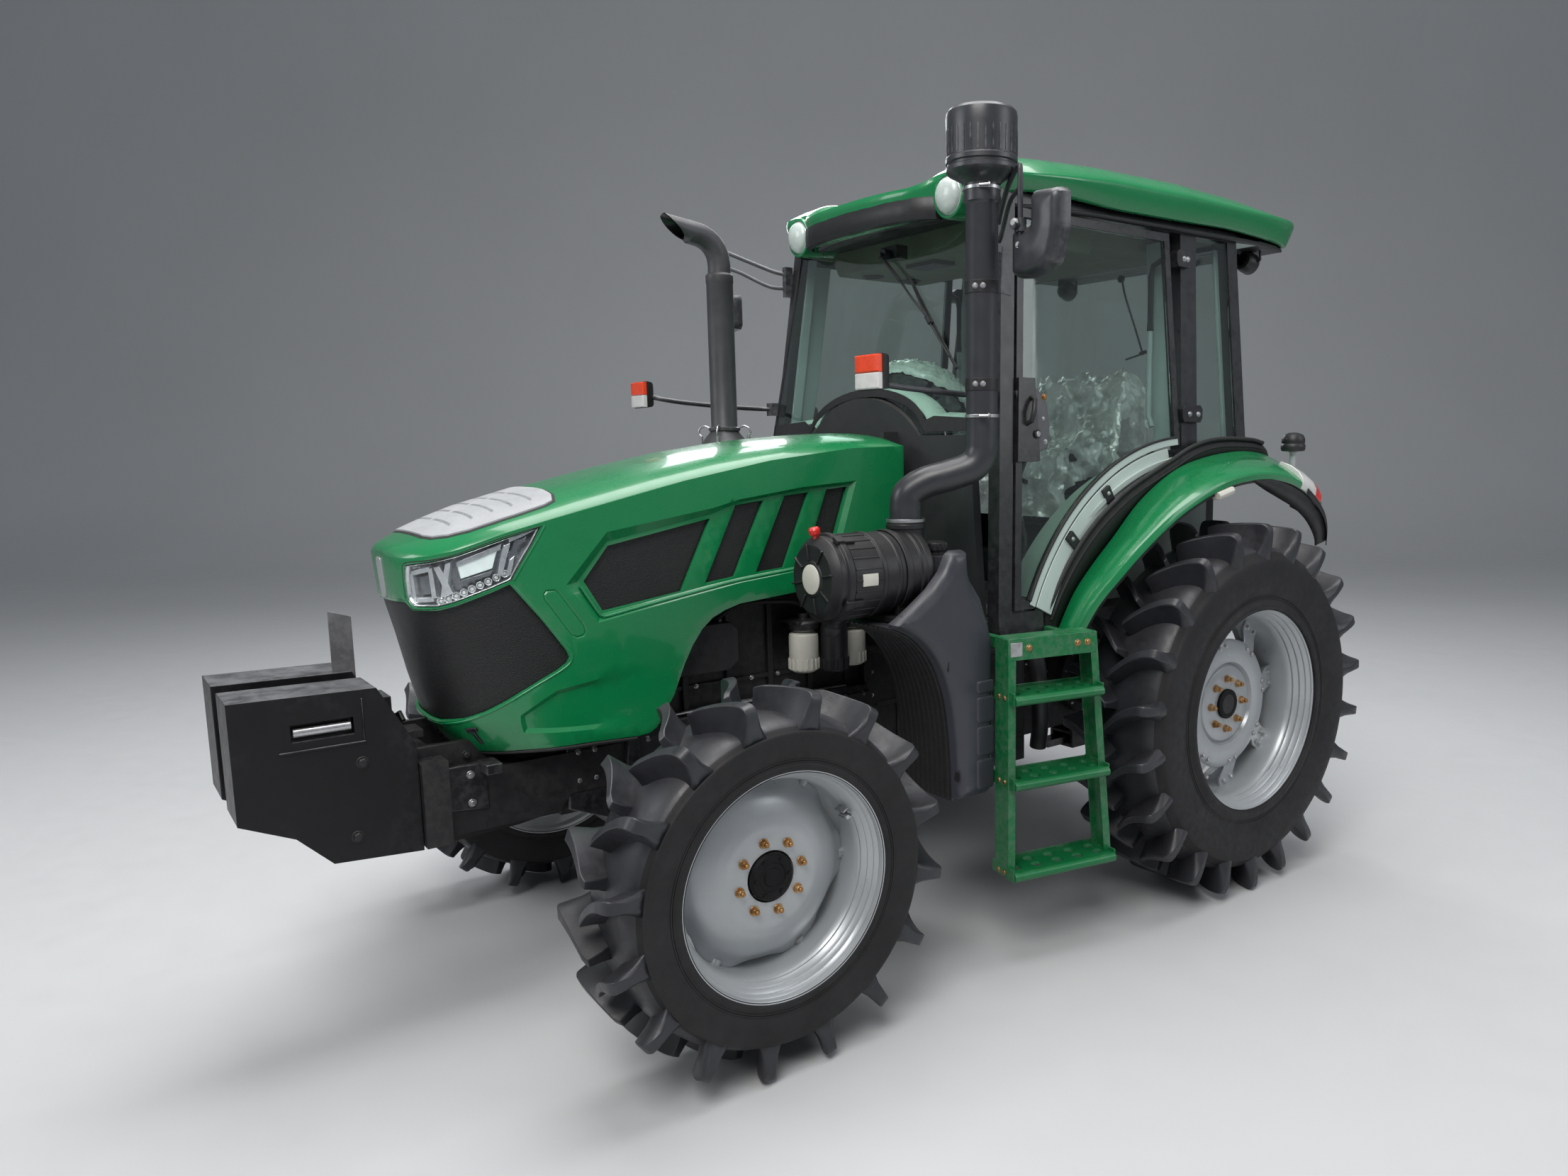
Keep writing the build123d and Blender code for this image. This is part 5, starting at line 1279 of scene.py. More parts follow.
def build_roof():
    P = roof_plan()
    m = Mesh()

    def near(q):
        i = min(range(len(P)), key=lambda j: (P[j][0] - q[0]) ** 2 + (P[j][1] - q[1]) ** 2)
        return interp(P[i][1], RZE)
    vs, _, fs = cdt_sheet(P, [([(sg * x, y) for x, y in ((.375, -1.150), (.375, -.66), (.382, -.66), (.382, -1.150))], 0.0) for sg in (1, -1)], [], .036, lambda q: 0.0)
    top = [(x, y, roof_z(x, y, P, near((x, y)))) for x, y in vs]
    m.add(top, fs)
    n = len(P)
    rings = [(0.0, 0.0), (-.004, .10), (-.004, .22), (.012, .60), (.026, .90), (.032, .975), (.040, 1.0), (.052, .99), (.058, .90)]
    rows = []
    for ins, t in rings:
        Q = inset_poly(P, ins) if ins else P
        rows.append([(q[0], q[1], lerp(interp(P[i][1], RZE), interp(P[i][1], RZL), t)) for i, q in enumerate(Q)])
    b = m.add([p for r in rows for p in r], [])
    for r in range(len(rows) - 1):
        for i in range(n):
            m.f.append((b + r * n + i, b + r * n + (i + 1) % n, b + (r + 1) * n + (i + 1) % n, b + (r + 1) * n + i))
            m.m.append(0)
    o = piece("roof_shell", m, [GREEN], "chassis", angle=34, weld=.0006, replaces=("roof",))
    s = o.modifiers.new("solid", "SOLIDIFY")
    s.thickness = .006
    s.offset = -1
    # underside: black lining from the lip inward, then a paler headliner inside the cab
    u = Mesh()
    Q = inset_poly(P, .050)
    slot = [(-.690, .432), (.690, .432), (.690, .505), (-.690, .505)]     # room for the rear window's upper edge
    vs, _, fs = cdt_sheet(Q, [(resample(slot, .06), 0.0)], [slot], .09, lambda q: 0.0)
    hr = Mesh()
    box(hr, -.694, .694, .428, .432, 2.868, 2.9065)
    box(hr, -.694, .694, .505, .509, 2.868, 2.9065)
    box(hr, -.694, -.690, .432, .505, 2.868, 2.9065)
    box(hr, .690, .694, .432, .505, 2.868, 2.9065)
    box(hr, -.690, .690, .432, .505, 2.9035, 2.9065)
    piece("roof_hinge_recess", hr, [PLASTIC], "chassis", angle=30, bevel=.001, seg=1)

    def uz(x, y):
        return interp(y, [(-1.25, 2.824), (-1.1, 2.838), (-1.0, 2.858), (-.5, 2.872), (.5, 2.880), (.9, 2.872)]) if abs(x) > .3 or y > -1.0 else interp(y, [(-1.25, 2.824), (-1.0, 2.858)])
    u.add([(x, y, uz(x, y)) for x, y in vs], fs)
    piece("roof_underside", u, [PLASTIC], "chassis", angle=40, solid=.012)
    # pale panel let into the underside behind the cab
    w = Mesh()
    for sg in (1, -1):
        prism(w, [(sg * x, y, 2.866) for x, y in ((.40, .47), (.70, .47), (.735, .62), (.715, .78), (.66, .835), (.40, .835))], (0, 0, .020))
    piece("roof_rear_panel", w, [LINER], "chassis", bevel=.008, seg=3)


build_roof()

# lamp pods and round lamps
REFL = mat("lamp_bowl", (.80, .83, .86), rough=.30, metal=.35, var=.1, vscale=20, bumps=[(150, .2, .001)])
pod = Mesh()
lampm, lensm = Mesh(), Mesh()
for sg in (1, -1):
    d = Vector((sg * .02, -1, -.06)).normalized()
    c = Vector((sg * .530, -1.128, 2.900))
    lathe(pod, [(.086, -.16), (.090, -.06), (.088, .015), (.084, .026), (.077, .028), (.073, .022), (.073, -.02), (.070, -.03)], c, d, n=48)
    lathe(lampm, [(.072, -.03), (.072, .020), (.067, .026), (.062, .024), (.060, .014), (.050, -.006), (.030, -.024), (.012, -.030), (.010, -.016), (.006, -.010), (0, -.009)], c, d, n=48)
    lathe(lensm, [(.0690, .0200), (.0675, .0290), (.0600, .0400), (.0450, .0500), (.0240, .0560), (0, .0580), (0, .0530), (.0240, .0510), (.0450, .0450), (.0600, .0350), (.0640, .0260), (.0650, .0180)], c, d, n=48)
# two work lamps under the roof's rear
for sg in (1, -1):
    d = Vector((sg * .12, 1, -.28)).normalized()
    c = Vector((sg * .60, .725, 2.812))
    lathe(lampm, [(.030, -.052), (.044, -.048), (.050, -.034), (.052, .012), (.049, .020), (.045, .018), (.043, .008), (.034, -.012), (.016, -.024), (.008, -.014), (0, -.012)], c, d, n=40, mi=1)
    lathe(lensm, [(.0445, .0135), (.034, .0170), (0, .0200), (0, .0165), (.034, .0135), (.0445, .0105)], c, d, n=32)
    tube(lampm, [c + Vector((sg * .05, 0, 0)), c + Vector((sg * .062, 0, .01)), c + Vector((sg * .062, -.005, .070)), c + Vector((0, -.01, .078)), c + Vector((-sg * .062, -.005, .070)), c + Vector((-sg * .062, 0, .01)), c + Vector((-sg * .05, 0, 0))], .0065, n=8, mi=1)
    cyl(lampm, c + Vector((0, -.01, .074)), c + Vector((0, -.01, .106)), .013, n=16, mi=1)
piece("roof_lamp_pods", pod, [GREEN], "chassis", angle=40)
piece("roof_lamps", lampm, [REFL, PLASTIC], "chassis", angle=36, replaces=("work_lamps",))
OPALR = mat("lamp_diffuser_roof", (.50, .56, .535), rough=.28, var=.08, vscale=30, coat=.4, bumps=[(160, .1, .001)], emit=((.8, .9, .86), .02))
piece("roof_lamp_lenses", lensm, [OPALR], "chassis", angle=40)
# black band under the roof's front lip
vb = Mesh()
PL = [(-.452, -1.139), (-.420, -1.170), (-.385, -1.199), (-.320, -1.222), (-.25, -1.239), (-.12, -1.252), (0, -1.256), (.12, -1.252), (.25, -1.239), (.320, -1.222), (.385, -1.199), (.420, -1.170), (.452, -1.139)]
SEC = [(.022, 2.822), (-.004, 2.826), (-.009, 2.834), (-.010, 2.870), (-.008, 2.904), (-.002, 2.911), (.022, 2.911)]
vv = [(x, y + dy, z) for x, y in PL for dy, z in SEC]
K = len(SEC)
ff = [(i * K + j, i * K + (j + 1) % K, (i + 1) * K + (j + 1) % K, (i + 1) * K + j) for i in range(len(PL) - 1) for j in range(K)]
ff += [tuple(range(K))[::-1], tuple((len(PL) - 1) * K + j for j in range(K))]
vb.add(vv, ff)
piece("roof_front_band", vb, [PLASTIC], "chassis", angle=40)

# ------------------------------------------------------------------ air cleaner, intake and exhaust
ac = Mesh()
AXL = .735
c0 = Vector((AXL, -1.955, 1.492))
fwd = (0, 1, 0)
prof = [(.0, .000), (.060, .000), (.064, .004), (.118, .004), (.128, .010), (.140, .022), (.147, .030), (.147, .052), (.153, .054), (.1575, .058), (.1575, .078), (.153, .082), (.149, .086), (.149, .200), (.1545, .203), (.1545, .218), (.149, .221), (.149, .270), (.152, .273), (.152, .283), (.149, .286), (.149, .372), (.1545, .375), (.1545, .395), (.146, .402), (.136, .430), (.118, .448), (.080, .456), (0, .458)]
lathe(ac, prof, c0, fwd, n=72)
# ribs along the cover and on its face
for q in range(24):
    a = 2 * pi * q / 24
    u, w = Vector((1, 0, 0)), Vector((0, 0, 1))
    r = u * math.cos(a) + w * math.sin(a)
    t = -u * math.sin(a) + w * math.cos(a)
    p = c0 + r * .1475
    v = []
    for yy in (.088, .198):
        for rr in (-.004, .0042):
            for tt in (-.003, .003):
                v.append(tuple(p + r * rr + t * tt + Vector((0, yy, 0))))
    ac.add(v, [(0, 1, 3, 2), (4, 6, 7, 5), (0, 4, 5, 1), (2, 3, 7, 6), (0, 2, 6, 4), (1, 5, 7, 3)])
for q in range(8):
    a = 2 * pi * q / 8 + .2
    r = Vector((math.cos(a), 0, math.sin(a)))
    t = Vector((-math.sin(a), 0, math.cos(a)))
    v = [tuple(c0 + r * rr + t * tt + Vector((0, yy, 0))) for rr in (.066, .122) for tt in (-.0035, .0035) for yy in (-.004, .006)]
    ac.add(v, [(0, 1, 3, 2), (4, 6, 7, 5), (0, 4, 5, 1), (2, 3, 7, 6), (0, 2, 6, 4), (1, 5, 7, 3)])
# clips
for q in range(4):
    a = pi / 4 + q * pi / 2 + .25
    r = Vector((math.cos(a), 0, math.sin(a)))
    t = Vector((-math.sin(a), 0, math.cos(a)))
    p = c0 + Vector((0, .068, 0))
    for rr0, rr1, y0, y1, w in ((.150, .166, -.022, .010, .016), (.150, .160, .008, .056, .012)):
        v = [tuple(p + r * rr + t * tt + Vector((0, yy, 0))) for rr in (rr0, rr1) for tt in (-w, w) for yy in (y0, y1)]
        ac.add(v, [(0, 1, 3, 2), (4, 6, 7, 5), (0, 4, 5, 1), (2, 3, 7, 6), (0, 2, 6, 4), (1, 5, 7, 3)])
# mounting bands, neck, and the arms down to the frame
for yy in (.318, .408):
    lathe(ac, [(.151, yy - .014), (.1555, yy - .014), (.1575, yy), (.1555, yy + .014), (.151, yy + .014)], c0, fwd, n=60, close=True)
cyl(ac, (AXL, -1.540, 1.60), (AXL, -1.540, 1.668), .066, n=40)
lathe(ac, [(.068, -.01), (.072, -.008), (.072, .008), (.068, .010)], (AXL, -1.540, 1.655), (0, 0, 1), n=40, close=True)
cyl(ac, (AXL, -1.500, 1.492), (AXL - .30, -1.500, 1.50), .060, n=32)
for yy in (-1.655, -1.545):
    pass
box(ac, AXL - .12, AXL + .12, -1.700, -1.570, 1.326, 1.348)
box(ac, AXL - .105, AXL - .085, -1.66, -1.61, 1.33, 1.40)
box(ac, AXL + .085, AXL + .105, -1.66, -1.61, 1.33, 1.40)
piece("air_cleaner_body", ac, [PLASTIC], "chassis", angle=30, bevel=.0016, seg=2, replaces=("air_cleaner",))
# dust valve, plate and red knob
dv = Mesh()
lathe(dv, [(.030, 0), (.032, .012), (.030, .018), (.026, .020), (.026, .034), (.031, .038), (.030, .052), (.020, .066), (.010, .070), (0, .070)], (AXL, -1.870, 1.350), (0, -.1, -1), n=28)
piece("dust_valve", dv, [SEALM], "chassis", bevel=.001)
pl = Mesh()
vs = []
for j in range(9):
    a = lerp(-.16, .10, j / 8)
    for rr in (.150, .1525):
        for yy in (.232, .262):
            pass
A = [(-.02 + .0325 * j) for j in range(9)]
for j in range(9):
    a = -.14 + .035 * j
    for rr in (.1485, .1520):
        for yy in (.112, .176):
            vs.append((AXL + rr * math.cos(a) if True else 0, c0.y + yy, c0.z + rr * math.sin(a)))
fs = []
for j in range(8):
    b = j * 4
    fs += [(b + 2, b + 6, b + 7, b + 3), (b, b + 1, b + 5, b + 4), (b, b + 4, b + 6, b + 2), (b + 1, b + 3, b + 7, b + 5)]
fs += [(0, 2, 3, 1), (32, 33, 35, 34)]
pl.add(vs, fs)
piece("air_cleaner_plate", pl, [CREAM], "chassis", bevel=.001)
kn = Mesh()
lathe(kn, [(.011, 0), (.011, .012), (.018, .014), (.020, .020), (.020, .032), (.016, .038), (0, .040)], (AXL - .010, -1.925, 1.632), (0, -.25, 1), n=24)
lathe(kn, [(.052, 0), (.052, .003), (.048, .0045), (0, .0050)], (AXL, -1.9552, 1.492), (0, -1, 0), n=40, mi=1)
piece("service_indicator", kn, [RED, CREAM], "chassis", bevel=.001)

ip = Mesh()
path = spline([(AXL, -1.540, 1.668), (AXL, -1.540, 1.725), (AXL + .006, -1.530, 1.772), (AXL + .040, -1.478, 1.812), (AXL + .090, -1.398, 1.838), (AXL + .132, -1.330, 1.868), (AXL + .148, -1.304, 1.915), (AXL + .150, -1.300, 1.975), (AXL + .150, -1.300, 2.05)], 8)
tube(ip, path, .0575, n=36)
piece("intake_elbow", ip, [PIPE], "chassis", angle=50, replaces=("intake_pipe",))
sp = Mesh()
PX, PY = AXL + .150, -1.300
lathe(sp, [(.0575, 2.035), (.0575, 2.780), (.0600, 2.786), (.0660, 2.792), (.0660, 2.850), (.076, 2.862), (.094, 2.872), (.118, 2.884), (.1265, 2.893), (.1265, 2.906), (.121, 2.910), (.121, 2.917), (.127, 2.921), (.127, 2.935), (.1245, 2.940), (.1255, 3.040), (.1262, 3.072), (.1235, 3.088), (.115, 3.098), (.095, 3.1035), (.04, 3.1048), (0, 3.105)], (PX, PY, 0), (0, 0, 1), n=80)
for q in range(30):
    a = 2 * pi * q / 30
    v = []
    for zz in (2.945, 3.030):
        for rr in (.120, .1268):
            for tt in (-.0022, .0022):
                v.append((PX + rr * math.cos(a) - tt * math.sin(a), PY + rr * math.sin(a) + tt * math.cos(a), zz))
    sp.add(v, [(0, 1, 3, 2), (4, 6, 7, 5), (0, 4, 5, 1), (2, 3, 7, 6), (0, 2, 6, 4), (1, 5, 7, 3)])
piece("intake_stack", sp, [PIPE], "chassis", angle=26)
cp = Mesh()
for z in (2.048, 2.836):
    lathe(cp, [(.0600 if z < 2.5 else .0665, -.006), (.0622 if z < 2.5 else .0685, -.006), (.0622 if z < 2.5 else .0685, .006), (.0600 if z < 2.5 else .0665, .006)], (PX, PY, z), (0, 0, 1), n=60, close=True)
    cyl(cp, (PX + .050, PY - .058, z), (PX + .080, PY - .036, z), .0055, n=10)
    bolt(cp, (PX + .078, PY - .037, z), (.8, .6, 0), .008, .006)
lathe(cp, [(.0680, -.006), (.0705, -.006), (.0705, .006), (.0680, .006)], (AXL, -1.540, 1.676), (0, 0, 1), n=50, close=True)
for z in (2.16, 2.50):
    for a in (-.9,):
        r = Vector((math.cos(a), math.sin(a), 0))
        t = Vector((-math.sin(a), math.cos(a), 0))
        for k in (-.014, .014):
            bolt(cp, Vector((PX, PY, z)) + r * .060 + t * k, r, .0075, .007)
piece("intake_clamps", cp, [STEEL], "chassis", bevel=.0008, seg=1)
cl = Mesh()
for z in (2.16, 2.50):
    lathe(cl, [(.0580, -.022), (.0605, -.022), (.0605, .022), (.0580, .022)], (PX, PY, z), (0, 0, 1), n=50, close=True)
    tube(cl, [(PX - .04, PY + .045, z), (PX - .06, PY + .09, z), (PX - .085, PY + .115, z)], .010, n=10)
piece("intake_brackets", cl, [PLASTIC], "chassis", bevel=.0015)

ex = Mesh()
EX, EY = -.520, -1.575
lathe(ex, [(.060, 1.325), (.092, 1.335), (.098, 1.350), (.098, 1.890), (.100, 1.905), (.100, 1.935), (.104, 1.942), (.104, 1.962), (.098, 1.968), (.088, 1.985), (.066, 2.010), (.064, 2.016), (.070, 2.020), (.070, 2.032), (.0600, 2.036), (.0580, 2.040), (.0580, 2.655), (.0600, 2.660), (.0600, 2.690), (.0570, 2.694), (.0500, 2.700)], (EX, EY, 0), (0, 0, 1), n=56)
bend = spline([(EX, EY, 2.690), (EX, EY, 2.740), (EX, EY - .010, 2.785), (EX, EY - .040, 2.825), (EX, EY - .085, 2.850), (EX, EY - .140, 2.860), (EX, EY - .205, 2.868), (EX, EY - .262, 2.876)], 8)
for r0, mi, rev in ((.0495, 0, False), (.0462, 1, True)):
    tb = Mesh()
    tube(tb, bend, r0, n=36, cap=False)
    # the mouth is cut at a slant: points below the axis stop short
    for i, (x, y, z) in enumerate(tb.v):
        over = (EY - .150) - y
        if over > 0:
            low = (2.915 - z) / .095
            tb.v[i] = (x, y + min(over, .115) * max(0, min(1, low)) * .98, z)
    ex.add(tb.v, [f[::-1] for f in tb.f] if rev else tb.f, mi)
piece("exhaust_pipe", ex, [STACK, BLACK], "chassis", angle=30, replaces=("exhaust_stack",))
hk = Mesh()
for q in range(4):
    a = pi / 4 + q * pi / 2
    r = Vector((math.cos(a), math.sin(a), 0))
    c = Vector((EX, EY, 0))
    tube(hk, spline([c + r * .064 + Vector((0, 0, 2.028)), c + r * .088 + Vector((0, 0, 2.040)), c + r * .112 + Vector((0, 0, 2.030)), c + r * .118 + Vector((0, 0, 2.008)), c + r * .104 + Vector((0, 0, 1.992)), c + r * .110 + Vector((0, 0, 1.962))], 4), .0042, n=8)
    cyl(hk, c + r * .109 + Vector((0, 0, 1.995)), c + r * .109 + Vector((0, 0, 1.962)), .0085, n=12)
piece("exhaust_springs", hk, [STEEL], "chassis", bevel=.0006, seg=1)
hd = Mesh()
tube(hd, spline([(EX, EY, 1.362), (EX + .07, EY, 1.362), (EX + .18, EY, 1.36), (-.26, EY, 1.355), (-.19, EY, 1.350)], 5), .038, n=24)
for xx in (-.30, -.38):
    lathe(hd, [(.040, -.008), (.056, -.008), (.056, .008), (.040, .008)], (xx, EY, 1.358), (1, 0, 0), n=32, close=True)
piece("exhaust_header", hd, [CAST], "chassis", bevel=.001)
# ------------------------------------------------------------------ shared shapes


def hexa(m, base, u, v, w, mi=0):
    """Box from a corner and three edge vectors."""
    b = Vector(base)
    u, v, w = Vector(u), Vector(v), Vector(w)
    P = [b + u * i + v * j + w * k for i in (0, 1) for j in (0, 1) for k in (0, 1)]
    m.add([tuple(p) for p in P], [(0, 1, 3, 2), (4, 6, 7, 5), (0, 4, 5, 1), (2, 3, 7, 6), (0, 2, 6, 4), (1, 5, 7, 3)], mi)


def rod(m, p, q, r, n=16, mi=0):
    cyl(m, p, q, r, n=n, mi=mi)


def pillow(m, outline, place, depth, rad, grid=.03, mi=0, back=True, crown=0.0, power=2.2):
    """Moulded shell: a flat outline whose front swells to depth over a rounded edge. place(a, b, h) gives the point."""
    P = resample(outline, grid)
    size = max(max(p[0] for p in P) - min(p[0] for p in P), max(p[1] for p in P) - min(p[1] for p in P))

    def h(q):
        d = dist_poly(q, P)
        f = (1 - (1 - min(1, d / rad)) ** power) ** (1 / power)
        return depth * f + crown * sm(d / (size * .35))
    loops = []
    for k in (.12, .32, .62, 1.0):
        try:
            Q = inset_poly(outline, rad * k)
            loops.append((resample(Q, grid), h))
        except Exception:
            pass
    vs, vals, fs = cdt_sheet(P, loops, [], grid, lambda q: h(q) if dist_poly(q, P) > rad * 1.1 else None)
    vs2 = [(a, b, h((a, b)) if dist_poly((a, b), P) > 1e-4 else 0.0) for a, b in vs]
    b0 = m.add([tuple(place(a, b, c)) for a, b, c in vs2], fs, mi)
    if back:
        m.add([tuple(place(a, b, -.0)) for a, b, c in vs2], [f[::-1] for f in fs], mi)


# ------------------------------------------------------------------ ballast
WT = [(-3.640, .870), (-3.640, 1.232), (-3.245, 1.225), (-3.143, 1.030), (-3.143, .680), (-3.400, .700), (-3.495, .800)]
bw = Mesh()
for sg in (1, -1):
    x0, x1 = (.062, .270)
    slab(bw, sg * x0, sg * (x1 - .030), WT)
    # outer cheek: rim with the handle slot and the ledge below it
    slot = [(-3.485, 1.092), (-3.485, 1.146), (-3.315, 1.146), (-3.315, 1.092)]
    Q = resample(WT, .08)
    vs, _, fs = cdt_sheet(Q, [(resample(slot, .04), 0.0)], [slot], .09, lambda q: 0.0)
    bw.add([(sg * x1, y, z) for y, z in vs], fs)
    n = len(Q)
    b0 = bw.add([(sg * x1, y, z) for y, z in Q] + [(sg * (x1 - .032), y, z) for y, z in Q], [])
    for i in range(n):
        bw.f.append((b0 + i, b0 + (i + 1) % n, b0 + n + (i + 1) % n, b0 + n + i))
        bw.m.append(0)
    S = slot
    b0 = bw.add([(sg * x1, y, z) for y, z in S] + [(sg * (x1 - .028), y, z) for y, z in S], [(4, 5, 6, 7)] + [(i, (i + 1) % 4, 4 + (i + 1) % 4, 4 + i) for i in range(4)])
    slab(bw, sg * (x1 - .002), sg * (x1 + .006), [(-3.52, 1.060), (-3.52, 1.068), (-3.285, 1.068), (-3.285, 1.060)])
    slab(bw, sg * (x1 - .002), sg * (x1 + .004), [(-3.292, 1.060), (-3.292, 1.200), (-3.286, 1.200), (-3.286, 1.060)])
box(bw, -.064, .064, -3.600, -3.160, .82, 1.15)
box(bw, -.064, .064, -3.620, -3.560, .90, 1.19)
# the ballast material carries painted sheen on the tops and a painted glint on the edges
piece("ballast_plates", bw, [BALLAST], "chassis", angle=30, bevel=.009, seg=3, replaces=("front_weights",), weld=0)
bb = Mesh()
for sg in (1, -1):
    bolt(bb, (sg * .270, -3.300, 1.000), (sg, 0, 0), .014, .012)
    bolt(bb, (sg * .270, -3.330, .770), (sg, 0, 0), .014, .012)
    cyl(bb, (sg * .259, -3.478, 1.119), (sg * .259, -3.322, 1.119), .0135, n=20, mi=1)
piece("ballast_bolts", bb, [CAST, STEEL], "chassis", bevel=.0015)
fp = Mesh()
prism(fp, [(-.078, -3.300, 1.20), (-.078, -3.232, 1.20), (-.078, -3.232, 1.405), (-.078, -3.300, 1.430)], (.008, 0, 0))
GREYP = mat("grey_plate", (.13, .13, .135), rough=.5, metal=.2, var=.12, vscale=12, bumps=[(300, .12, .0006)], wear_and_edge_glint=(.3, .3, .3), wear_and_glint_amt=.5)
piece("front_post", fp, [GREYP], "chassis", bevel=.0015)
# carrier between ballast and frame, with bolts and a tow pin
cr = Mesh()
for sg in (1, -1):
    box(cr, sg * .190, sg * .215, -3.150, -2.90, .70, 1.00)
    for zz in (.76, .86, .95):
        bolt(cr, (sg * .2155, -3.09, zz), (sg, 0, 0), .012, .010)
        bolt(cr, (sg * .2155, -2.98, zz), (sg, 0, 0), .012, .010)
box(cr, -.19, .19, -3.146, -3.12, .72, 1.02)
rod(cr, (0, -3.135, .98), (0, -3.135, 1.075), .016)
tube(cr, [(0.0, -3.135, 1.07), (.03, -3.130, 1.085), (.055, -3.125, 1.060)], .007, n=10)
box(cr, .05, .15, -3.14, -3.09, 1.018, 1.044)
piece("ballast_carrier", cr, [CAST], "chassis", bevel=.003)

# ------------------------------------------------------------------ fenders
FST = [((.866, -.902, 1.165), (.985, -.925, 1.185)), ((.868, -.80, 1.335), (1.025, -.850, 1.335)), ((.870, -.70, 1.443), (1.065, -.765, 1.445)), ((.870, -.56, 1.563), (1.100, -.63, 1.572)),
       ((.870, -.39, 1.710), (1.135, -.445, 1.700)), ((.870, -.17, 1.830), (1.155, -.19, 1.795)), ((.870, .05, 1.885), (1.162, .06, 1.824)), ((.870, .28, 1.908), (1.162, .28, 1.800)),
       ((.870, .46, 1.900), (1.160, .45, 1.740)), ((.875, .58, 1.870), (1.150, .56, 1.672))]


def station(k):
    """Inner and outer edge of the fender at a place along it, 0 to 1."""
    A = spline([a for a, b in FST], 10)
    B = spline([b for a, b in FST], 10)
    i = k * (len(A) - 1)
    j = min(int(i), len(A) - 2)
    t = i - j
    return A[j].lerp(A[j + 1], t), B[j].lerp(B[j + 1], t)


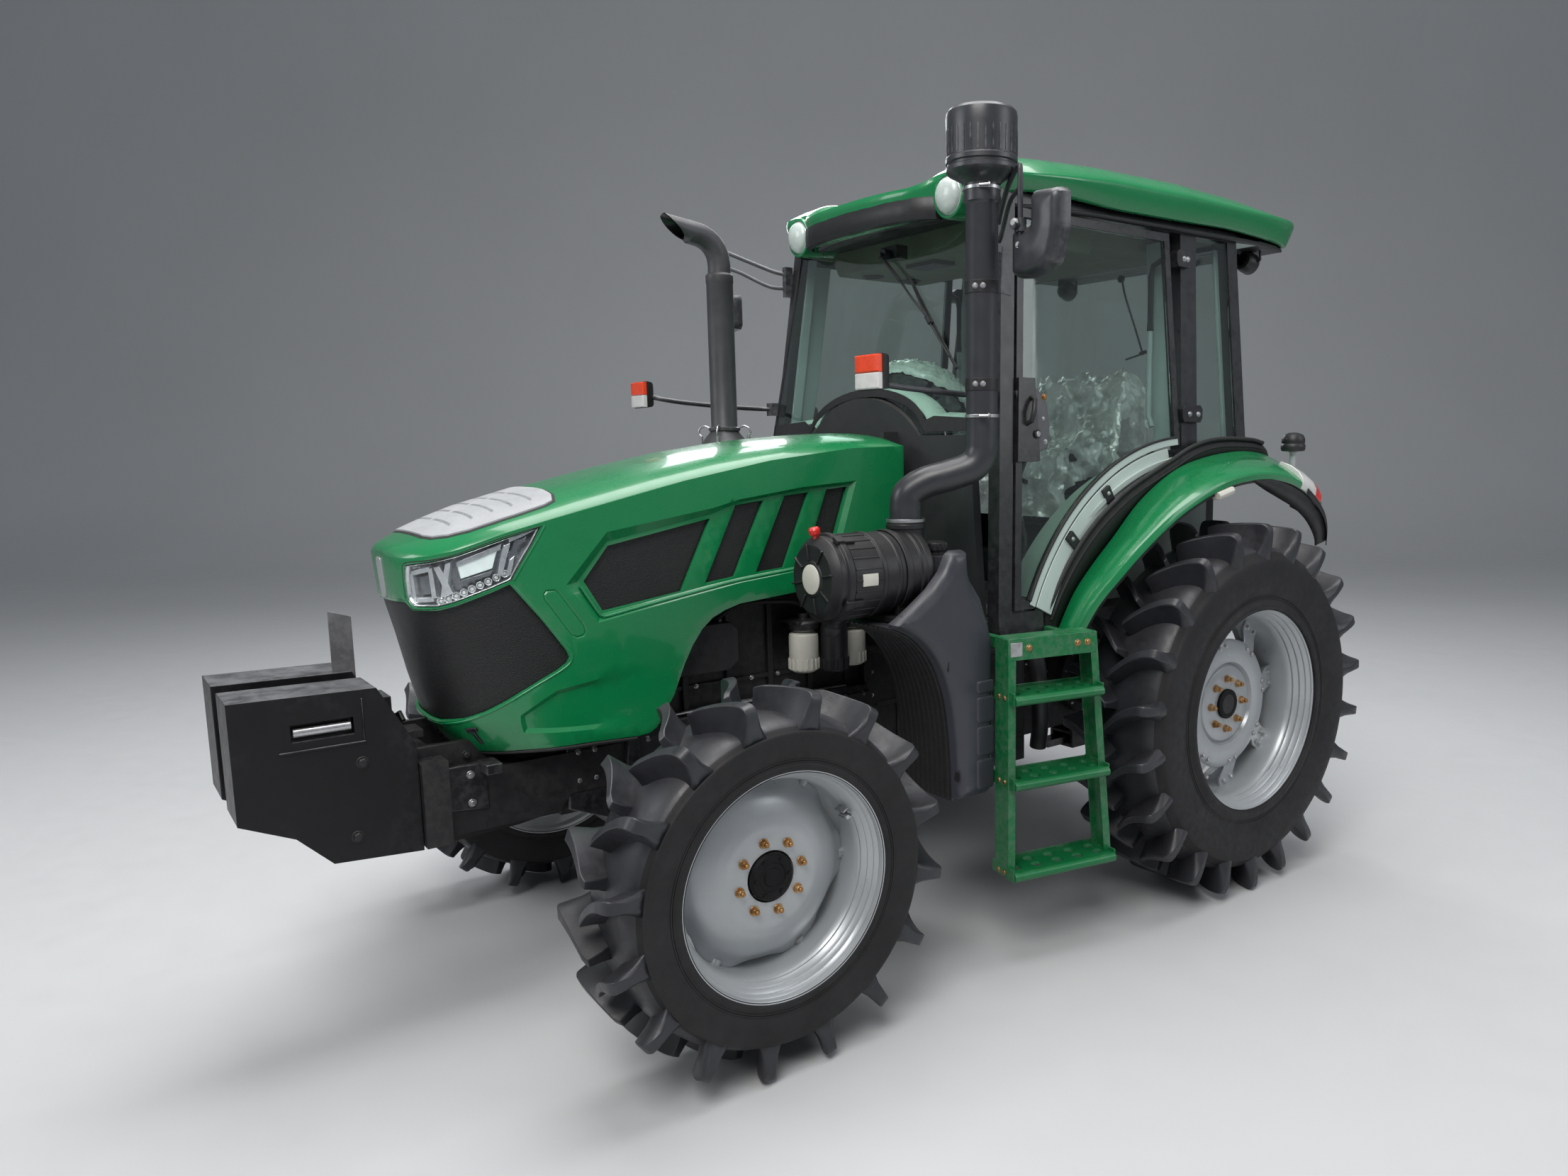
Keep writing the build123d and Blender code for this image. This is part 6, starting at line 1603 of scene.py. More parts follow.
fe, fu, sk = Mesh(), Mesh(), Mesh()
NF = 64
AA = [station(i / NF) for i in range(NF + 1)]
for sg in (1, -1):
    rows, rows_u = [], []
    for i, (a, b) in enumerate(AA):
        t0 = (AA[min(i + 1, NF)][0] - AA[max(i - 1, 0)][0]).normalized()
        ac_ = b - a
        nrm = ac_.cross(t0).normalized()
        if nrm.z < 0 and nrm.y > -.2:
            nrm = -nrm
        if nrm.dot(Vector((0, -.3, .6))) < 0:
            nrm = -nrm
        w = ac_.length
        row = [a + Vector((0, 0, 0)) - nrm * .030, a - nrm * .008, a + ac_ * .02]
        for t, h in ((.12, .004), (.30, .0065), (.50, .010), (.535, .0165), (.60, .0175), (.80, .012), (.93, .003), (.985, -.006)):
            row.append(a + ac_ * t + nrm * h)
        row += [b - nrm * .014, b - nrm * .034, b - ac_.normalized() * .006 - nrm * .040]
        rows.append([(sg * p.x, p.y, p.z) for p in row])
        # black liner under it
        ru = [a + ac_ * .03 - nrm * .012, a + ac_ * .5 - nrm * .004, a + ac_ * .93 - nrm * .016, b - ac_.normalized() * .012 - nrm * .052]
        rows_u.append([(sg * p.x, p.y, p.z) for p in ru])
    for M_, R_ in ((fe, rows), (fu, rows_u)):
        k = len(R_[0])
        b0 = M_.add([p for r in R_ for p in r], [])
        for i in range(len(R_) - 1):
            for j in range(k - 1):
                M_.f.append((b0 + i * k + j, b0 + i * k + j + 1, b0 + (i + 1) * k + j + 1, b0 + (i + 1) * k + j))
                M_.m.append(0)
    # black flap that carries on behind and below
    FL = [((.905, .50, 1.850), (1.158, .42, 1.742)), ((.905, .58, 1.822), (1.156, .50, 1.690)), ((.905, .64, 1.770), (1.150, .575, 1.628)), ((.908, .665, 1.700), (1.140, .622, 1.560)), ((.915, .668, 1.640), (1.128, .640, 1.500))]
    rr = []
    for a, b in zip(spline([a for a, b in FL], 4), spline([b for a, b in FL], 4)):
        rr.append([(sg * (a.x + (b.x - a.x) * t), a.y + (b.y - a.y) * t, a.z + (b.z - a.z) * t + .030 * math.sin(pi * t) * .6) for t in np.linspace(0, 1, 9)] + [(sg * b.x, b.y, b.z - .030)])
    k = len(rr[0])
    b0 = fu.add([p for r in rr for p in r], [])
    for i in range(len(rr) - 1):
        for j in range(k - 1):
            fu.f.append((b0 + i * k + j, b0 + i * k + j + 1, b0 + (i + 1) * k + j + 1, b0 + (i + 1) * k + j))
            fu.m.append(0)
    # outer valance of the flap: the black side that hangs below the green edge at the rear
    V0 = [(1.152, .02, 1.800), (1.154, .14, 1.786), (1.155, .26, 1.762), (1.154, .38, 1.722), (1.150, .50, 1.660), (1.145, .575, 1.605), (1.135, .622, 1.545), (1.125, .640, 1.492)]
    V1 = [(1.140, .02, 1.780), (1.125, .13, 1.742), (1.120, .25, 1.700), (1.118, .37, 1.655), (1.115, .47, 1.600), (1.112, .53, 1.550), (1.108, .570, 1.505), (1.104, .585, 1.470)]
    a_, b_ = spline(V0, 5), spline(V1, 5)
    b0 = fu.add([(sg * p.x, p.y, p.z) for pr in zip(a_, b_) for p in pr], [(2 * i, 2 * i + 1, 2 * i + 3, 2 * i + 2) for i in range(len(a_) - 1)])
    # skirt between the fender and the cab side
    SEALP = [(.864, -.935, 1.285), (.864, -.862, 1.405), (.864, -.770, 1.521), (.864, -.640, 1.640), (.864, -.470, 1.748), (.864, -.300, 1.822), (.862, -.170, 1.872), (.862, -.06, 1.918), (.862, .06, 1.948), (.862, .2, 1.960), (.860, .40, 1.955), (.858, .50, 1.940)]
    S = spline(SEALP, 8)
    m_ = len(S)
    E = [station(i / (m_ - 1) * .97)[0] for i in range(m_)]
    b0 = sk.add([(sg * p.x, p.y, p.z) for pr in zip(S, E) for p in (pr[0], (pr[0] + pr[1]) / 2 + Vector((.004, 0, 0)), pr[1] + Vector((-.002, 0, -.02)))], [])
    for i in range(m_ - 1):
        for j in range(2):
            sk.f.append((b0 + 3 * i + j, b0 + 3 * i + j + 1, b0 + 3 * i + 3 + j + 1, b0 + 3 * i + 3 + j))
            sk.m.append(0)
    # beads of the seal
    for dz, rr_ in ((.004, .0095), (-.030, .006)):
        tube(sk, [(sg * (p.x + .006), p.y - dz * .6, p.z + dz) for p in S], rr_, n=8)
    # plate that closes the fender's foot
    prism(sk, [(sg * .862, -.945, 1.300), (sg * .862, -.885, 1.300), (sg * .862, -.885, 1.150), (sg * .862, -.945, 1.200)], (sg * .006, 0, 0))
o = piece("fender_shell", fe, [GREEN], "chassis", angle=28, weld=0, replaces=("fenders",))
o.modifiers.new("solid", "SOLIDIFY").thickness = .004
piece("fender_liner", fu, [PLASTIC], "chassis", angle=34, solid=.004, weld=0)
piece("fender_seal", sk, [SEALM], "chassis", angle=40, solid=.003, weld=0)
# lamps on the fender: clear and red cluster at the rear corner, pale marker under the edge
tl = Mesh()
for sg in (1, -1):
    a, b = station(.905)
    a2, b2 = station(.995)

    def fp_(k, t, h):
        p, q = station(k)
        d = q - p
        tt = (station(min(1, k + .02))[0] - station(max(0, k - .02))[0]).normalized()
        n_ = d.cross(tt).normalized()
        n_ = n_ if n_.z > 0 else -n_
        r = p + d * t + n_ * h
        return (sg * r.x, r.y, r.z)
    for k0, k1, mi in ((.835, .925, 0), (.925, .985, 1)):
        vs = []
        for k in np.linspace(k0, k1, 5):
            for t, h in ((.52, .006), (.54, .030), (.70, .036), (.86, .030), (.96, .014), (1.005, -.010), (1.005, -.034), (.985, -.036), (.95, -.002), (.70, .004)):
                vs.append(fp_(k, t, h))
        fs = []
        for i in range(4):
            for j in range(10):
                fs.append((i * 10 + j, i * 10 + (j + 1) % 10, (i + 1) * 10 + (j + 1) % 10, (i + 1) * 10 + j))
        fs += [tuple(range(9, -1, -1)), tuple(range(40, 50))]
        tl.add(vs, fs, mi)
    c = Vector(station(.555)[1]) + Vector((-.012, 0, -.055))
    d = (station(.575)[1] - station(.535)[1]).normalized()
    pts = [c + d * (-.048), c + d * .048]
    for q0, q1, r0 in ((pts[0], pts[1], .0),):
        u = Vector((1, 0, 0))
        w = d.cross(u).normalized()
        vs = []
        for e in (q0, q1):
            for aa, bb_ in ((-.020, -.016), (.018, -.016), (.026, 0), (.018, .016), (-.020, .016)):
                pp = e + u * aa + w * bb_
                vs.append((sg * pp.x, pp.y, pp.z))
        tl.add(vs, [(4, 3, 2, 1, 0), (5, 6, 7, 8, 9)] + [(i, (i + 1) % 5, 5 + (i + 1) % 5, 5 + i) for i in range(5)], 2)
piece("fender_lamps", tl, [WHITEL, REDL, CREAM], "chassis", angle=34, bevel=.004, seg=2)

# ------------------------------------------------------------------ fuel tank
ARCH = [(-1.762, 1.322), (-1.70, 1.300), (-1.64, 1.262), (-1.585, 1.205), (-1.540, 1.130), (-1.505, 1.030), (-1.484, .90), (-1.474, .77), (-1.470, .640)]
ARCH_S = [(p.x, p.y) for p in spline([Vector((a, b, 0)) for a, b in ARCH], 4)]
tk = Mesh()
inner = ARCH_S + [(-1.300, .640), (-1.292, .70), (-1.290, 1.28), (-1.330, 1.385), (-1.385, 1.46), (-1.398, 1.545), (-1.475, 1.545), (-1.478, 1.326)]
slab(tk, .615, .905, inner)
outer = [(-1.470, .652), (-1.440, .640), (-1.320, .640), (-1.292, .655), (-1.286, .70), (-1.286, 1.225), (-1.306, 1.300), (-1.345, 1.366), (-1.385, 1.425), (-1.402, 1.490), (-1.408, 1.560), (-1.420, 1.572), (-1.478, 1.572), (-1.498, 1.560),
         (-1.530, 1.500), (-1.590, 1.440), (-1.680, 1.378), (-1.752, 1.334)] + ARCH_S[1:-1]
pillow(tk, outer, lambda a, b, h: (.900 + h, a, b), .048, .050, grid=.028)
tkr = Mesh()
for sg in (1,):
    for q in range(10):
        x = .632 + .0285 * q
        pr = []
        for (y, z) in ARCH_S:
            pr.append((y, z))
        n = len(pr)
        vs = []
        for (y, z) in pr:
            d = Vector((y + 2.32, z - .61)).normalized()
            for xx, h in ((x - .0055, .001), (x - .0035, -.006), (x + .0035, -.006), (x + .0055, .001)):
                vs.append((xx, y + d.x * h, z + d.y * h))
        fs = [(4 * i + j, 4 * i + j + 1, 4 * (i + 1) + j + 1, 4 * (i + 1) + j) for i in range(n - 1) for j in range(3)]
        tkr.add(vs, fs)
    # arch face itself in the darker finish
    vs = []
    for (y, z) in ARCH_S:
        d = Vector((y + 2.32, z - .61)).normalized()
        for xx in (.612, .905):
            vs.append((xx, y - d.x * .0015, z - d.y * .0015))
    tkr.add(vs, [(2 * i, 2 * i + 1, 2 * i + 3, 2 * i + 2) for i in range(len(ARCH_S) - 1)])
# raised pads on the rear lower part of the outer face, with grooves between them
for z0, z1 in ((.672, .786), (.800, .912), (.926, 1.024), (1.038, 1.085)):
    P = [(-1.372, z0), (-1.306, z0), (-1.298, z0 + .008), (-1.298, z1 - .008), (-1.306, z1), (-1.372 - .006, z1), (-1.384, z1 - .012), (-1.384, z0 + .012)]
    pillow(tk, P, lambda a, b, h: (.9475 + h, a, b), .0045, .010, grid=.03, back=False)
piece("fuel_tank_body", tk, [TANK], "chassis", angle=38, bevel=.010, seg=3, replaces=("fuel_tank",), weld=.0004)
piece("fuel_tank_arch", tkr, [SEALM], "chassis", angle=40, weld=0)
tc_ = Mesh()
cyl(tc_, (.78, -1.435, 1.545), (.78, -1.435, 1.562), .034, n=32)
lathe(tc_, [(0, .036), (.030, .036), (.040, .030), (.041, .004), (.038, 0)], (.78, -1.435, 1.560), (0, 0, 1), n=36)
for q in range(12):
    a = 2 * pi * q / 12
    rod(tc_, (.78 + .0405 * math.cos(a), -1.435 + .0405 * math.sin(a), 1.566), (.78 + .0405 * math.cos(a), -1.435 + .0405 * math.sin(a), 1.590), .004, n=8)
for z in (.74, 1.16):
    box(tc_, .600, .948, -1.468 if z < 1 else -1.52, -1.462 if z < 1 else -1.514, z - .018, z + .018)
piece("fuel_cap", tc_, [PLASTIC], "chassis", bevel=.0015)
# black box and duct behind the ladder
bx = Mesh()
box(bx, .62, .83, -1.235, -1.02, .70, 1.150)
box(bx, .615, .835, -1.240, -1.015, 1.145, 1.170)
tube(bx, spline([(.72, -1.00, 1.19), (.80, -.985, 1.17), (.845, -.975, 1.10), (.858, -.968, .98), (.858, -.962, .84), (.845, -.960, .74)], 6), .034, n=20)
tube(bx, spline([(.74, -.99, 1.12), (.79, -.93, 1.08), (.80, -.90, .96), (.79, -.88, .80)], 6), .018, n=14)
for z in (.80, .90, 1.0):
    box(bx, .829, .836, -1.225, -1.03, z, z + .010)
piece("side_box", bx, [PLASTIC], "chassis", angle=34, bevel=.006, seg=2)

# battery box on the right
bt = Mesh()
box(bt, -.925, -.525, -1.495, -1.305, .695, 1.170)
box(bt, -.932, -.518, -1.502, -1.298, 1.165, 1.200)
box(bt, -.905, -.545, -1.480, -1.320, 1.198, 1.214)
for z in (.80, .90, 1.0):
    box(bt, -.931, -.922, -1.47, -1.33, z, z + .03)
for y in (-1.45, -1.35):
    box(bt, -.936, -.922, y - .012, y + .012, 1.10, 1.205)
rod(bt, (-.80, -1.400, 1.214), (-.66, -1.400, 1.214), .010)
piece("battery_case", bt, [TANK], "chassis", bevel=.008, seg=3, replaces=("battery_box",))

# ------------------------------------------------------------------ ladder
yaw = math.radians(-12)
cx_, sx_ = math.cos(yaw), math.sin(yaw)


def LD(x, y, z):
    """Ladder's own axes: x outward, y rearward."""
    return (.950 + x * cx_ - y * sx_, -1.290 + x * sx_ + y * cx_, z)


def lbox(m, x0, x1, y0, y1, z0, z1, mi=0, y0b=None, y1b=None):
    y0b = y0 if y0b is None else y0b
    y1b = y1 if y1b is None else y1b
    v = [LD(x, y, z) for x in (x0, x1) for (y, z) in ((y0b, z0), (y0, z1), (y1b, z0), (y1, z1))]
    m.add(v, [(0, 1, 3, 2), (4, 6, 7, 5), (0, 4, 5, 1), (2, 3, 7, 6), (0, 2, 6, 4), (1, 5, 7, 3)], mi)


st, sb = Mesh(), Mesh()
WT_, WB_, DD = .385, .470, .095
for (ya, yb, sgn) in ((0, 0, 1), (WT_, WB_, -1)):
    lbox(st, 0, DD, ya - .003, ya + .003, .345, 1.245, y0b=yb - .003, y1b=yb + .003)
    lbox(st, DD - .005, DD, ya if sgn > 0 else ya - .030, ya + .030 if sgn > 0 else ya, .345, 1.245, y0b=yb if sgn > 0 else yb - .030, y1b=yb + .030 if sgn > 0 else yb)
    lbox(st, 0, .005, ya if sgn > 0 else ya - .022, ya + .022 if sgn > 0 else ya, .345, 1.245, y0b=yb if sgn > 0 else yb - .022, y1b=yb + .022 if sgn > 0 else yb)
lbox(st, DD - .006, DD + .001, 0, WT_, 1.165, 1.247)
lbox(st, 0, DD, 0, WT_, 1.240, 1.247)
for z in (1.035, .715, .365):
    w = WT_ + (WB_ - WT_) * (1.18 - z) / .84
    P = [(-.025, .004), (DD + .030, .004), (DD + .030, w - .004), (-.025, w - .004)]
    holes = []
    for j in range(5):
        yc = w * (j + .5) / 5
        for xc in (.012, .072):
            holes.append([(xc + .019 * math.cos(a) * (1.15), yc + .024 * math.sin(a)) for a in np.linspace(0, 2 * pi, 15)[:-1]])
    vs, _, fs = cdt_sheet(P, [(h, 0.0) for h in holes], holes, .05, lambda q: 0.0)
    b0 = st.add([LD(a, b, z) for a, b in vs] + [LD(a, b, z - .006) for a, b in vs], fs + [tuple(i + len(vs) for i in f[::-1]) for f in fs])
    for h in holes:
        n = len(h)
        st.add([LD(a, b, z) for a, b in h] + [LD(a, b, z - .012) for a, b in h], [(i, (i + 1) % n, n + (i + 1) % n, n + i) for i in range(n)])
    # rolled front lip and end flanges
    tube(st, [LD(DD + .030, .004 + (w - .008) * t, z - .014) for t in (0, .25, .5, .75, 1)], .018, n=16)
    lbox(st, -.025, DD + .034, .000, .005, z - .032, z + .016)
    lbox(st, -.025, DD + .034, w - .005, w, z - .032, z + .016)
    lbox(st, -.028, -.022, .004, w - .004, z - .030, z + .012)
    for yy, s2 in ((0, -1), (w, 1)):
        for xx in (.03, .07):
            c = LD(xx, yy, z - .010)
            dirv = Vector(LD(0, s2, 0)) - Vector(LD(0, 0, 0))
            bolt(sb, c, dirv, .010, .008)
            bolt(sb, LD(xx, yy - s2 * .006, z - .010), -dirv, .009, .008)
for yy in (.085, .30, .345):
    dirv = Vector(LD(1, 0, 0)) - Vector(LD(0, 0, 0))
    bolt(sb, LD(DD + .001, yy, 1.208), dirv, .010, .008)
SP_ = Mesh()
lbox(SP_, DD, DD + .0025, .005, .055, 1.180, 1.232)
lbox(st, -.16, .01, .02, .05, 1.19, 1.235)
lbox(st, -.16, .01, .31, .34, 1.19, 1.235)
# the ladder takes the darker green, which paints in its shade
piece("ladder_frame", mirrored(st), [GREEN_DK], "chassis", angle=34, bevel=.0022, seg=2, replaces=("steps",), weld=0)
piece("ladder_bolts", mirrored(sb), [COPPER], "chassis", bevel=.0008, seg=1, weld=0)
piece("ladder_plate", mirrored(SP_), [SILVER], "chassis", bevel=.0008, seg=1)
radians, cos, sin = math.radians, math.cos, math.sin
# ------------------------------------------------------------------ carried-over CAD parts


def soft_edge(node, w, seg=2, ang=34):
    b = N[node].modifiers.new("bevel", "BEVEL")
    b.width = w
    b.segments = seg
    b.limit_method = "ANGLE"
    b.angle_limit = math.radians(ang)
    b.use_clamp_overlap = True


SEMI = mat("frame_black", (.0105, .0105, .0125), rough=.34, rvar=.08, var=.16, vscale=3, coat=.25, coat_rough=.2, bumps=[(260, .10, .0006), (18, .05, .002)], wear_and_edge_glint=(.12, .12, .125), wear_and_glint_amt=.12, dust=.03)
FLOORM = mat("floor_mat", (.060, .056, .050), rough=.8, var=.25, vscale=9, bumps=[(420, .3, .0008)], dust=.35)
ORANGERED = mat("signal_red", (.74, .055, .010), rough=.32, var=.10, vscale=20, coat=.3, bumps=[(500, .1, .0004)])
TRIM = mat("pillar_trim", (.40, .43, .45), rough=.5, var=.08, vscale=4, bumps=[(600, .15, .0004)], dust=.08)
LILAC = mat("stile_grey", (.050, .051, .060), rough=.36, var=.12, vscale=3, coat=.2, coat_rough=.2, bumps=[(300, .08, .0005)], wear_and_edge_glint=(.16, .16, .17), wear_and_glint_amt=.3)
for n_, mt_, w_ in (("cab_frame", SEMI, .005), ("door_left", SEMI, .004), ("door_right", SEMI, .004), ("rear_window", SEMI, .004), ("cab_base", DASH, .004), ("arch_liners", LINER, .004),
                    ("seat_base", PLASTIC, .006), ("front_frame", CAST, .004), ("engine", CAST, .006), ("transmission", CAST, .006), ("rear_axle", CAST, .006), ("front_axle", CAST, .004),
                    ("knuckle_left", CAST, .003), ("knuckle_right", CAST, .003), ("hitch_brackets", CAST, .003), ("lift_arms", CAST, .003), ("drawbar", BLACK, .003),
                    ("lower_links", BLACK, .0025), ("top_link", BLACK, .002), ("lift_rods", STEEL, .0012), ("steering_rod", CAST, .0015)):
    cad(n_, mt_)
    soft_edge(n_, w_)
for n_ in ("cab_glass", "door_glass_left", "door_glass_right", "rear_glass"):
    cad(n_, GLASS)


def side_x(z, off=0.0):
    return .875 - .0946 * (z - 1.3) + off


def film_mat(name, col, alpha, rough=.16, metal=0.0, emit=None):
    m = mat(name, col, rough=rough, rvar=.06, var=.10, vscale=14, spec=.9, coat=.6, coat_rough=.06, metal=metal, emit=emit, bumps=[(18, .9, .014), (60, .6, .005)])
    for nd in m.node_tree.nodes:
        if nd.type == "BSDF_PRINCIPLED":
            nd.inputs["Alpha"].default_value = alpha
    return m


# the film glows faintly (emission .07): a painted highlight, not a lamp
FILM = film_mat("clear_film", (.90, .93, .92), .72, rough=.13, metal=.55, emit=((.85, .95, .92), .07))
FILMW = film_mat("white_film", (.78, .84, .81), .90, rough=.28)

# ------------------------------------------------------------------ steering column, wheel and console
WC, WN = Vector((0, -.845, 2.178)), Vector((0, .465, .885)).normalized()
WU, WV = Vector((1, 0, 0)), Vector((1, 0, 0)).cross(WN)
WV = -WV if WV.y < 0 else WV


def wp(a, b, h=0.0):
    return WC + WU * a + WV * b + WN * h


ds = Mesh()
prof = [(-1.150, 1.263), (-1.150, 2.085), (-1.120, 2.125), (-1.060, 2.150), (-1.000, 2.140), (-.960, 2.110), (-.905, 2.000), (-.918, 1.900), (-.958, 1.700), (-.948, 1.480), (-.940, 1.263)]
for x0, x1, ins in ((-.206, .206, 0), (-.212, -.150, .012), (.150, .212, .012)):
    slab(ds, x0, x1, [(y + (ins if y < -1.1 else -ins) * .5, z - (ins if z > 2.05 else 0)) for y, z in prof])
piece("console_body", ds, [DASH], "chassis", angle=30, bevel=.016, seg=3, weld=0, replaces=("steering_console",))
di = Mesh()
# instrument face: a hooded panel with two dials, facing the seat
fa, fb = Vector((0, -.957, 2.106)), Vector((0, -.907, 2.006))
fd = (fb - fa).normalized()
fn = Vector((1, 0, 0)).cross(fd)
fn = -fn if fn.y < 0 else fn
for k, r in ((-.085, .044), (.085, .044), (0, .030)):
    c = fa.lerp(fb, .5) + Vector((k, 0, 0))
    cyl(di, c + fn * .0, c + fn * .006, r, n=40, mi=0)
    ring(di, c + fn * .006, fn, r - .005, r + .001, .007, n=40, mi=1)
    for j in range(-5, 6):
        a = radians(90 + j * 24)
        q = c + fn * .0075 + (Vector((cos(a), 0, 0)) - fd * sin(a)) * (r * .78)
        t_ = (Vector((cos(a), 0, 0)) - fd * sin(a))
        hexa(di, q - t_ * .003 - t_.cross(fn) * .0006, t_ * .006, t_.cross(fn) * .0012, fn * .001, mi=2)
    a = radians(150 if k < 0 else 60)
    t_ = (Vector((cos(a), 0, 0)) - fd * sin(a))
    hexa(di, c + fn * .009 - t_.cross(fn) * .0009, t_ * r * .66, t_.cross(fn) * .0018, fn * .001, mi=3)
for i, x in enumerate((-.16, -.128, .128, .16)):
    hexa(di, fa.lerp(fb, .88) + Vector((x - .012, 0, 0)), (.024, 0, 0), fd * .014, fn * .008, mi=1 if i % 2 else 3)
piece("instruments", di, [PLASTIC, DASH, WHITEL, RED], "chassis", angle=35, bevel=.0008)
co = Mesh()
q0, q1 = Vector((0, -.975, 1.93)), WC - WN * .03
ax_ = (q1 - q0).normalized()
L_ = (q1 - q0).length
lathe(co, [(.074, -.01), (.078, .02), (.070, .028), (.074, .045), (.062, .055), (.066, .070), (.054, .080), (.057, .095), (.036, .105), (.033, L_ - .05), (.046, L_ - .035), (.046, L_ - .002), (.0, L_ - .001)], q0, ax_, n=40)
for sg, dz in ((1, .0), (-1, .012)):
    s0 = WC - WN * .05 + WU * sg * .03
    tube(co, [s0, s0 + Vector((sg * .06, -.01, .004)), s0 + Vector((sg * .135, -.03, .022 + dz))], .0065, n=10)
    e = s0 + Vector((sg * .135, -.03, .022 + dz))
    lathe(co, [(.006, -.028), (.0105, -.022), (.0115, .0), (.0105, .016), (.0, .020)], e, (sg * .9, -.25, .25), n=16)
piece("steering_column", co, [PLASTIC], "chassis", angle=40)
sw = Mesh()
NR = 72
rows = []
for i in range(NR):
    a = 2 * pi * i / NR
    d = Vector((cos(a), sin(a), 0))
    row = []
    for j in range(14):
        b = 2 * pi * j / 14
        grip = .0148 - (.0016 * (.5 + .5 * cos(24 * a)) if math.sin(b) < -.2 or cos(b) < 0 else 0)
        rr_ = .195 + grip * cos(b)
        row.append(wp(d.x * rr_, d.y * rr_, grip * sin(b)))
    rows.append(row)
b0 = sw.add([tuple(p) for r in rows for p in r], [])
for i in range(NR):
    for j in range(14):
        sw.f.append((b0 + i * 14 + j, b0 + i * 14 + (j + 1) % 14, b0 + ((i + 1) % NR) * 14 + (j + 1) % 14, b0 + ((i + 1) % NR) * 14 + j))
        sw.m.append(0)
lathe(sw, [(.0, .022), (.026, .020), (.043, .012), (.048, .0), (.048, -.016), (.036, -.026), (.0, -.027)], WC, WN, n=36)
for a in (90, 210, 330):
    c_, s_ = cos(radians(a)), sin(radians(a))
    pts = [(.040, .017, -.004), (.080, .014, -.007), (.130, .011, -.008), (.188, .014, -.002)]
    ring_ = []
    for r_, w_, h_ in pts:
        ring_.append([wp(c_ * r_ - s_ * k * w_, s_ * r_ + c_ * k * w_, h_ + dh) for k, dh in ((-1, .0), (-.5, .006), (.5, .006), (1, .0), (.5, -.006), (-.5, -.006))])
    b0 = sw.add([tuple(p) for r in ring_ for p in r], [])
    for i in range(len(pts) - 1):
        for j in range(6):
            sw.f.append((b0 + i * 6 + j, b0 + i * 6 + (j + 1) % 6, b0 + (i + 1) * 6 + (j + 1) % 6, b0 + (i + 1) * 6 + j))
            sw.m.append(0)
lathe(sw, [(.006, .0), (.006, .035), (.017, .045), (.021, .056), (.018, .068), (.0, .073)], wp(.155, .115, .012), WN, n=20)
piece("steering_wheel", sw, [PLASTIC], "chassis", angle=40)


def crumple(u, v, seed=0.0):
    """Sharp-folded film: ridged waves in crossing directions."""
    h = 0.0
    for k, (fx, fy, a, ph) in enumerate(((9, 3, .010, .3), (-5, 11, .009, 1.7), (17, 9, .006, 2.9), (-21, 14, .005, .8), (31, -27, .0028, 4.1), (13, 37, .0026, 5.0))):
        t = fx * u + fy * v + ph + seed + .8 * math.sin(3.1 * u * (k + 1) * .7 + 2.3 * v + seed)
        h += a * (1 - 2 * abs(math.sin(t)))
    return h


# film bag over the steering wheel
wb = Mesh()
NA, NQ = 96, 26
rows = []
for j in range(NQ + 1):
    t = j / NQ
    row = []
    for i in range(NA):
        a = 2 * pi * i / NA
        if t < .82:
            k = t / .82
            r = .217 * k
            h = .022 + .098 * (1 - k ** 2.4) ** .8 if k < 1 else .022
        else:
            k = (t - .82) / .18
            r = .217 + .005 * math.sin(pi * k)
            h = .022 - .036 * k
        wr = crumple(cos(a) * k * 1.3, sin(a) * k * 1.3, 2.0) * (.45 if t < .82 else .25) + .0035 * math.sin(15 * a + 2 * math.sin(3 * a)) * t
        row.append(wp(cos(a) * (r + .35 * wr), sin(a) * (r + .35 * wr), h + wr))
    rows.append(row)
b0 = wb.add([tuple(p) for r in rows for p in r], [])
for j in range(NQ):
    for i in range(NA):
        wb.f.append((b0 + j * NA + i, b0 + j * NA + (i + 1) % NA, b0 + (j + 1) * NA + (i + 1) % NA, b0 + (j + 1) * NA + i))
        wb.m.append(0)
wbo = piece("wheel_film", wb, [FILMW], "chassis", angle=60)

# ------------------------------------------------------------------ seat


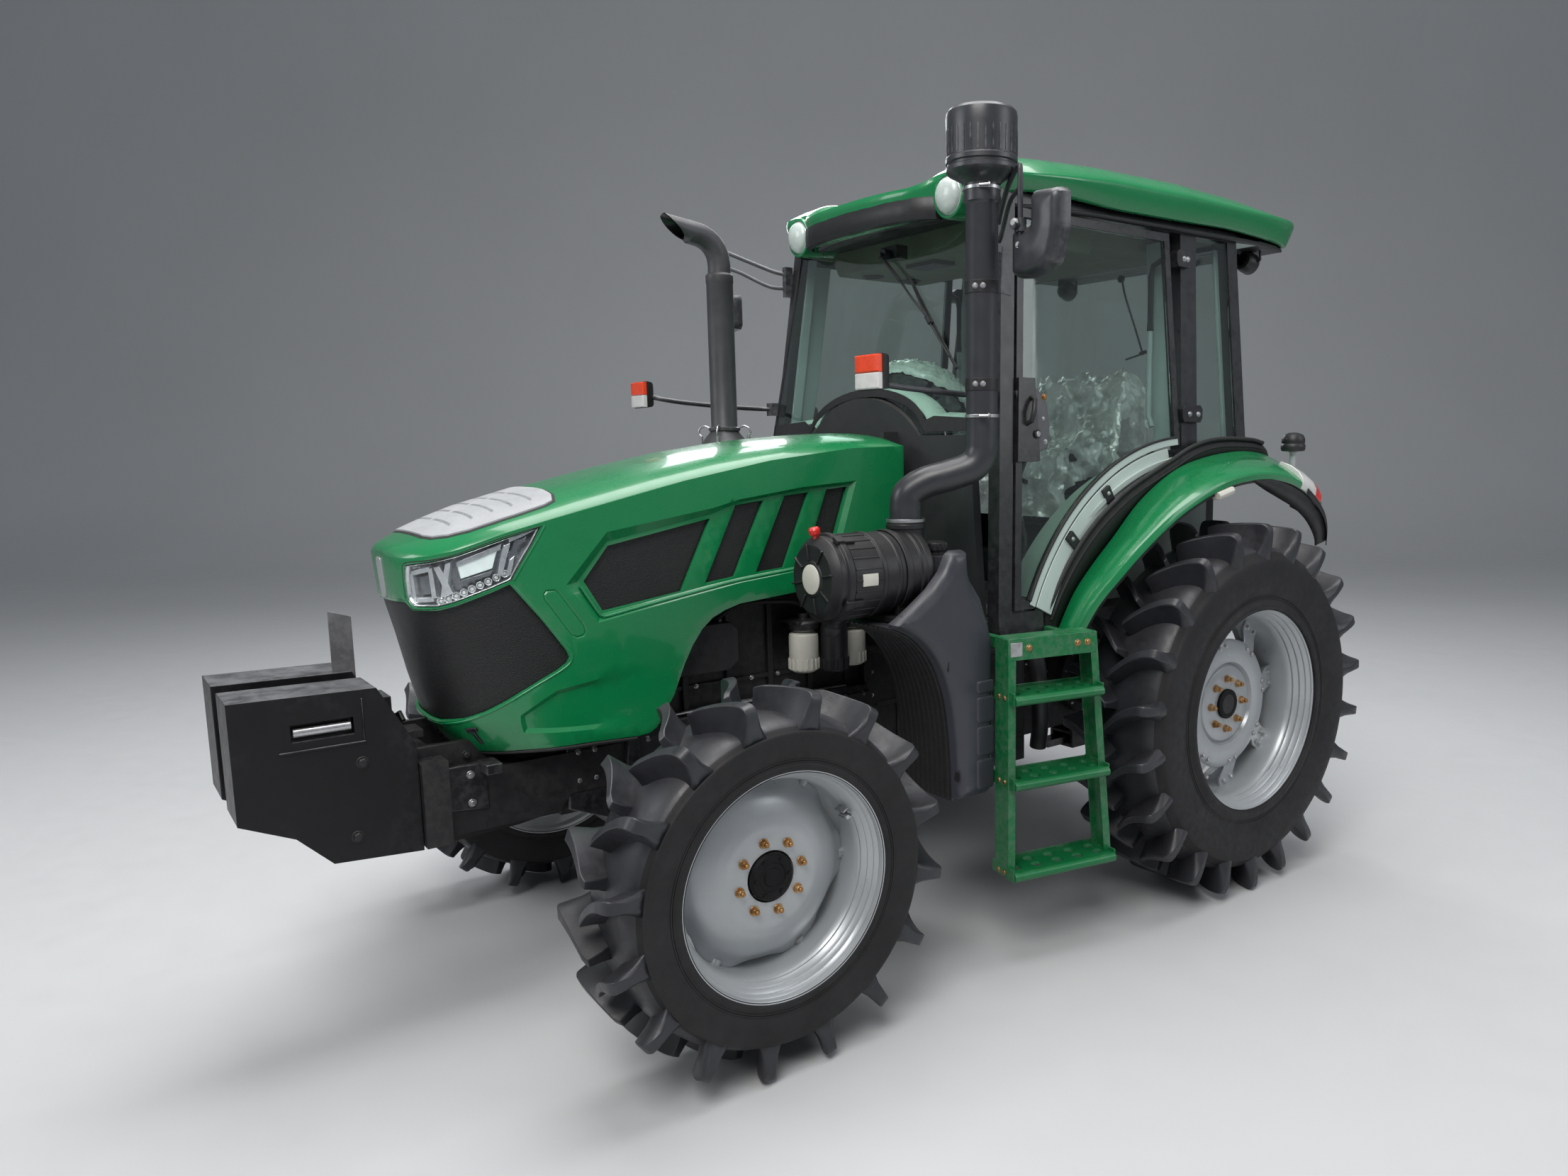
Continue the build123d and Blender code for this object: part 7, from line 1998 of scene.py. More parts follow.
def pad_sim(o, cap, vox=.0075, pressure=4.0):
    """Inflate a cushion with cloth, capped, and apply the result."""
    sc = bpy.context.scene
    r = o.modifiers.new("vox", "REMESH")
    r.mode = "VOXEL"
    r.voxel_size = vox
    dg = bpy.context.evaluated_depsgraph_get()
    me = bpy.data.meshes.new_from_object(o.evaluated_get(dg))
    o.modifiers.clear()
    old = o.data
    mats_ = list(old.materials)
    o.data = me
    me.materials.clear()
    for k in mats_:
        me.materials.append(k)
    rest = np.empty(len(me.vertices) * 3, np.float32)
    me.vertices.foreach_get("co", rest)
    rest = rest.reshape(-1, 3)
    c = o.modifiers.new("cloth", "CLOTH")
    c.settings.use_pressure = True
    c.settings.uniform_pressure_force = pressure
    c.settings.effector_weights.gravity = 0
    c.settings.quality = 5
    c.collision_settings.use_collision = False
    c.collision_settings.use_self_collision = False
    c.point_cache.frame_start = 1
    c.point_cache.frame_end = 20
    for f in range(1, 21):
        sc.frame_set(f)
    dg = bpy.context.evaluated_depsgraph_get()
    ev = o.evaluated_get(dg).to_mesh()
    co_ = np.empty(len(ev.vertices) * 3, np.float32)
    ev.vertices.foreach_get("co", co_)
    co_ = co_.reshape(-1, 3)
    o.evaluated_get(dg).to_mesh_clear()
    o.modifiers.clear()
    sc.frame_set(1)
    d = co_ - rest
    n = np.linalg.norm(d, axis=1)
    d *= np.minimum(1, cap / np.maximum(n, 1e-9))[:, None]
    me.vertices.foreach_set("co", (rest + d).astype(np.float32).ravel())
    me.update()
    me.polygons.foreach_set("use_smooth", np.ones(len(me.polygons), bool))
    s = o.modifiers.new("sub", "SUBSURF")
    s.levels = s.render_levels = 1


def pad(name, P, place, thick, crown, seams, n=26, mats=(FABRIC,), replaces=()):
    """Closed cushion on a rounded outline: crowned top with sunk seams, flatter under side."""
    m = Mesh()
    Q = resample(P, .024)
    size = .13

    def top(q):
        d = dist_poly(q, Q)
        h = thick * (1 - (1 - min(1, d / .045)) ** 2.4) ** (1 / 2.4) * .5 + crown * sm(d / size)
        for sx in seams:
            h -= .011 * math.exp(-((sx(q)) / .009) ** 2) * sm(d / .03)
        return h
    vs, _, fs = cdt_sheet(Q, [], [], .022, lambda q: 0.0)
    hs = [top(q) if dist_poly(q, Q) > 1e-4 else 0.0 for q in vs]
    m.add([tuple(place(a, b, h)) for (a, b), h in zip(vs, hs)], fs)
    m.add([tuple(place(a, b, -(thick * .5) * (1 - (1 - min(1, dist_poly((a, b), Q) / .035)) ** 2.4) ** (1 / 2.4) if dist_poly((a, b), Q) > 1e-4 else 0.0)) for (a, b) in vs], [f[::-1] for f in fs])
    o = piece(name, m, list(mats), "chassis", angle=180, weld=.0004, replaces=replaces)
    return o


RR = lambda w, l, r: [(w * sx - sx * r * (1 - cos(radians(a))), l * sy - sy * r * (1 - math.sin(radians(a)))) for sx, sy, angs in ((1, 1, (0, 22, 45, 68, 90)), (-1, 1, (90, 68, 45, 22, 0)), (-1, -1, (0, 22, 45, 68, 90)), (1, -1, (90, 68, 45, 22, 0))) for a in angs]
cush = pad("seat_cushion", RR(.205, .195, .055), lambda a, b, h: Vector((a, -.090 + b, 1.616 + h * .95 + .018 * sm((-b - .05) / .15))), .098, .010,
           [lambda q: abs(q[0]) - .118, lambda q: q[1] + .035 if abs(q[0]) < .118 else 9, lambda q: q[1] - .075 if abs(q[0]) < .118 else 9], replaces=("seat",))
bd = Vector((0, .150, .560)).normalized()
bn = Vector((0, -.560, .150)).normalized()
bc = Vector((0, .1725, 1.965))


def back_place(a, b, h):
    """The back's middle curves forward at the loins and away at the top."""
    bow = .018 * math.cos((b + .05) * 6) - .03 * sm((b - .1) / .2) + .022 * (abs(a) / .2) ** 2
    w = 1 - .14 * sm((b - .08) / .2)
    return bc + Vector((a * w, 0, 0)) + bd * b + bn * (h + bow * (1 if h >= 0 else .4))


back = pad("seat_back", RR(.200, .262, .07), back_place, .090, .010,
           [lambda q: abs(q[0]) - .112, lambda q: q[1] + .09 if abs(q[0]) < .112 else 9, lambda q: q[1] - .03 if abs(q[0]) < .112 else 9, lambda q: q[1] - .14 if abs(q[0]) < .112 else 9])
for o_ in (cush, back):
    pad_sim(o_, .010)
sa = Mesh()
for sg in (1, -1):
    tube(sa, [(sg * .236, .20, 1.70), (sg * .246, .17, 1.80), (sg * .250, .12, 1.862), (sg * .250, .04, 1.872)], .014, n=12, mi=0)
    slab(sa, sg * .222, sg * .278, [(-.205, 1.862), (-.215, 1.880), (-.205, 1.902), (.05, 1.908), (.075, 1.895), (.072, 1.868)], mi=0)
    box(sa, sg * .214, sg * .226, -.25, .10, 1.565, 1.60)
    cyl(sa, (sg * .214, -.02, 1.585), (sg * .236, -.02, 1.585), .026, n=24)
slab(sa, -.16, .16, [(.155, 1.70), (.215, 1.70), (.285, 1.98), (.262, 2.02), (.235, 1.98)])
box(sa, -.19, .19, -.27, .14, 1.556, 1.572)
piece("seat_arms", sa, [PLASTIC], "chassis", angle=32, bevel=.006, seg=3, weld=0)

# crumpled clear film over the seat
FP = [(.318, 1.84), (.328, 2.02), (.320, 2.17), (.290, 2.262), (.235, 2.292), (.178, 2.270), (.130, 2.190), (.085, 2.085), (.030, 1.995), (-.050, 1.950), (-.150, 1.935), (-.240, 1.925), (-.300, 1.880), (-.332, 1.800), (-.338, 1.700), (-.345, 1.610)]
CL = spline([Vector((0, y, z)) for y, z in FP], 8)
sf = Mesh()
NX = 64
rows = []
for i, c in enumerate(CL):
    t_ = (CL[min(i + 1, len(CL) - 1)] - CL[max(i - 1, 0)]).normalized()
    n_ = Vector((0, -t_.z, t_.y))
    n_ = -n_ if n_.dot(Vector((0, -.3, 1))) < 0 and i > 8 else n_
    if i <= 30 and n_.y < 0 and c.y > .24:
        n_ = -n_
    v = i / (len(CL) - 1)
    row = []
    for j in range(NX + 1):
        s = (j / NX - .5) * 2
        w = .300 + .012 * math.sin(5 * v * pi)
        if abs(s) < .70:
            x, dr = s / .70 * w, 0.0
        else:
            k = (abs(s) - .70) / .30
            x = math.copysign(w + .018 * math.sin(k * pi * .5), s)
            dr = .17 * k
        e = min(1, abs(x) / w)
        h = max(crumple(x * 1.9, v * 2.2, .7) * 1.35, -.013) - .006 * (1 - e ** 2) + .008
        drop = Vector((0, 0, -1)) if c.z < 2.2 or c.y < .15 else Vector((0, .35, -.95))
        back_in = Vector((0, .4, -.9)).normalized() if v > .5 else drop
        row.append(Vector((x, c.y, c.z)) + n_ * h * (1 if dr == 0 else .4) + back_in * dr + Vector((math.copysign(1, s) * (crumple(v * 2.1, s, 1.1) * 1.1), 0, 0)) * (0 if dr == 0 else 1))
    rows.append(row)
b0 = sf.add([tuple(p) for r in rows for p in r], [])
K_ = NX + 1
for i in range(len(rows) - 1):
    for j in range(NX):
        sf.f.append((b0 + i * K_ + j, b0 + i * K_ + j + 1, b0 + (i + 1) * K_ + j + 1, b0 + (i + 1) * K_ + j))
        sf.m.append(0)
sfo = piece("seat_film", sf, [FILM], "chassis", angle=50, weld=0)

# ------------------------------------------------------------------ controls and floor
ct = Mesh()
slab(ct, -.52, -.34, [(-.32, 1.42), (-.32, 1.60), (-.26, 1.655), (.16, 1.70), (.22, 1.66), (.22, 1.42)])
for y, x, h, lean in ((-.20, -.43, .17, -.05), (-.12, -.40, .13, .03), (-.06, -.46, .12, .02), (.02, -.42, .11, .02)):
    b_ = Vector((x, y, 1.668))
    tube(ct, [b_, b_ + Vector((0, lean * .3, h * .5)), b_ + Vector((.01, lean, h))], .0055, n=8, mi=1)
    lathe(ct, [(.006, -.03), (.015, -.022), (.019, .0), (.016, .018), (.0, .024)], b_ + Vector((.01, lean, h)), (.05, lean, h), n=20, mi=0 if y > -.15 else 2)
for x in (-.20, .10, .19):                    # pedals
    tube(ct, [(x, -1.150, 1.62), (x, -1.125, 1.50), (x, -1.075, 1.40)], .009, n=8, mi=1)
    c_ = Vector((x, -1.058, 1.380))
    hexa(ct, c_ + Vector((-.038, -.006, -.035)), (.076, 0, 0), (0, .030, .075), (0, .010, -.004), mi=0)
    for k in range(4):
        hexa(ct, c_ + Vector((-.032, .008 + k * .007, -.026 + k * .0175)), (.064, 0, 0), (0, .004, .008), (0, .006, -.002), mi=0)
tube(ct, [(.30, -.52, 1.262), (.30, -.50, 1.52), (.305, -.56, 1.72)], .009, n=10, mi=1)   # shift lever
lathe(ct, [(.008, -.03), (.018, -.02), (.023, .0), (.019, .02), (.0, .027)], (.305, -.565, 1.735), (0, -.2, .98), n=24, mi=0)
lathe(ct, [(.062, 0), (.058, .02), (.046, .028), (.050, .045), (.036, .055), (.038, .07), (.018, .082)], (.30, -.52, 1.266), (0, .05, 1), n=28, mi=0)
piece("controls", ct, [PLASTIC, STEEL, RED], "chassis", angle=34, bevel=.003)
fm = Mesh()
prism(fm, [(-.64, -1.150, 1.263), (.64, -1.150, 1.263), (.70, -.90, 1.263), (.632, -.875, 1.263), (.632, -.338, 1.263), (-.632, -.338, 1.263), (-.632, -.875, 1.263), (-.70, -.90, 1.263)], (0, 0, .008))
for k in range(30):
    x = -.60 + k * .0414
    box(fm, x, x + .014, -.86, -.36, 1.270, 1.2745)
piece("floor_mat", fm, [FLOORM], "chassis", weld=0)

# ------------------------------------------------------------------ cab lining, trims and glazing details
hl = Mesh()
NY = 12
box(hl, -.640, .640, -.985, .372, 2.852, 2.872)
for (x0, x1, y0, y1, z0) in ((-.60, .60, -.93, -.36, 2.748), (-.56, .56, -.36, .30, 2.800)):
    P = [(x0, y0), (x0, y1), (x1, y1), (x1, y0)]
    R = [(x + (.03 if x < 0 else -.03), y + (.03 if y == y0 else -.03)) for x, y in P]
    b0 = hl.add([(x, y, 2.856) for x, y in P] + [(x, y, z0) for x, y in R], [(4, 5, 6, 7)] + [(i, (i + 1) % 4, 4 + (i + 1) % 4, 4 + i) for i in range(4)])
piece("headliner", hl, [HEADL], "chassis", angle=24, bevel=.012, seg=3, weld=0)
hv = Mesh()
for sg in (1, -1):
    for y in (-.78, -.55):
        c_ = Vector((sg * .45, y, 2.747))
        lathe(hv, [(.052, .003), (.050, -.006), (.040, -.006), (.038, .0), (.0, .0)], c_, (0, 0, 1), n=32)
        for k in range(-2, 3):
            box(hv, sg * .45 - .036, sg * .45 + .036, y + k * .014 - .002, y + k * .014 + .002, 2.742, 2.748)
box(hv, -.10, .10, -.86, -.74, 2.730, 2.750)
lathe(hv, [(.060, .002), (.058, -.012), (.030, -.017), (.0, -.018)], (0, -.10, 2.800), (0, 0, 1), n=32, mi=1)
piece("headliner_fittings", hv, [PLASTIC, WHITEL], "chassis", bevel=.0015)

tr = Mesh()
for sg in (1, -1):
    def ipt(y, z, d):
        return (sg * side_x(z, d), y, z)
    # inner trims: front pillar, middle pillar and rear corner
    for rowsz in ([(1.55, -1.128, -1.085), (1.9, -1.100, -1.050), (2.3, -1.062, -1.012), (2.83, -1.008, -.966)],
                  [(1.93, -.036, .074), (2.2, -.032, .064), (2.5, -.026, .052), (2.83, -.016, .040)],
                  [(1.90, .352, .436), (2.2, .352, .436), (2.5, .350, .436), (2.83, .350, .436)]):
        b0 = tr.add([], [])
        n0 = len(tr.v)
        for z, ya, yb in rowsz:
            dd = -.165 if abs(rowsz[0][1] + .036) < 1e-6 else -.080
            tr.v += [ipt(ya, z, -.064), ipt(yb, z, -.064), ipt(yb + .002, z, dd), ipt(ya - .002, z, dd)]
        for i in range(len(rowsz) - 1):
            for j in range(4):
                tr.f.append((n0 + i * 4 + j, n0 + i * 4 + (j + 1) % 4, n0 + (i + 1) * 4 + (j + 1) % 4, n0 + (i + 1) * 4 + j))
                tr.m.append(0)
        tr.f += [(n0, n0 + 1, n0 + 2, n0 + 3), tuple(n0 + 4 * (len(rowsz) - 1) + j for j in (3, 2, 1, 0))]
        tr.m += [0, 0]
piece("pillar_trims", tr, [TRIM], "chassis", angle=30, bevel=.005, seg=3, weld=0)
gr = Mesh()
for sg in (1, -1):
    X = .655
    for (y, z0, z1) in ((-.070, 2.02, 2.72), (.20, 2.02, 2.74)):
        tube(gr, [(sg * (X + .05), y, z1 + .02), (sg * (X - .0), y, z1), (sg * (X - .012), y, z1 - .05), (sg * (X - .012), y, lerp(z0, z1, .62))], .0125, n=14, mi=0)
        tube(gr, [(sg * (X - .012), y, lerp(z0, z1, .63)), (sg * (X - .012), y, z0 + .05), (sg * (X + .01), y, z0)], .0120, n=14, mi=1)
        cyl(gr, (sg * (X - .012), y, lerp(z0, z1, .60)), (sg * (X - .012), y, lerp(z0, z1, .64)), .0145, n=14, mi=0)
piece("grab_rails", gr, [PLASTIC, TRIM], "chassis", angle=40)

# windshield: black border, cowl cover, wiper
WO, WD = Vector((0, -1.188, 1.992)), Vector((0, .1528, 1)).normalized()
WNn = Vector((0, -WD.z, WD.y))


def wsp(x, z, off=0.0):
    return Vector((x, -1.188 + .1528 * (z - 1.992), z)) + WNn * off


def hw(z):
    return lerp(.736, .653, (z - 1.992) / .868)


wm = Mesh()
# dark bands on the glass: bottom edge with its arch, sides and top
lowline = [(-.733, 2.046)] + [(-.47, 2.062)] + [(.40 * cos(radians(a)) * 1.05, 1.985 + .172 * math.sin(radians(a)) * 1.06 + .022) for a in range(172, 7, -8)] + [(.47, 2.062), (.733, 2.046)]
arch_in = [(-.734, 1.999), (-.425, 1.999)] + [(.402 * cos(radians(a)), 1.992 + .163 * math.sin(radians(a))) for a in range(172, 7, -8)] + [(.425, 1.999), (.734, 1.999)]
b0 = wm.add([tuple(wsp(x, z, .0030)) for x, z in arch_in] + [tuple(wsp(x, z, .0030)) for x, z in lowline] + [tuple(wsp(x, z, -.001)) for x, z in arch_in] + [tuple(wsp(x, z, -.001)) for x, z in lowline], [])
n = len(lowline)
for i in range(n - 1):
    for p_, q_ in ((0, n), (3 * n, 2 * n)):
        wm.f.append((b0 + p_ + i, b0 + p_ + i + 1, b0 + q_ + i + 1, b0 + q_ + i))
        wm.m.append(0)
    wm.f.append((b0 + n + i, b0 + n + i + 1, b0 + 3 * n + i + 1, b0 + 3 * n + i))
    wm.m.append(0)
for sg in (1, -1):
    q = [wsp(sg * (hw(z) - e), z, .0030) for z, e in ((2.0, .0), (2.856, .0), (2.856, .014), (2.0, .014))]
    prism(wm, [tuple(p) for p in q], tuple(WNn * -.003))
q = [wsp(x, z, .0030) for x, z in ((-.653, 2.857), (.653, 2.857), (.655, 2.842), (-.655, 2.842))]
prism(wm, [tuple(p) for p in q], tuple(WNn * -.003))
piece("windshield_border", wm, [SEALM], "chassis", angle=30, weld=0)
# pale lining that follows the arch behind the glass
cw = Mesh()
AR = [(x, z) for x, z in lowline]
Y0, Y1 = -1.150, -1.010
rows = []
for k, (yy, dz, zz) in enumerate(((-1.148, -.012, 0), (-1.130, .006, 0), (-1.085, .016, 0), (-1.040, .008, 0), (-1.014, -.016, 0), (-1.010, -.055, 0))):
    rows.append([(x * .975, yy + .10 * (1 - min(1, abs(x) / .73)) * (k / 5) * 0, z + dz) for x, z in AR])
b0 = cw.add([p for r in rows for p in r], [])
for i in range(len(rows) - 1):
    for j in range(n - 1):
        cw.f.append((b0 + i * n + j, b0 + i * n + j + 1, b0 + (i + 1) * n + j + 1, b0 + (i + 1) * n + j))
        cw.m.append(0)
piece("cowl_lining", cw, [DOME], "chassis", angle=40, solid=.006, bevel=.002)
wi = Mesh()
m0 = wsp(.035, 2.738, .0)
box(wi, -.02, .09, -1.060, -1.000, 2.735, 2.790)
cyl(wi, (.035, -1.096, 2.756), (.035, -1.070, 2.756), .020, n=20)
a0, a1, a2 = wsp(.035, 2.742, .034), wsp(.20, 2.615, .040), wsp(.375, 2.462, .026)
tube(wi, [wsp(.035, 2.750, .030), a0, a1], .0075, n=8)
tube(wi, [a1, a1.lerp(a2, .5) + WNn * .006, a2], .0050, n=8)
cyl(wi, wsp(.035, 2.742, .0), wsp(.035, 2.742, .045), .013, n=16)
bl0, bl1 = wsp(.215, 2.640, .012), wsp(.585, 2.240, .012)
d_ = (bl1 - bl0).normalized()
sd = d_.cross(WNn).normalized()
hexa(wi, bl0 - sd * .005 - WNn * .007, bl1 - bl0, sd * .010, WNn * .009, mi=1)
hexa(wi, bl0 - sd * .0015 - WNn * .011, bl1 - bl0, sd * .003, WNn * .006, mi=1)
tube(wi, [bl0.lerp(bl1, .12) + WNn * .004, bl0.lerp(bl1, .3) + WNn * .013, bl0.lerp(bl1, .5) + WNn * .018, bl0.lerp(bl1, .7) + WNn * .013, bl0.lerp(bl1, .88) + WNn * .004], .0035, n=8)
hexa(wi, bl0.lerp(bl1, .46) - sd * .008, (bl1 - bl0) * .08, sd * .016, WNn * .024, mi=0)
piece("windshield_wiper", wi, [PLASTIC, SEALM], "chassis", angle=34, bevel=.0012)

# ------------------------------------------------------------------ doors: stile, latch, handle, hinges
FY = lambda z: -1.130 + .009 + .145 / 1.520 * (z - 1.300)
for sg, side in ((1, "left"), (-1, "right")):
    st = Mesh()
    n0 = len(st.v)
    zs = [1.96, 2.2, 2.5, 2.808]
    for z in zs:
        ya, yb = FY(z) + .020, FY(z) + (.118 if z > 2.0 else .10)
        st.v += [(sg * side_x(z, -.031), ya, z), (sg * side_x(z, -.031), yb, z), (sg * side_x(z, -.043), yb, z), (sg * side_x(z, -.043), ya, z)]
    for i in range(len(zs) - 1):
        for j in range(4):
            st.f.append((n0 + i * 4 + j, n0 + i * 4 + (j + 1) % 4, n0 + (i + 1) * 4 + (j + 1) % 4, n0 + (i + 1) * 4 + j))
            st.m.append(1 if j == 2 else 0)
    st.f += [(n0, n0 + 1, n0 + 2, n0 + 3), tuple(n0 + 4 * (len(zs) - 1) + j for j in (3, 2, 1, 0))]
    st.m += [0, 0]
    piece(f"door_stile_{side}", st, [LILAC, TRIM], f"door_{side}", angle=30, bevel=.003)
    lt = Mesh()
    P = [(-1.040, 1.960), (-1.040, 2.150), (-.985, 2.172), (-.925, 2.160), (-.880, 2.100), (-.872, 2.010), (-.890, 1.930), (-.960, 1.905), (-1.020, 1.915)]
    b0 = lt.add([(sg * side_x(z, .004), y, z) for y, z in P] + [(sg * side_x(z, -.020), y, z) for y, z in P], [tuple(range(9)), tuple(reversed(range(9, 18)))] + [(i, (i + 1) % 9, 9 + (i + 1) % 9, 9 + i) for i in range(9)])
    piece(f"door_latch_plate_{side}", lt, [LILAC], f"door_{side}", angle=30, bevel=.004)
    hd = Mesh()
    o_ = lambda y, z, d: Vector((sg * side_x(z, d), y, z))
    tube(hd, [o_(-1.005, 2.02, .002), o_(-1.000, 2.035, .034), o_(-.990, 2.075, .042), o_(-.975, 2.115, .034), o_(-.970, 2.130, .002)], .0095, n=12, mi=0)
    cyl(hd, o_(-.955, 1.985, .002), o_(-.955, 1.985, .020), .017, n=24, mi=0)
    cyl(hd, o_(-.955, 1.985, .018), o_(-.955, 1.985, .024), .011, n=20, mi=1)
    for y, z, r in ((-.895, 2.128, .010), (-1.022, 2.135, .007), (-1.020, 1.935, .007), (-.900, 1.955, .008), (-.905, 2.045, .006)):
        bolt(hd, o_(y, z, .004), (sg, 0, 0), r, r * .8, mi=2 if r > .009 else 1)
    # inner pull bar
    tube(hd, [o_(-.99, 1.80, -.030), o_(-.975, 1.815, -.085), o_(-.90, 1.93, -.092), o_(-.865, 2.02, -.085), o_(-.86, 2.04, -.042)], .010, n=12, mi=0)
    piece(f"door_handle_{side}", hd, [PLASTIC, STEEL, COPPER], f"door_{side}", angle=36, bevel=.001)
hb = Mesh()
for sg in (1, -1):
    for zc, y0, y1 in ((2.072, -.050, .090), (2.745, -.034, .070)):
        xs = side_x(zc)
        P = [(y0 + .012, zc - .034), (y0, zc - .010), (y0, zc + .022), (y0 + .014, zc + .036), (y1 - .016, zc + .040), (y1, zc + .022), (y1, zc - .018), (y1 - .014, zc - .036)]
        slab(hb, sg * (xs - .020), sg * (xs + .020), P)
        bolt(hb, (sg * (xs + .020), y1 - .03, zc), (sg, 0, 0), .009, .007, mi=1)
        bolt(hb, (sg * (xs + .020), y0 + .05, zc), (sg, 0, 0), .009, .007, mi=1)
piece("door_hinge_blocks", hb, [SEMI, STEEL], "chassis", angle=32, bevel=.004, weld=0)

# ------------------------------------------------------------------ mirrors
MO = [(1.075, 2.694), (1.075, 2.785), (1.095, 2.806), (1.198, 2.800), (1.216, 2.784), (1.215, 2.672), (1.200, 2.606), (1.184, 2.560), (1.140, 2.530), (1.068, 2.518), (1.000, 2.526), (.985, 2.545), (.985, 2.672), (.998, 2.690)]
for sg, side in ((1, "left"), (-1, "right")):
    ms = Mesh()
    pillow(ms, [(x, z) for x, z in MO], lambda a, b, h: Vector((sg * a, -1.214 - h, b)), .050, .030, grid=.016, crown=.010)
    P = [(x, z) for x, z in resample(MO, .03)]
    n = len(P)
    b0 = ms.add([(sg * x, -1.214, z) for x, z in P] + [(sg * x, -1.196, z) for x, z in P] + [(sg * x, -1.196, z) for x, z in inset_poly(P, .007)], [])
    for i in range(n):
        ms.f.append((b0 + i, b0 + (i + 1) % n, b0 + n + (i + 1) % n, b0 + n + i))
        ms.f.append((b0 + n + i, b0 + n + (i + 1) % n, b0 + 2 * n + (i + 1) % n, b0 + 2 * n + i))
        ms.m += [0, 0]
    piece(f"mirror_shell_{side}", ms, [PIPE], "chassis", angle=40, replaces=("mirrors",) if sg > 0 else ())
    mg = Mesh()
    Q = inset_poly(P, .007)
    b0 = mg.add([(sg * x, -1.199, z) for x, z in Q] + [(sg * x, -1.203, z) for x, z in Q], [tuple(range(len(Q))), tuple(reversed(range(len(Q), 2 * len(Q))))])
    for i in range(len(Q)):
        mg.f.append((i, (i + 1) % len(Q), len(Q) + (i + 1) % len(Q), len(Q) + i))
        mg.m.append(0)
    piece(f"mirror_glass_{side}", mg, [MIRRORM], "chassis", angle=30)
mr = Mesh()
for sg in (1, -1):
    v = lambda x, y, z: Vector((sg * x, y, z))
    # hairpin arm and the upright that carries the mirror
    tube(mr, spline([v(.742, -1.085, 2.765), v(.80, -1.130, 2.785), v(.93, -1.215, 2.850), v(1.030, -1.262, 2.893), v(1.046, -1.268, 2.870), v(1.044, -1.266, 2.80), v(1.042, -1.262, 2.700), v(1.040, -1.258, 2.640)], 5), .0095, n=12)
    tube(mr, spline([v(.745, -1.085, 2.700), v(.82, -1.140, 2.715), v(.95, -1.225, 2.790), v(1.040, -1.262, 2.822)], 5), .0085, n=12)
    box(mr, sg * .728, sg * .758, -1.100, -1.060, 2.660, 2.800)
    cyl(mr, v(1.042, -1.262, 2.672), v(1.042, -1.262, 2.716), .021, n=20)
    cyl(mr, v(1.042, -1.300, 2.692), v(1.042, -1.250, 2.692), .015, n=20)
    lathe(mr, [(.0, .010), (.010, .009), (.015, .003), (.015, -.004)], v(1.042, -1.292, 2.700), (0, -1, 0), n=18, mi=2)
    bolt(mr, v(1.035, -1.268, 2.630), (0, -1, 0), .008, .007, mi=1)
    if sg > 0:
        # small wind plate on its stub, near side only
        slab(mr, .800, .806, [(-1.132, 2.505), (-1.080, 2.498), (-1.074, 2.664), (-1.122, 2.672)], mi=0)
        tube(mr, [v(.748, -1.088, 2.675), v(.765, -1.095, 2.630), v(.801, -1.100, 2.620)], .006, n=10)
piece("mirror_arms", mr, [PIPE, STEEL, INSERT], "chassis", angle=38, bevel=.0012)

# ------------------------------------------------------------------ front signal lamps and rear marker stalks
sgm = Mesh()
for sg in (1, -1):
    x0, x1, y0, y1, z0, z1 = .815, .955, -1.822, -1.760, 2.128, 2.246
    pillow(sgm, [(x0, z0), (x0, z1), (x1, z1), (x1, z0)], lambda a, b, h: Vector((sg * a, -1.800 + h, b)), .042, .030, grid=.012, mi=0)
    # lens: split halves, ribbed
    for (za, zb, mi) in ((lerp(z0, z1, .49), z1 - .003, 1), (z0 + .003, lerp(z0, z1, .475), 2)):
        NXs = 24
        b0 = sgm.add([], [])
        n0 = len(sgm.v)
        for i in range(NXs + 1):
            x = lerp(x0 + .004, x1 - .004, i / NXs)
            yy = -1.820 + .004 * (2 * i / NXs - 1) ** 4 - (.0012 if i % 2 else 0)
            sgm.v += [(sg * x, -1.799, za), (sg * x, yy + .003, za), (sg * x, yy, za + .004), (sg * x, yy, zb - .004), (sg * x, yy + .003, zb), (sg * x, -1.799, zb)]
        for i in range(NXs):
            for j in range(5):
                sgm.f.append((n0 + i * 6 + j, n0 + i * 6 + j + 1, n0 + (i + 1) * 6 + j + 1, n0 + (i + 1) * 6 + j))
                sgm.m.append(mi)
        sgm.f += [tuple(n0 + j for j in range(6)), tuple(n0 + NXs * 6 + j for j in (5, 4, 3, 2, 1, 0))]
        sgm.m += [mi, mi]
    v = lambda x, y, z: Vector((sg * x, y, z))
    tube(sgm, spline([v(.845, -1.775, 2.180), v(.800, -1.735, 2.165), v(.788, -1.62, 2.150), v(.792, -1.40, 2.135), v(.775, -1.245, 2.128), v(.735, -1.185, 2.126)], 6), .0105, n=12, mi=3)
    cyl(sgm, v(.86, -1.790, 2.185), v(.845, -1.762, 2.182), .017, n=18, mi=3)
    slab(sgm, sg * .715, sg * .765, [(-1.205, 2.095), (-1.205, 2.155), (-1.165, 2.155), (-1.165, 2.095)], mi=3)
piece("signal_lamp_units", sgm, [PLASTIC, ORANGERED, WHITEL, PIPE], "chassis", angle=32, weld=1e-5, replaces=("signal_lamps",))
mk = Mesh()
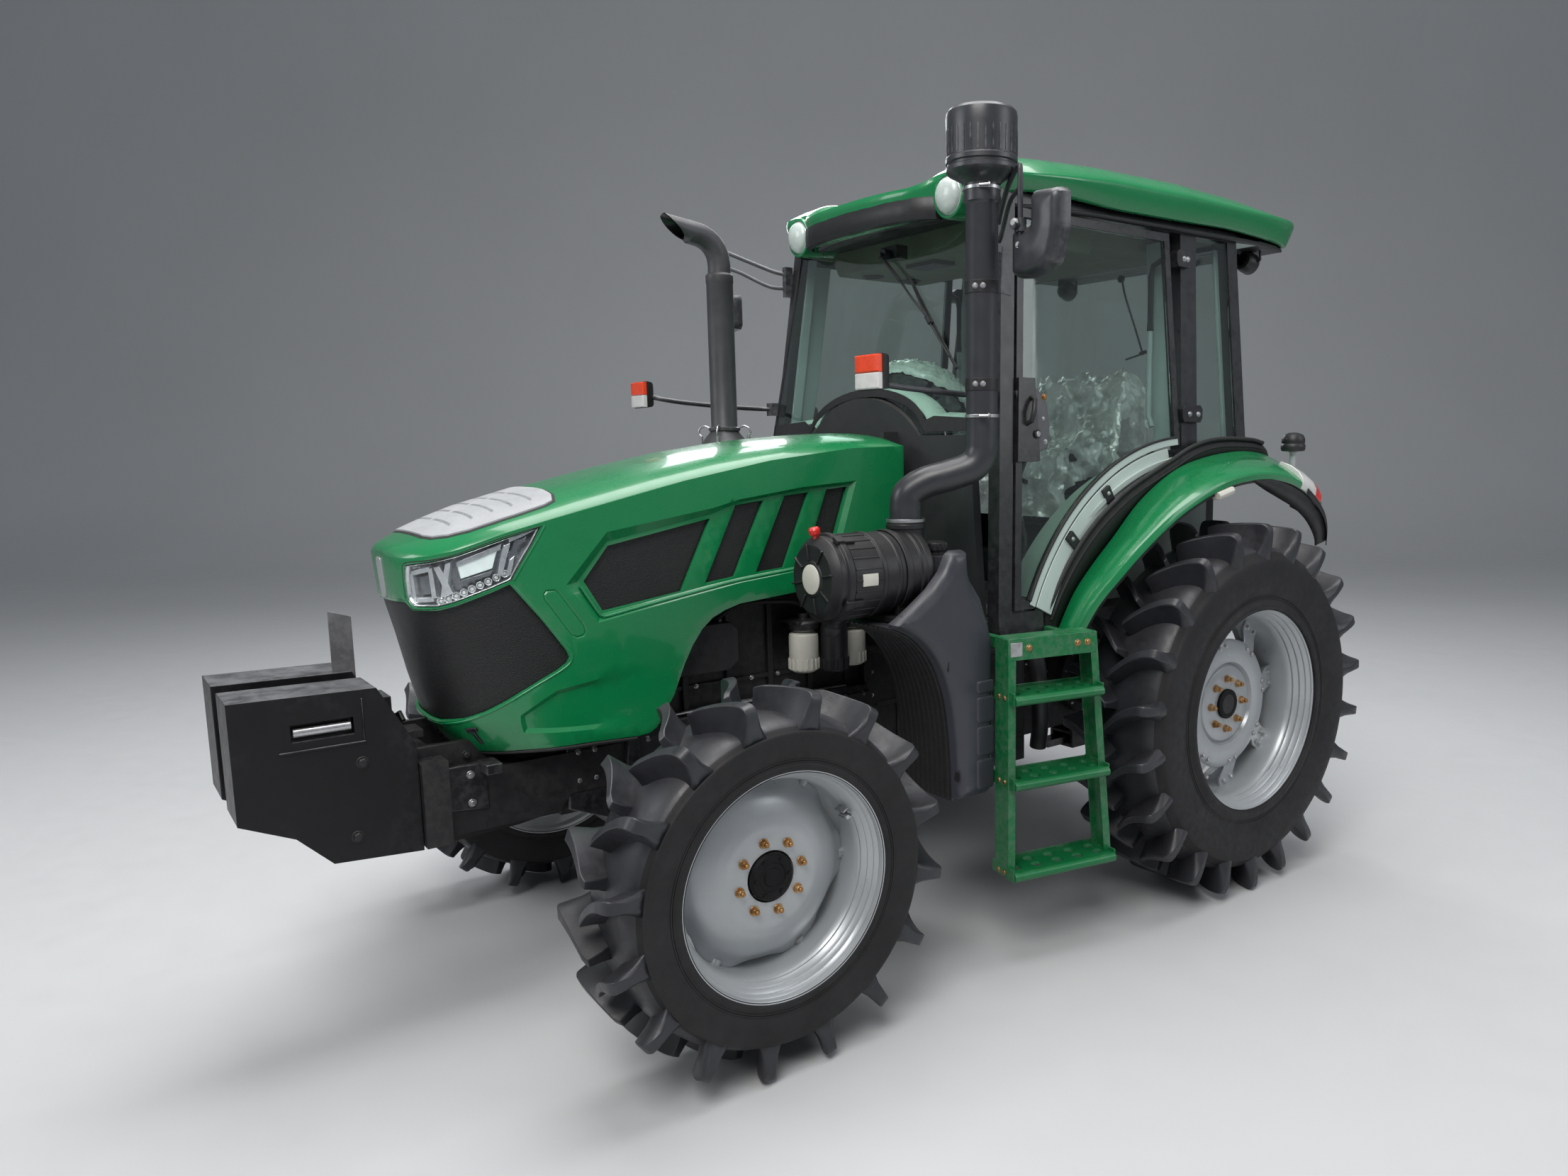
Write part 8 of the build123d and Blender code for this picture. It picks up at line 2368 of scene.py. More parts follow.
for sg in (1, -1):
    C = Vector((sg * 1.010, .520, 1.905))
    lathe(mk, [(.018, -.165), (.018, -.155), (.030, -.150), (.030, -.140), (.0155, -.132), (.014, -.01), (.019, .0), (.022, .004)], C, (0, 0, 1), n=32, mi=0)
    lathe(mk, [(.016, -.004), (.050, .0), (.0545, .010), (.0545, .026), (.052, .030), (.050, .034), (.0525, .040), (.051, .058), (.042, .074), (.022, .083), (.0, .085)], C, (0, 0, 1), n=40, mi=1)
piece("marker_stalks", mk, [TRIM, PLASTIC], "chassis", angle=34)

# ------------------------------------------------------------------ pale panel under the door's lower arc
def arc_band(m, sg, r0, r1, a0, a1, d0, d1, n=44, mi=0):
    """Band in the cab's side plane round the rear axle, from depth d0 to d1."""
    b0 = len(m.v)
    for k in range(n + 1):
        a = radians(lerp(a0, a1, k / n))
        for r, d in ((r0, d0), (r0, d1), (r1, d1), (r1, d0)):
            y, z = r * cos(a), .805 + r * sin(a)
            m.v.append((sg * side_x(z, d), y, z))
    for k in range(n):
        for j in range(4):
            m.f.append((b0 + 4 * k + j, b0 + 4 * k + (j + 1) % 4, b0 + 4 * k + 4 + (j + 1) % 4, b0 + 4 * k + 4 + j))
            m.m.append(mi)
    m.f += [(b0, b0 + 1, b0 + 2, b0 + 3), (b0 + 4 * n + 3, b0 + 4 * n + 2, b0 + 4 * n + 1, b0 + 4 * n)]
    m.m += [mi, mi]


PALE = mat("pale_panel", (.44, .52, .49), rough=.42, var=.08, vscale=4, coat=.15, bumps=[(500, .12, .0005), (12, .05, .002)], dust=.06)
ap = Mesh()
for sg in (1, -1):
    arc_band(ap, sg, 1.040, 1.127, 153.0, 97.5, -.010, .004)
piece("arch_side_panel", ap, [PALE], "chassis", angle=30, bevel=.002)
af = Mesh()
for sg in (1, -1):
    for a, r in ((136, 1.100), (121, 1.094)):       # small latch fittings
        y, z = r * cos(radians(a)), .805 + r * sin(radians(a))
        t_ = Vector((0, -sin(radians(a)), cos(radians(a))))
        nn = Vector((0, cos(radians(a)), sin(radians(a))))
        hexa(af, Vector((sg * side_x(z, .003), y, z)) - t_ * .022 - nn * .040, t_ * .044, nn * .066, Vector((sg * .016, 0, 0)))
        bolt(af, (sg * side_x(z, .019), y, z), (sg, 0, 0), .007, .006, mi=1)
piece("arch_fittings", af, [PLASTIC, STEEL], "chassis", angle=30, bevel=.003)
for sg, side in ((1, "left"), (-1, "right")):
    dp = Mesh()
    a_hi = math.degrees(math.acos(-.075 / 1.15))
    arc_band(dp, sg, 1.1355, 1.164, 153.2, a_hi, .0005, .005)
    piece(f"door_arc_trim_{side}", dp, [PALE], f"door_{side}", angle=30, bevel=.0015)
    dl = Mesh()
    arc_band(dl, sg, 1.1635, 1.1735, 152.6, a_hi, -.004, .008)
    piece(f"door_arc_bead_{side}", dl, [SEALM], f"door_{side}", angle=30, bevel=.003, seg=3)
# ------------------------------------------------------------------ engine, frame and running gear
WBY = -2.320


def bolts_on_circle(m, c, d, rad, n, r, h, mi=0, a0=0.0):
    """Ring of bolts standing on a flange face."""
    u, w, d = frame_of(d)
    c = Vector(c)
    for k in range(n):
        a = a0 + 2 * pi * k / n
        bolt(m, c + u * (rad * cos(a)) + w * (rad * sin(a)), d, r, h, mi=mi)


def flange_frame(m, x, z0, z1, y0, y1, t, mi=0):
    """Rectangular flange standing proud round a housing."""
    box(m, x - .002, x + t, y0, y1, z0 - t, z1 + t, mi)
    box(m, -x - t, -x + .002, y0, y1, z0 - t, z1 + t, mi)
    box(m, -x, x, y0, y1, z1 - .002, z1 + t, mi)
    box(m, -x, x, y0, y1, z0 - t, z0 + .002, mi)


# engine castings
en = Mesh()
box(en, -.205, .205, -2.470, -1.420, 1.395, 1.420)            # head joint
slab(en, -.150, .150, [(-2.47, 1.50), (-2.47, 1.565), (-2.43, 1.600), (-1.56, 1.640), (-1.52, 1.615), (-1.52, 1.54)])
box(en, -.215, .215, -2.440, -1.400, .886, .908)              # sump joint
for sg in (1, -1):
    for k in range(6):
        y = -2.36 + k * .185
        box(en, sg * .180, sg * .204, y - .012, y + .012, .92, 1.385)
    box(en, sg * .182, sg * .197, -2.28, -1.52, 1.045, 1.062)
    for k in range(4):
        y = -2.28 + k * .205
        box(en, sg * .182, sg * .222, y - .045, y + .045, 1.432, 1.486)
# intake manifold on the left, exhaust manifold on the right
box(en, .218, .286, -2.360, -1.600, 1.440, 1.500)
rod(en, (.252, -1.610, 1.470), (.252, -1.500, 1.470), .034)
tube(en, spline([(-.250, -2.34, 1.462), (-.262, -2.20, 1.468), (-.264, -1.95, 1.472), (-.262, -1.70, 1.470), (-.262, -1.56, 1.440)], 8), .040, n=20)
for k in range(4):
    y = -2.28 + k * .205
    tube(en, spline([(-.215, y, 1.458), (-.240, y + .010, 1.462), (-.262, y + .040, 1.468)], 6), .028, n=16)
# injection pump, starter and dynamo bodies
slab(en, .196, .300, [(-2.34, 1.150), (-2.34, 1.270), (-2.30, 1.300), (-2.03, 1.300), (-2.00, 1.270), (-2.00, 1.150), (-2.04, 1.120), (-2.30, 1.120)])
rod(en, (.250, -2.440, 1.205), (.250, -2.335, 1.205), .054)
rod(en, (-.245, -1.800, 1.000), (-.245, -1.480, 1.000), .056)
rod(en, (-.250, -1.700, 1.090), (-.250, -1.540, 1.090), .030)
lathe(en, [(0, 0), (.040, 0), (.064, .008), (.068, .020), (.068, .120), (.062, .134), (.030, .138), (0, .138)], (.262, -2.700, 1.330), (0, 1, 0), n=40)
for k in range(12):
    a = 2 * pi * k / 12
    box(en, .262 + .052 * cos(a) - .004, .262 + .052 * cos(a) + .004, -2.566, -2.560, 1.330 + .052 * sin(a) - .004, 1.330 + .052 * sin(a) + .004, 0)
# timing cover
slab(en, -.165, .165, [(-2.800, .93), (-2.800, 1.40), (-2.765, 1.43), (-2.74, 1.43), (-2.74, .93)])
rod(en, (0, -2.830, 1.255), (0, -2.795, 1.255), .070)
piece("engine_castings", en, [CAST], "chassis", angle=32, bevel=.004, seg=2)

# canisters and bright parts of the left side
fl = Mesh()


def canister(x, y, z0, z1, r, mi, capmi):
    h = z1 - z0
    lathe(fl, [(0, 0), (r * .72, 0), (r * .95, .008), (r, .020), (r, h - .022), (r * .97, h - .012), (r * .80, h - .004), (r * .66, h), (r * .66, h + .012), (0, h + .012)], (x, y, z0), (0, 0, 1), n=48, mi=mi)
    for k in range(18):
        a = 2 * pi * k / 18
        box(fl, x + r * .985 * cos(a) - .004, x + r * .985 * cos(a) + .004, y + r * .985 * sin(a) - .004, y + r * .985 * sin(a) + .004, z0 + .012, z0 + .055, mi)
    lathe(fl, [(0, 0), (r * 1.02, 0), (r * 1.04, .006), (r * 1.04, .026), (r * .9, .036), (r * .35, .040), (r * .35, .060), (0, .062)], (x, y, z1 + .008), (0, 0, 1), n=40, mi=capmi)


canister(.300, -1.712, 1.070, 1.232, .058, 2, 0)
canister(.300, -1.484, 1.070, 1.222, .058, 2, 0)
canister(.345, -1.600, 1.065, 1.300, .056, 0, 1)
box(fl, .190, .345, -1.770, -1.430, 1.262, 1.276, 0)
box(fl, .290, .330, -1.625, -1.575, 1.318, 1.330, 0)
piece("engine_filters", fl, [PLASTIC, STEEL, CREAM], "chassis", angle=32, bevel=.0016, seg=2)

# pipes, hoses and harness
hp = Mesh()
for k in range(4):
    y = -2.28 + k * .205
    y1 = -2.290 + k * .080
    tube(hp, spline([(.250, y1, 1.298), (.252, y1, 1.350), (.275 + .004 * k, (y + y1) / 2, 1.400), (.225, y, 1.560), (.150, y, 1.600)], 6), .0042, n=8, mi=1)
    cyl(hp, (.250, y1, 1.296), (.250, y1, 1.318), .009, n=6, mi=1)
    cyl(hp, (.138, y, 1.595), (.164, y, 1.602), .009, n=6, mi=1)
tube(hp, spline([(.310, -1.712, 1.330), (.330, -1.80, 1.36), (.290, -1.98, 1.36), (.262, -2.07, 1.31)], 8), .0085, n=10, mi=0)
tube(hp, spline([(.300, -1.484, 1.306), (.315, -1.53, 1.350), (.345, -1.59, 1.362)], 8), .0085, n=10, mi=0)
tube(hp, spline([(.212, -2.66, 1.360), (.222, -2.45, 1.372), (.226, -2.10, 1.366), (.228, -1.80, 1.374), (.215, -1.45, 1.350)], 8), .010, n=10, mi=0)
tube(hp, spline([(.205, -2.58, .965), (.212, -2.30, .960), (.214, -1.90, .968), (.205, -1.45, .955)], 8), .008, n=10, mi=1)
tube(hp, spline([(.120, -2.690, 1.485), (.125, -2.740, 1.515), (.128, -2.830, 1.520), (.130, -2.915, 1.478)], 8), .027, n=20, mi=0)
tube(hp, spline([(-.120, -2.770, 1.100), (-.130, -2.840, 1.085), (-.140, -2.915, 1.080)], 8), .027, n=20, mi=0)
tube(hp, spline([(.252, -1.505, 1.470), (.262, -1.455, 1.475), (.310, -1.430, 1.480), (.420, -1.455, 1.490), (.560, -1.480, 1.492), (.640, -1.482, 1.492)], 8), .036, n=22, mi=0)
for p in ((.1235, -2.722, 1.506), (.1285, -2.850, 1.516)):
    ring(hp, Vector(p) - Vector((0, .006, 0)), (0, 1, .1), .0275, .0305, .012, n=28, mi=1)
for x in (.300, .480):
    ring(hp, (x, -1.434 if x < .4 else -1.464, 1.480), (1, -.1, 0), .0365, .0400, .012, n=28, mi=1)
piece("engine_hoses", hp, [RUBBER_SIDE, STEEL], "chassis", angle=60)

# pulleys, belt, fan and radiator
fn = Mesh()
for (x, z, r, y) in ((0, 1.020, .098, -2.830), (0, 1.255, .074, -2.838), (.262, 1.330, .036, -2.722)):
    lathe(fn, [(0, -.002), (r * .45, -.002), (r * .5, -.012), (r, -.012), (r * 1.0, -.006), (r * .90, .001), (r * 1.0, .008), (r, .014), (r * .5, .014), (0, .010)], (x, y, z), (0, 1, 0), n=48, mi=1)
belt = []
for (x, z, r, a0, a1) in ((0, 1.020, .094, 170, 330), (.262, 1.330, .034, -35, 75), (0, 1.255, .072, 88, 172)):
    for k in range(9):
        a = radians(a0 + (a1 - a0) * k / 8)
        belt.append((x + r * cos(a), -2.829, z + r * sin(a)))
tube(fn, belt, .0062, n=8, mi=2, closed=True)
rod(fn, (0, -2.880, 1.255), (0, -2.835, 1.255), .040)
for k in range(7):
    a = 2 * pi * k / 7
    u = Vector((cos(a), 0, sin(a)))
    w = Vector((-sin(a), .55, cos(a))).normalized()
    c = Vector((0, -2.868, 1.255))
    hexa(fn, c + u * .030 - w * .028, u * .130, w * .056, Vector((0, .004, 0)), mi=0)
for (x0, x1, z0, z1) in ((-.204, .204, 1.462, 1.500), (-.204, .204, 1.030, 1.062), (-.204, -.184, 1.062, 1.462), (.184, .204, 1.062, 1.462)):
    box(fn, x0, x1, -2.962, -2.905, z0, z1)
for k in range(24):
    z = 1.068 + k * .0168
    box(fn, -.186, .186, -2.956, -2.912, z, z + .0022, 1)
for k in range(11):
    x = -.178 + k * .0356
    box(fn, x - .003, x + .003, -2.950, -2.916, 1.062, 1.462, 1)
lathe(fn, [(.170, 0), (.178, 0), (.182, .050), (.174, .050)], (0, -2.905, 1.255), (0, 1, 0), n=64, close=True)
cyl(fn, (-.10, -2.934, 1.499), (-.10, -2.934, 1.520), .026, n=32, mi=1)
cyl(fn, (-.10, -2.934, 1.520), (-.10, -2.934, 1.530), .018, n=24, mi=1)
piece("cooling_pack", fn, [PLASTIC, STEEL, RUBBER_SIDE], "chassis", angle=32, bevel=.0008, seg=1)

# bolts of the engine, the frame, the axle and the rear housing
bo = Mesh()
for sg in (1, -1):
    for k in range(9):
        bolt(bo, (sg * .140, -2.40 + k * .105, 1.622 + k * .0022), (0, 0, 1), .0075, .009)
    for k in range(10):
        bolt(bo, (sg * .208, -2.40 + k * .108, .908), (0, 0, 1), .006, .007)
    for k in range(7):
        bolt(bo, (sg * .197, -2.25 + k * .12, 1.053), (sg, 0, 0), .007, .008)
    for z in (.97, 1.06, 1.15, 1.24, 1.33, 1.40):
        bolt(bo, (sg * .150, -2.800, z), (0, -1, 0), .0065, .008)
lathe(bo, [(0, 0), (.034, 0), (.038, .004), (.038, .018), (.030, .024), (0, .026)], (0, -2.10, 1.612), (0, 0, 1), n=36)
piece("engine_bolts", bo, [STEEL], "chassis", bevel=.0006, seg=1)

# frame: side plates, pivot casting and brackets
fr = Mesh()
for sg in (1, -1):
    slab(fr, sg * .234, sg * .250, [(-2.66, .700), (-2.66, .955), (-2.02, .955), (-2.02, .760), (-2.12, .660), (-2.52, .640)])
    slab(fr, sg * .236, sg * .262, [(-3.125, .790), (-3.125, .925), (-3.030, .930), (-2.93, .930), (-2.93, .770)])
    box(fr, sg * .236, sg * .330, -2.955, -2.900, .900, .935)
    slab(fr, sg * .250, sg * .275, [(-2.47, .690), (-2.44, .930), (-2.40, .930), (-2.40, .690)])
    slab(fr, sg * .250, sg * .275, [(-2.24, .690), (-2.24, .930), (-2.20, .930), (-2.17, .690)])
    box(fr, sg * .234, sg * .246, -1.60, -1.36, .70, .96)
slab(fr, -.150, .150, [(-2.50, .690), (-2.50, .860), (-2.425, .860), (-2.425, .575), (-2.46, .560)])
slab(fr, -.150, .150, [(-2.215, .575), (-2.215, .860), (-2.14, .860), (-2.14, .690), (-2.18, .560)])
box(fr, -.232, .232, -3.075, -3.045, .790, .915)
piece("frame_plates", fr, [BLACK], "chassis", angle=30, bevel=.005, seg=2)
fb = Mesh()
for sg in (1, -1):
    for y in (-2.62, -2.56, -2.36, -2.30, -2.09, -2.05):
        for z in (.900, .800):
            bolt(fb, (sg * .250, y, z), (sg, 0, 0), .0095, .010)
    for y, z in ((-3.095, .82), (-3.095, .895), (-2.985, .80), (-2.985, .895)):
        bolt(fb, (sg * .262, y, z), (sg, 0, 0), .010, .010)
    for y in (-1.57, -1.48, -1.39):
        for z in (.74, .92):
            bolt(fb, (sg * .246, y, z), (sg, 0, 0), .009, .009)
    for dy in (-.045, .045):
        for dx in (.018, .142):
            bolt(fb, (sg * (.612 + dx), WBY + dy, .838), (0, 0, 1), .010, .010)
    cyl(fb, (sg * .720, WBY, .838), (sg * .720, WBY, .852), .034, n=32)
    bolts_on_circle(fb, (sg * .600, WBY, .600), (-sg, 0, 0), .050, 6, .008, .009)
bolts_on_circle(fb, (.060, WBY - .106, .592), (0, -1, 0), .036, 6, .007, .008)
cyl(fb, (0, -2.512, .775), (0, -2.498, .775), .046, n=36)
bolts_on_circle(fb, (0, -2.512, .775), (0, -1, 0), .030, 6, .006, .006)
piece("frame_bolts", fb, [STEEL], "chassis", bevel=.0006, seg=1)

# front axle: joints of the castings, drive shaft and cylinder lines
fx = Mesh()
for sg in (1, -1):
    box(fx, sg * .330, sg * .352, WBY - .078, WBY + .078, .530, .690)
    lathe(fx, [(0, 0), (.050, 0), (.058, .010), (.058, .044), (.050, .050), (0, .050)], (sg * .250, WBY + .150, .478), (-sg, 0, 0), n=32)
    slab(fx, sg * .380, sg * .400, [(WBY - .060, .675), (WBY - .020, .720), (WBY + .020, .720), (WBY + .060, .675)])
    slab(fx, sg * .500, sg * .520, [(WBY - .060, .675), (WBY - .020, .745), (WBY + .020, .745), (WBY + .060, .675)])
    tube(fx, spline([(sg * .170, WBY + .150, .515), (sg * .165, WBY + .17, .60), (sg * .140, WBY + .16, .70), (sg * .120, WBY + .21, .80)], 8), .0095, n=12, mi=1)
lathe(fx, [(0, 0), (.050, 0), (.068, .010), (.074, .030), (.074, .046), (.050, .058), (.040, .085), (0, .085)], (.060, WBY + .075, .592), (0, 1, .05), n=40)
rod(fx, (.060, WBY + .150, .596), (.060, -1.365, .668), .026)
for t in (.08, .5, .92):
    p = Vector((.060, WBY + .150, .596)).lerp(Vector((.060, -1.365, .668)), t)
    ring(fx, p, (0, 1, .09), .026, .034, .030, n=32)
piece("front_axle_castings", fx, [CAST, RUBBER_SIDE], "chassis", angle=34, bevel=.004, seg=2)
for sg, side in ((1, "left"), (-1, "right")):
    kn = Mesh()
    for sy in (1, -1):
        lathe(kn, [(0, 0), (.030, 0), (.030, .009), (.027, .011), (0, .011)], (sg * .720, WBY + sy * .066, .615), (0, sy, 0), n=36)
        bolt(kn, (sg * .720, WBY + sy * .0765, .615), (0, sy, 0), .009, .0045, mi=1)
    for z in (.470, .760):
        ring(kn, (sg * .720, WBY, z - .010), (0, 0, 1), .070, .082, .020, n=48)
    lathe(kn, [(.100, 0), (.136, 0), (.136, .016), (.128, .022), (.100, .022)], (sg * .800, WBY, .610), (sg, 0, 0), n=64, close=True)
    for k in range(12):
        a = 2 * pi * k / 12
        bolt(kn, (sg * .822, WBY + .1285 * cos(a), .610 + .1285 * sin(a)), (sg, 0, 0), .0060, .007, mi=1)
    bolt(kn, (sg * .700, WBY + .075, .532), (0, 0, 1), .012, .012, mi=1)
    bolt(kn, (sg * .700, WBY + .110, .532), (0, 0, 1), .012, .012, mi=1)
    bolt(kn, (sg * .680, WBY + .150, .534), (0, 0, 1), .015, .018, mi=1)
    piece(f"knuckle_fittings_{side}", kn, [CAST, STEEL], f"knuckle_{side}", angle=34, bevel=.0012, seg=1)
sr = Mesh()
for sg in (1, -1):
    cyl(sr, (sg * .600, WBY + .150, .478), (sg * .622, WBY + .150, .478), .024, n=6)
    lathe(sr, [(.016, 0), (.026, .003), (.026, .018), (.016, .021)], (sg * .575, WBY + .150, .478), (sg, 0, 0), n=28, close=True)
piece("steering_rod_nuts", sr, [STEEL], "steering_rod", bevel=.0008, seg=1)

# transmission and rear housing
tr = Mesh()
flange_frame(tr, .212, .640, 1.062, -1.366, -1.330, .018)
flange_frame(tr, .212, .575, 1.100, -.640, -.600, .018)
flange_frame(tr, .212, .592, 1.160, .360, .392, .014)
for sg in (1, -1):
    for k, y in enumerate((-1.18, -1.02, -.86, -.28, -.12, .12)):
        box(tr, sg * .206, sg * .222, y - .009, y + .009, .66, 1.04)
    box(tr, sg * .206, sg * .218, -1.30, -.68, .845, .862)
    lathe(tr, [(0, 0), (.092, 0), (.092, .010), (.078, .018), (.030, .022), (0, .022)], (sg * .208, -.36, .860), (sg, 0, 0), n=56)
    lathe(tr, [(.160, 0), (.196, 0), (.196, .024), (.160, .024)], (sg * .742, 0, .805), (sg, 0, 0), n=72, close=True)
slab(tr, -.165, .165, [(-.40, 1.130), (-.36, 1.200), (-.05, 1.232), (.30, 1.215), (.36, 1.150)])
box(tr, -.135, .135, .466, .486, .930, 1.095)
# shield over the power take-off shaft
slab(tr, -.128, .128, [(.440, .768), (.440, .776), (.590, .764), (.590, .756)])
for sg in (1, -1):
    slab(tr, sg * .122, sg * .130, [(.440, .770), (.590, .760), (.590, .700), (.530, .620), (.440, .600)])
ring(tr, (0, .464, .660), (0, 1, 0), .030, .080, .012, n=48)
piece("rear_housing_castings", tr, [CAST], "chassis", angle=32, bevel=.004, seg=2)
rb = Mesh()
for sg in (1, -1):
    for y in (-1.330, -.600):
        for z in (.70, .80, .90, 1.00):
            bolt(rb, (sg * .221, y, z), (0, 1, 0), .0085, .012)
    bolts_on_circle(rb, (sg * .226, -.36, .860), (sg, 0, 0), .076, 8, .007, .008)
    for k in range(12):
        a = 2 * pi * (k + .5) / 12
        bolt(rb, (sg * .742, .178 * cos(a), .805 + .178 * sin(a)), (-sg, 0, 0), .010, .011)
        bolt(rb, (sg * .245, .172 * cos(a), .805 + .172 * sin(a)), (sg, 0, 0), .009, .010)
    for z in (.95, 1.012, 1.075):
        bolt(rb, (sg * .118, .486, z), (0, 1, 0), .0075, .009)
    for k in range(5):
        bolt(rb, (sg * .150, -.33 + k * .15, 1.196 + .010 * min(k, 3)), (0, 0, 1), .008, .010)
for x in (-.09, -.03, .03, .09):
    cyl(rb, (x, .484, 1.040), (x, .520, 1.040), .014, n=6)
    lathe(rb, [(0, 0), (.017, 0), (.019, .006), (.019, .020), (.012, .026), (.012, .036), (0, .036)], (x, .518, 1.040), (0, 1, 0), n=28)
bolts_on_circle(rb, (0, .476, .660), (0, 1, 0), .058, 6, .0065, .007)
piece("rear_housing_bolts", rb, [STEEL], "chassis", bevel=.0006, seg=1)

# linkage hardware
ll = Mesh()
for sg in (1, -1):
    for c, r in (((sg * .435, 1.165, .540), .0405), ((sg * .300, .130, .500), .0330)):
        lathe(ll, [(r * .62, -.021), (r * .92, -.019), (r * 1.06, -.012), (r * 1.06, .012), (r * .92, .019), (r * .62, .021)], c, (1, 0, 0), n=40, close=True)
piece("lower_link_balls", ll, [STEEL], "lower_links", angle=40)
tl = Mesh()
A, B = Vector((0, .540, .930)), Vector((0, .635, 1.570))
D = (B - A).normalized()
P0, P1 = A.lerp(B, .27), A.lerp(B, .73)
lathe(tl, [(.018, 0), (.029, .002), (.031, .010), (.031, (P1 - P0).length - .010), (.029, (P1 - P0).length - .002), (.018, (P1 - P0).length)], P0, D, n=36, close=True)
for q in (P0 - D * .030, P1 + D * .012):
    cyl(tl, q, q + D * .018, .029, n=6, mi=1)
C = A.lerp(B, .5)
tube(tl, spline([C + Vector((-.030, .010, 0)), C + Vector((-.036, .055, .010)), C + Vector((0, .075, .014)), C + Vector((.036, .055, .010)), C + Vector((.030, .010, 0))], 8), .0055, n=12, mi=1)
for k in range(9):
    for q in (A.lerp(B, .14), A.lerp(B, .79)):
        ring(tl, q + D * (k * .0065), D, .0, .0205, .0030, n=24, mi=1)
piece("top_link_sleeve", tl, [BLACK, STEEL], "top_link", angle=34, bevel=.0008, seg=1)
# ------------------------------------------------------------------ rear wall, rear window and hinges
rw = Mesh()
for (x0, x1, z0, z1) in ((-.610, -.220, 1.50, 1.80), (.220, .610, 1.50, 1.80), (-.190, .190, 1.56, 1.80)):
    # raised press frames on the wall
    for (a, b, c, d) in ((x0, x1, z0, z0 + .022), (x0, x1, z1 - .022, z1), (x0, x0 + .022, z0 + .022, z1 - .022), (x1 - .022, x1, z0 + .022, z1 - .022)):
        box(rw, a, b, .436, .449, c, d)
box(rw, -.625, .625, .436, .450, 1.438, 1.470)
for x in (-.50, -.30, .30, .50):
    box(rw, x - .014, x + .014, .436, .448, 1.260, 1.430)
slab(rw, -.632, .632, [(.438, 1.815), (.438, 1.845), (.456, 1.845), (.456, 1.838), (.446, 1.832), (.446, 1.815)])
for sg in (1, -1):
    # lever slots with boots and the sockets' covers
    box(rw, sg * .060, sg * .145, .438, .462, 1.30, 1.40)
    lathe(rw, [(0, 0), (.042, 0), (.044, .006), (.044, .022), (.034, .030), (0, .032)], (sg * .400, .446, 1.340), (0, 1, 0), n=40)
    box(rw, sg * .372, sg * .428, .462, .478, 1.380, 1.392)
piece("rear_wall_panels", rw, [SEMI], "chassis", angle=30, bevel=.004, seg=3)
rp = Mesh()
box(rp, -.140, .140, .449, .453, 1.595, 1.735, 1)
for sg in (1, -1):
    for z in (1.32, 1.42, 1.53, 1.66, 1.79):
        bolt(rp, (sg * .625, .441, z), (0, 1, 0), .0065, .007)
    for x in (.12, .30, .50):
        bolt(rp, (sg * x, .450, 1.454), (0, 1, 0), .0065, .007)
    bolt(rp, (sg * .115, .453, 1.665), (0, 1, 0), .005, .005)
piece("rear_wall_bolts", rp, [STEEL, PIPE], "chassis", bevel=.0008, seg=1)
rz = Mesh()
for sg in (1, -1):
    # hinge leaves with their knuckles
    for k in range(3):
        x = sg * .420 + (k - 1) * .0155
        cyl(rz, (x - .0072, .478, 2.880), (x + .0072, .478, 2.880), .0105, n=24)
    box(rz, sg * .420 - .021, sg * .420 + .021, .474, .4805, 2.800, 2.846)
    for z in (2.812, 2.834):
        bolt(rz, (sg * .420, .4805, z), (0, 1, 0), .0055, .005, mi=1)
# wiper: spindle, arm and blade lying low on the pane
lathe(rz, [(0, 0), (.017, 0), (.019, .004), (.019, .016), (.012, .022), (0, .024)], (0, .472, 2.790), (0, 1, 0), n=32)
tube(rz, spline([(0, .488, 2.790), (.020, .494, 2.70), (.095, .493, 2.52), (.150, .486, 2.395)], 8), .0052, n=10)
hexa(rz, (.040, .478, 2.375), (.230, 0, .045), (0, .010, 0), (-.0016, 0, .008))
hexa(rz, (.130, .480, 2.394), (.045, 0, .009), (0, .014, 0), (-.003, 0, .016))
# latch bodies at the lower edge
for sg in (1, -1):
    box(rz, sg * .118 - .020, sg * .118 + .020, .474, .4795, 1.884, 1.906)
piece("rear_window_fittings", rz, [PLASTIC, STEEL], "rear_window", angle=32, bevel=.0012, seg=2)
# lamp wiring on the fenders' rear
uf = Mesh()
for sg in (1, -1):
    tube(uf, spline([(sg * .17, .44, .96), (sg * .24, .47, 1.02), (sg * .36, .46, 1.12), (sg * .39, .445, 1.24), (sg * .40, .452, 1.31)], 8), .009, n=12)
    tube(uf, spline([(sg * .060, .500, 1.02), (sg * .075, .47, 1.12), (sg * .090, .452, 1.22), (sg * .100, .450, 1.31)], 8), .010, n=12)
piece("rear_lines", uf, [RUBBER_SIDE], "chassis", angle=60)
# ------------------------------------------------------------------ floor, light, camera
LOWZ = 0.0
fl = Mesh()
R = []
for i in range(0, 33):
    a = i / 32
    R.append(a)
prof = [(-9.0, 0.0), (9.0, 0.0), (12.0, .25), (14.0, 1.2), (15.2, 3.2), (15.6, 7.0), (15.6, 14.0)]
prof = [tuple(p) for p in spline([Vector((a, b, 0)) for a, b in prof[1:]], 8)]
line = [(-13.0, 0.0)] + [(p[0], max(0.0, p[1])) for p in prof]
vs, fs = [], []
for k, (d, z) in enumerate(line):
    for w in (-30, -10, 10, 30):
        vs.append((w, d, z))
for k in range(len(line) - 1):
    for j in range(3):
        fs.append((k * 4 + j, k * 4 + j + 1, (k + 1) * 4 + j + 1, (k + 1) * 4 + j))
ca, sa = math.cos(math.radians(51.157)), math.sin(math.radians(51.157))
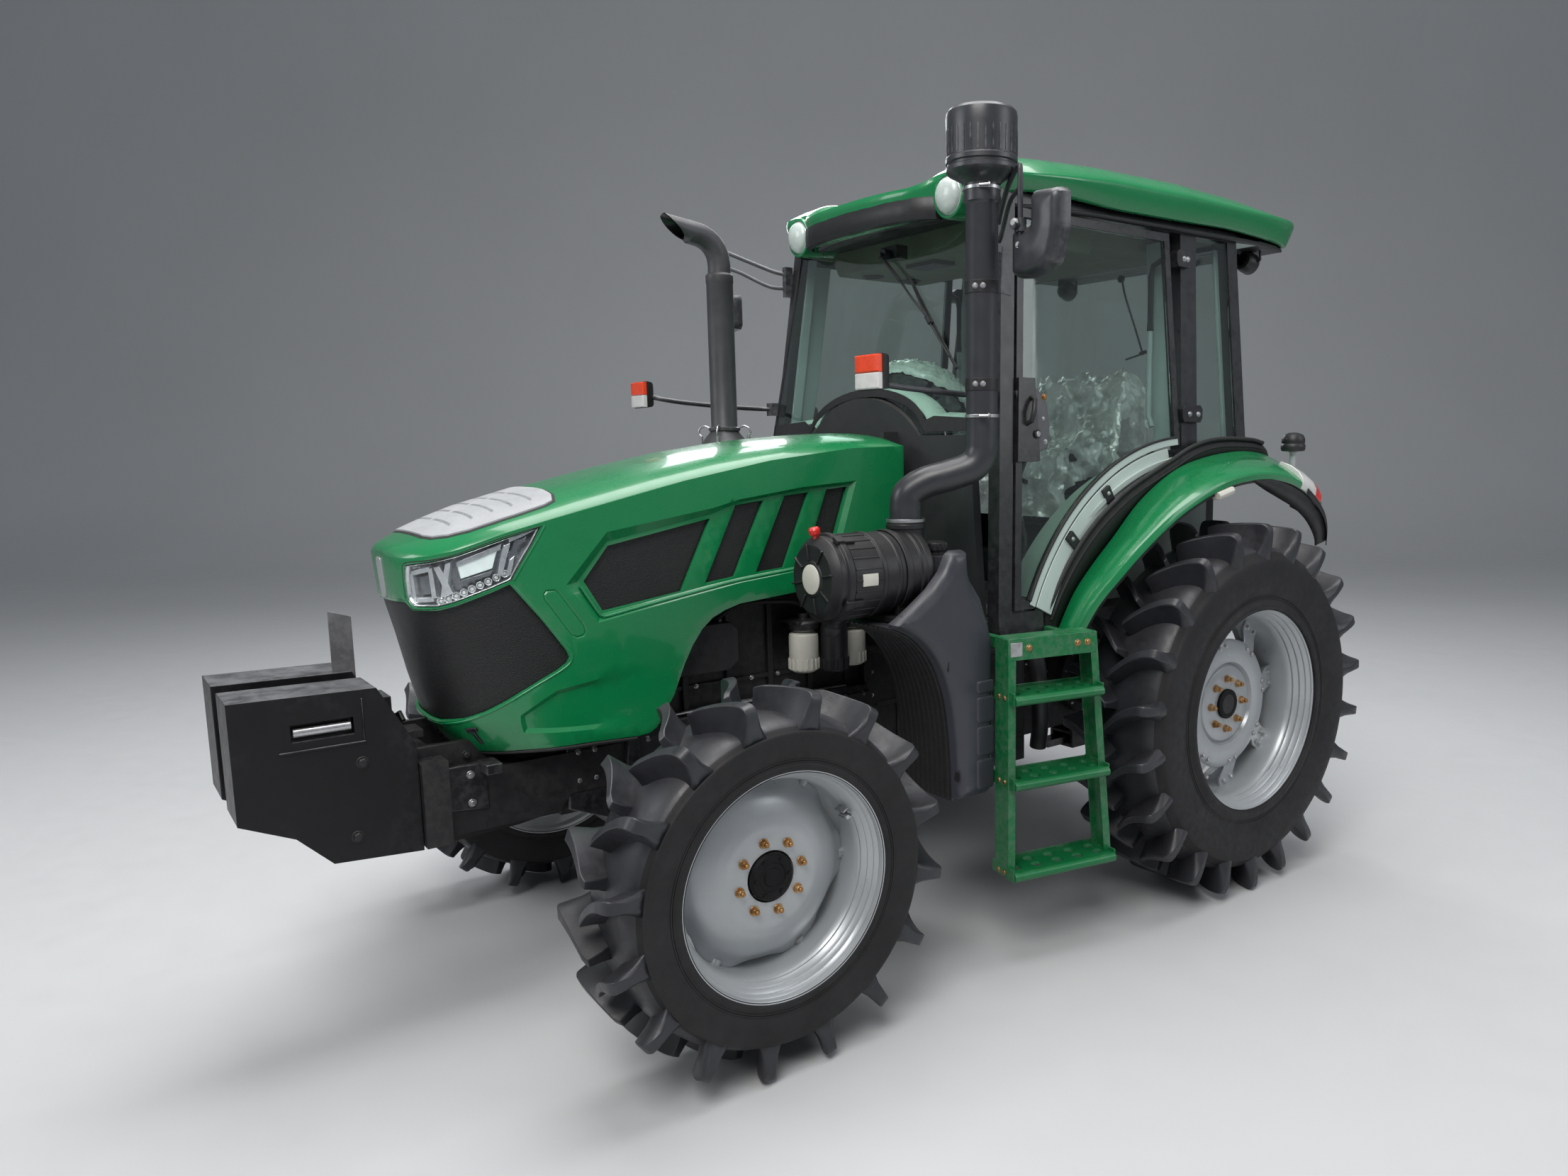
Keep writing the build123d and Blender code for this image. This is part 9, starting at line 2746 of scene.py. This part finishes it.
fl.add([(x * ca - y * sa, x * sa + y * ca, z - .001) for x, y, z in vs], fs)
FLOOR = mat("studio_floor", (.50, .505, .51), rough=.62, var=.02, vscale=.4, bumps=[(60, .03, .001)])
floor_o = piece("studio_floor", fl, [FLOOR], "chassis", stage=True, angle=60)

world = bpy.data.worlds.new("studio")
bpy.context.scene.world = world
world.use_nodes = True
bg = world.node_tree.nodes["Background"]
bg.inputs[0].default_value = (.80, .86, .94, 1)
bg.inputs[1].default_value = .27


def area(name, loc, look, size, energy, col=(1, 1, 1), sy=None):
    d = bpy.data.lights.new(name, "AREA")
    d.shape = "RECTANGLE"
    d.size = size
    d.size_y = sy or size
    d.energy = energy
    d.color = col
    o = bpy.data.objects.new(name, d)
    o.location = Vector(loc)
    o.rotation_euler = (Vector(look) - Vector(loc)).to_track_quat("-Z", "Y").to_euler()
    bpy.context.scene.collection.objects.link(o)
    return o


area("key", (4.6, -5.2, 8.2), (0, 0, 1.3), 4.5, 620, (1, .985, .96))
area("fill", (6.5, 4.0, 4.6), (0, .4, 1.4), 3.5, 105, (.95, .975, 1))
area("front", (-3.0, -8.0, 5.0), (0, -1, 1.3), 3.5, 150, (.97, .985, 1))
area("back", (-6.0, 3.5, 5.5), (0, 0, 1.6), 3.5, 190, (.96, .98, 1))
area("top", (0, .5, 8.5), (0, 0, 0), 6.0, 620)

cam = bpy.data.cameras.new("photo_camera")
co_ = bpy.data.objects.new("photo_camera", cam)
bpy.context.scene.collection.objects.link(co_)
az, el, ro = math.radians(51.157), math.radians(8.238), math.radians(-.534)
back = Vector((math.sin(az) * math.cos(el), -math.cos(az) * math.cos(el), math.sin(el)))
right = Vector((math.cos(az), math.sin(az), 0))
up = back.cross(right)
r_ = right * math.cos(ro) + up * math.sin(ro)
u_ = -right * math.sin(ro) + up * math.cos(ro)
M = Matrix((r_, u_, back)).transposed().to_4x4()
M.translation = Vector((3.8399, -2.7775, 1.9399))
co_.matrix_world = M
cam.sensor_width = 36
cam.sensor_fit = "HORIZONTAL"
cam.lens = 36 * 1528.3 / 2212
cam.shift_x = -186.77 / 2212
cam.shift_y = 22.22 / 2212
cam.clip_start = .1
cam.clip_end = 100
bpy.context.scene.camera = co_
bpy.context.scene.view_settings.view_transform = "Standard"
bpy.context.scene.view_settings.look = "None"
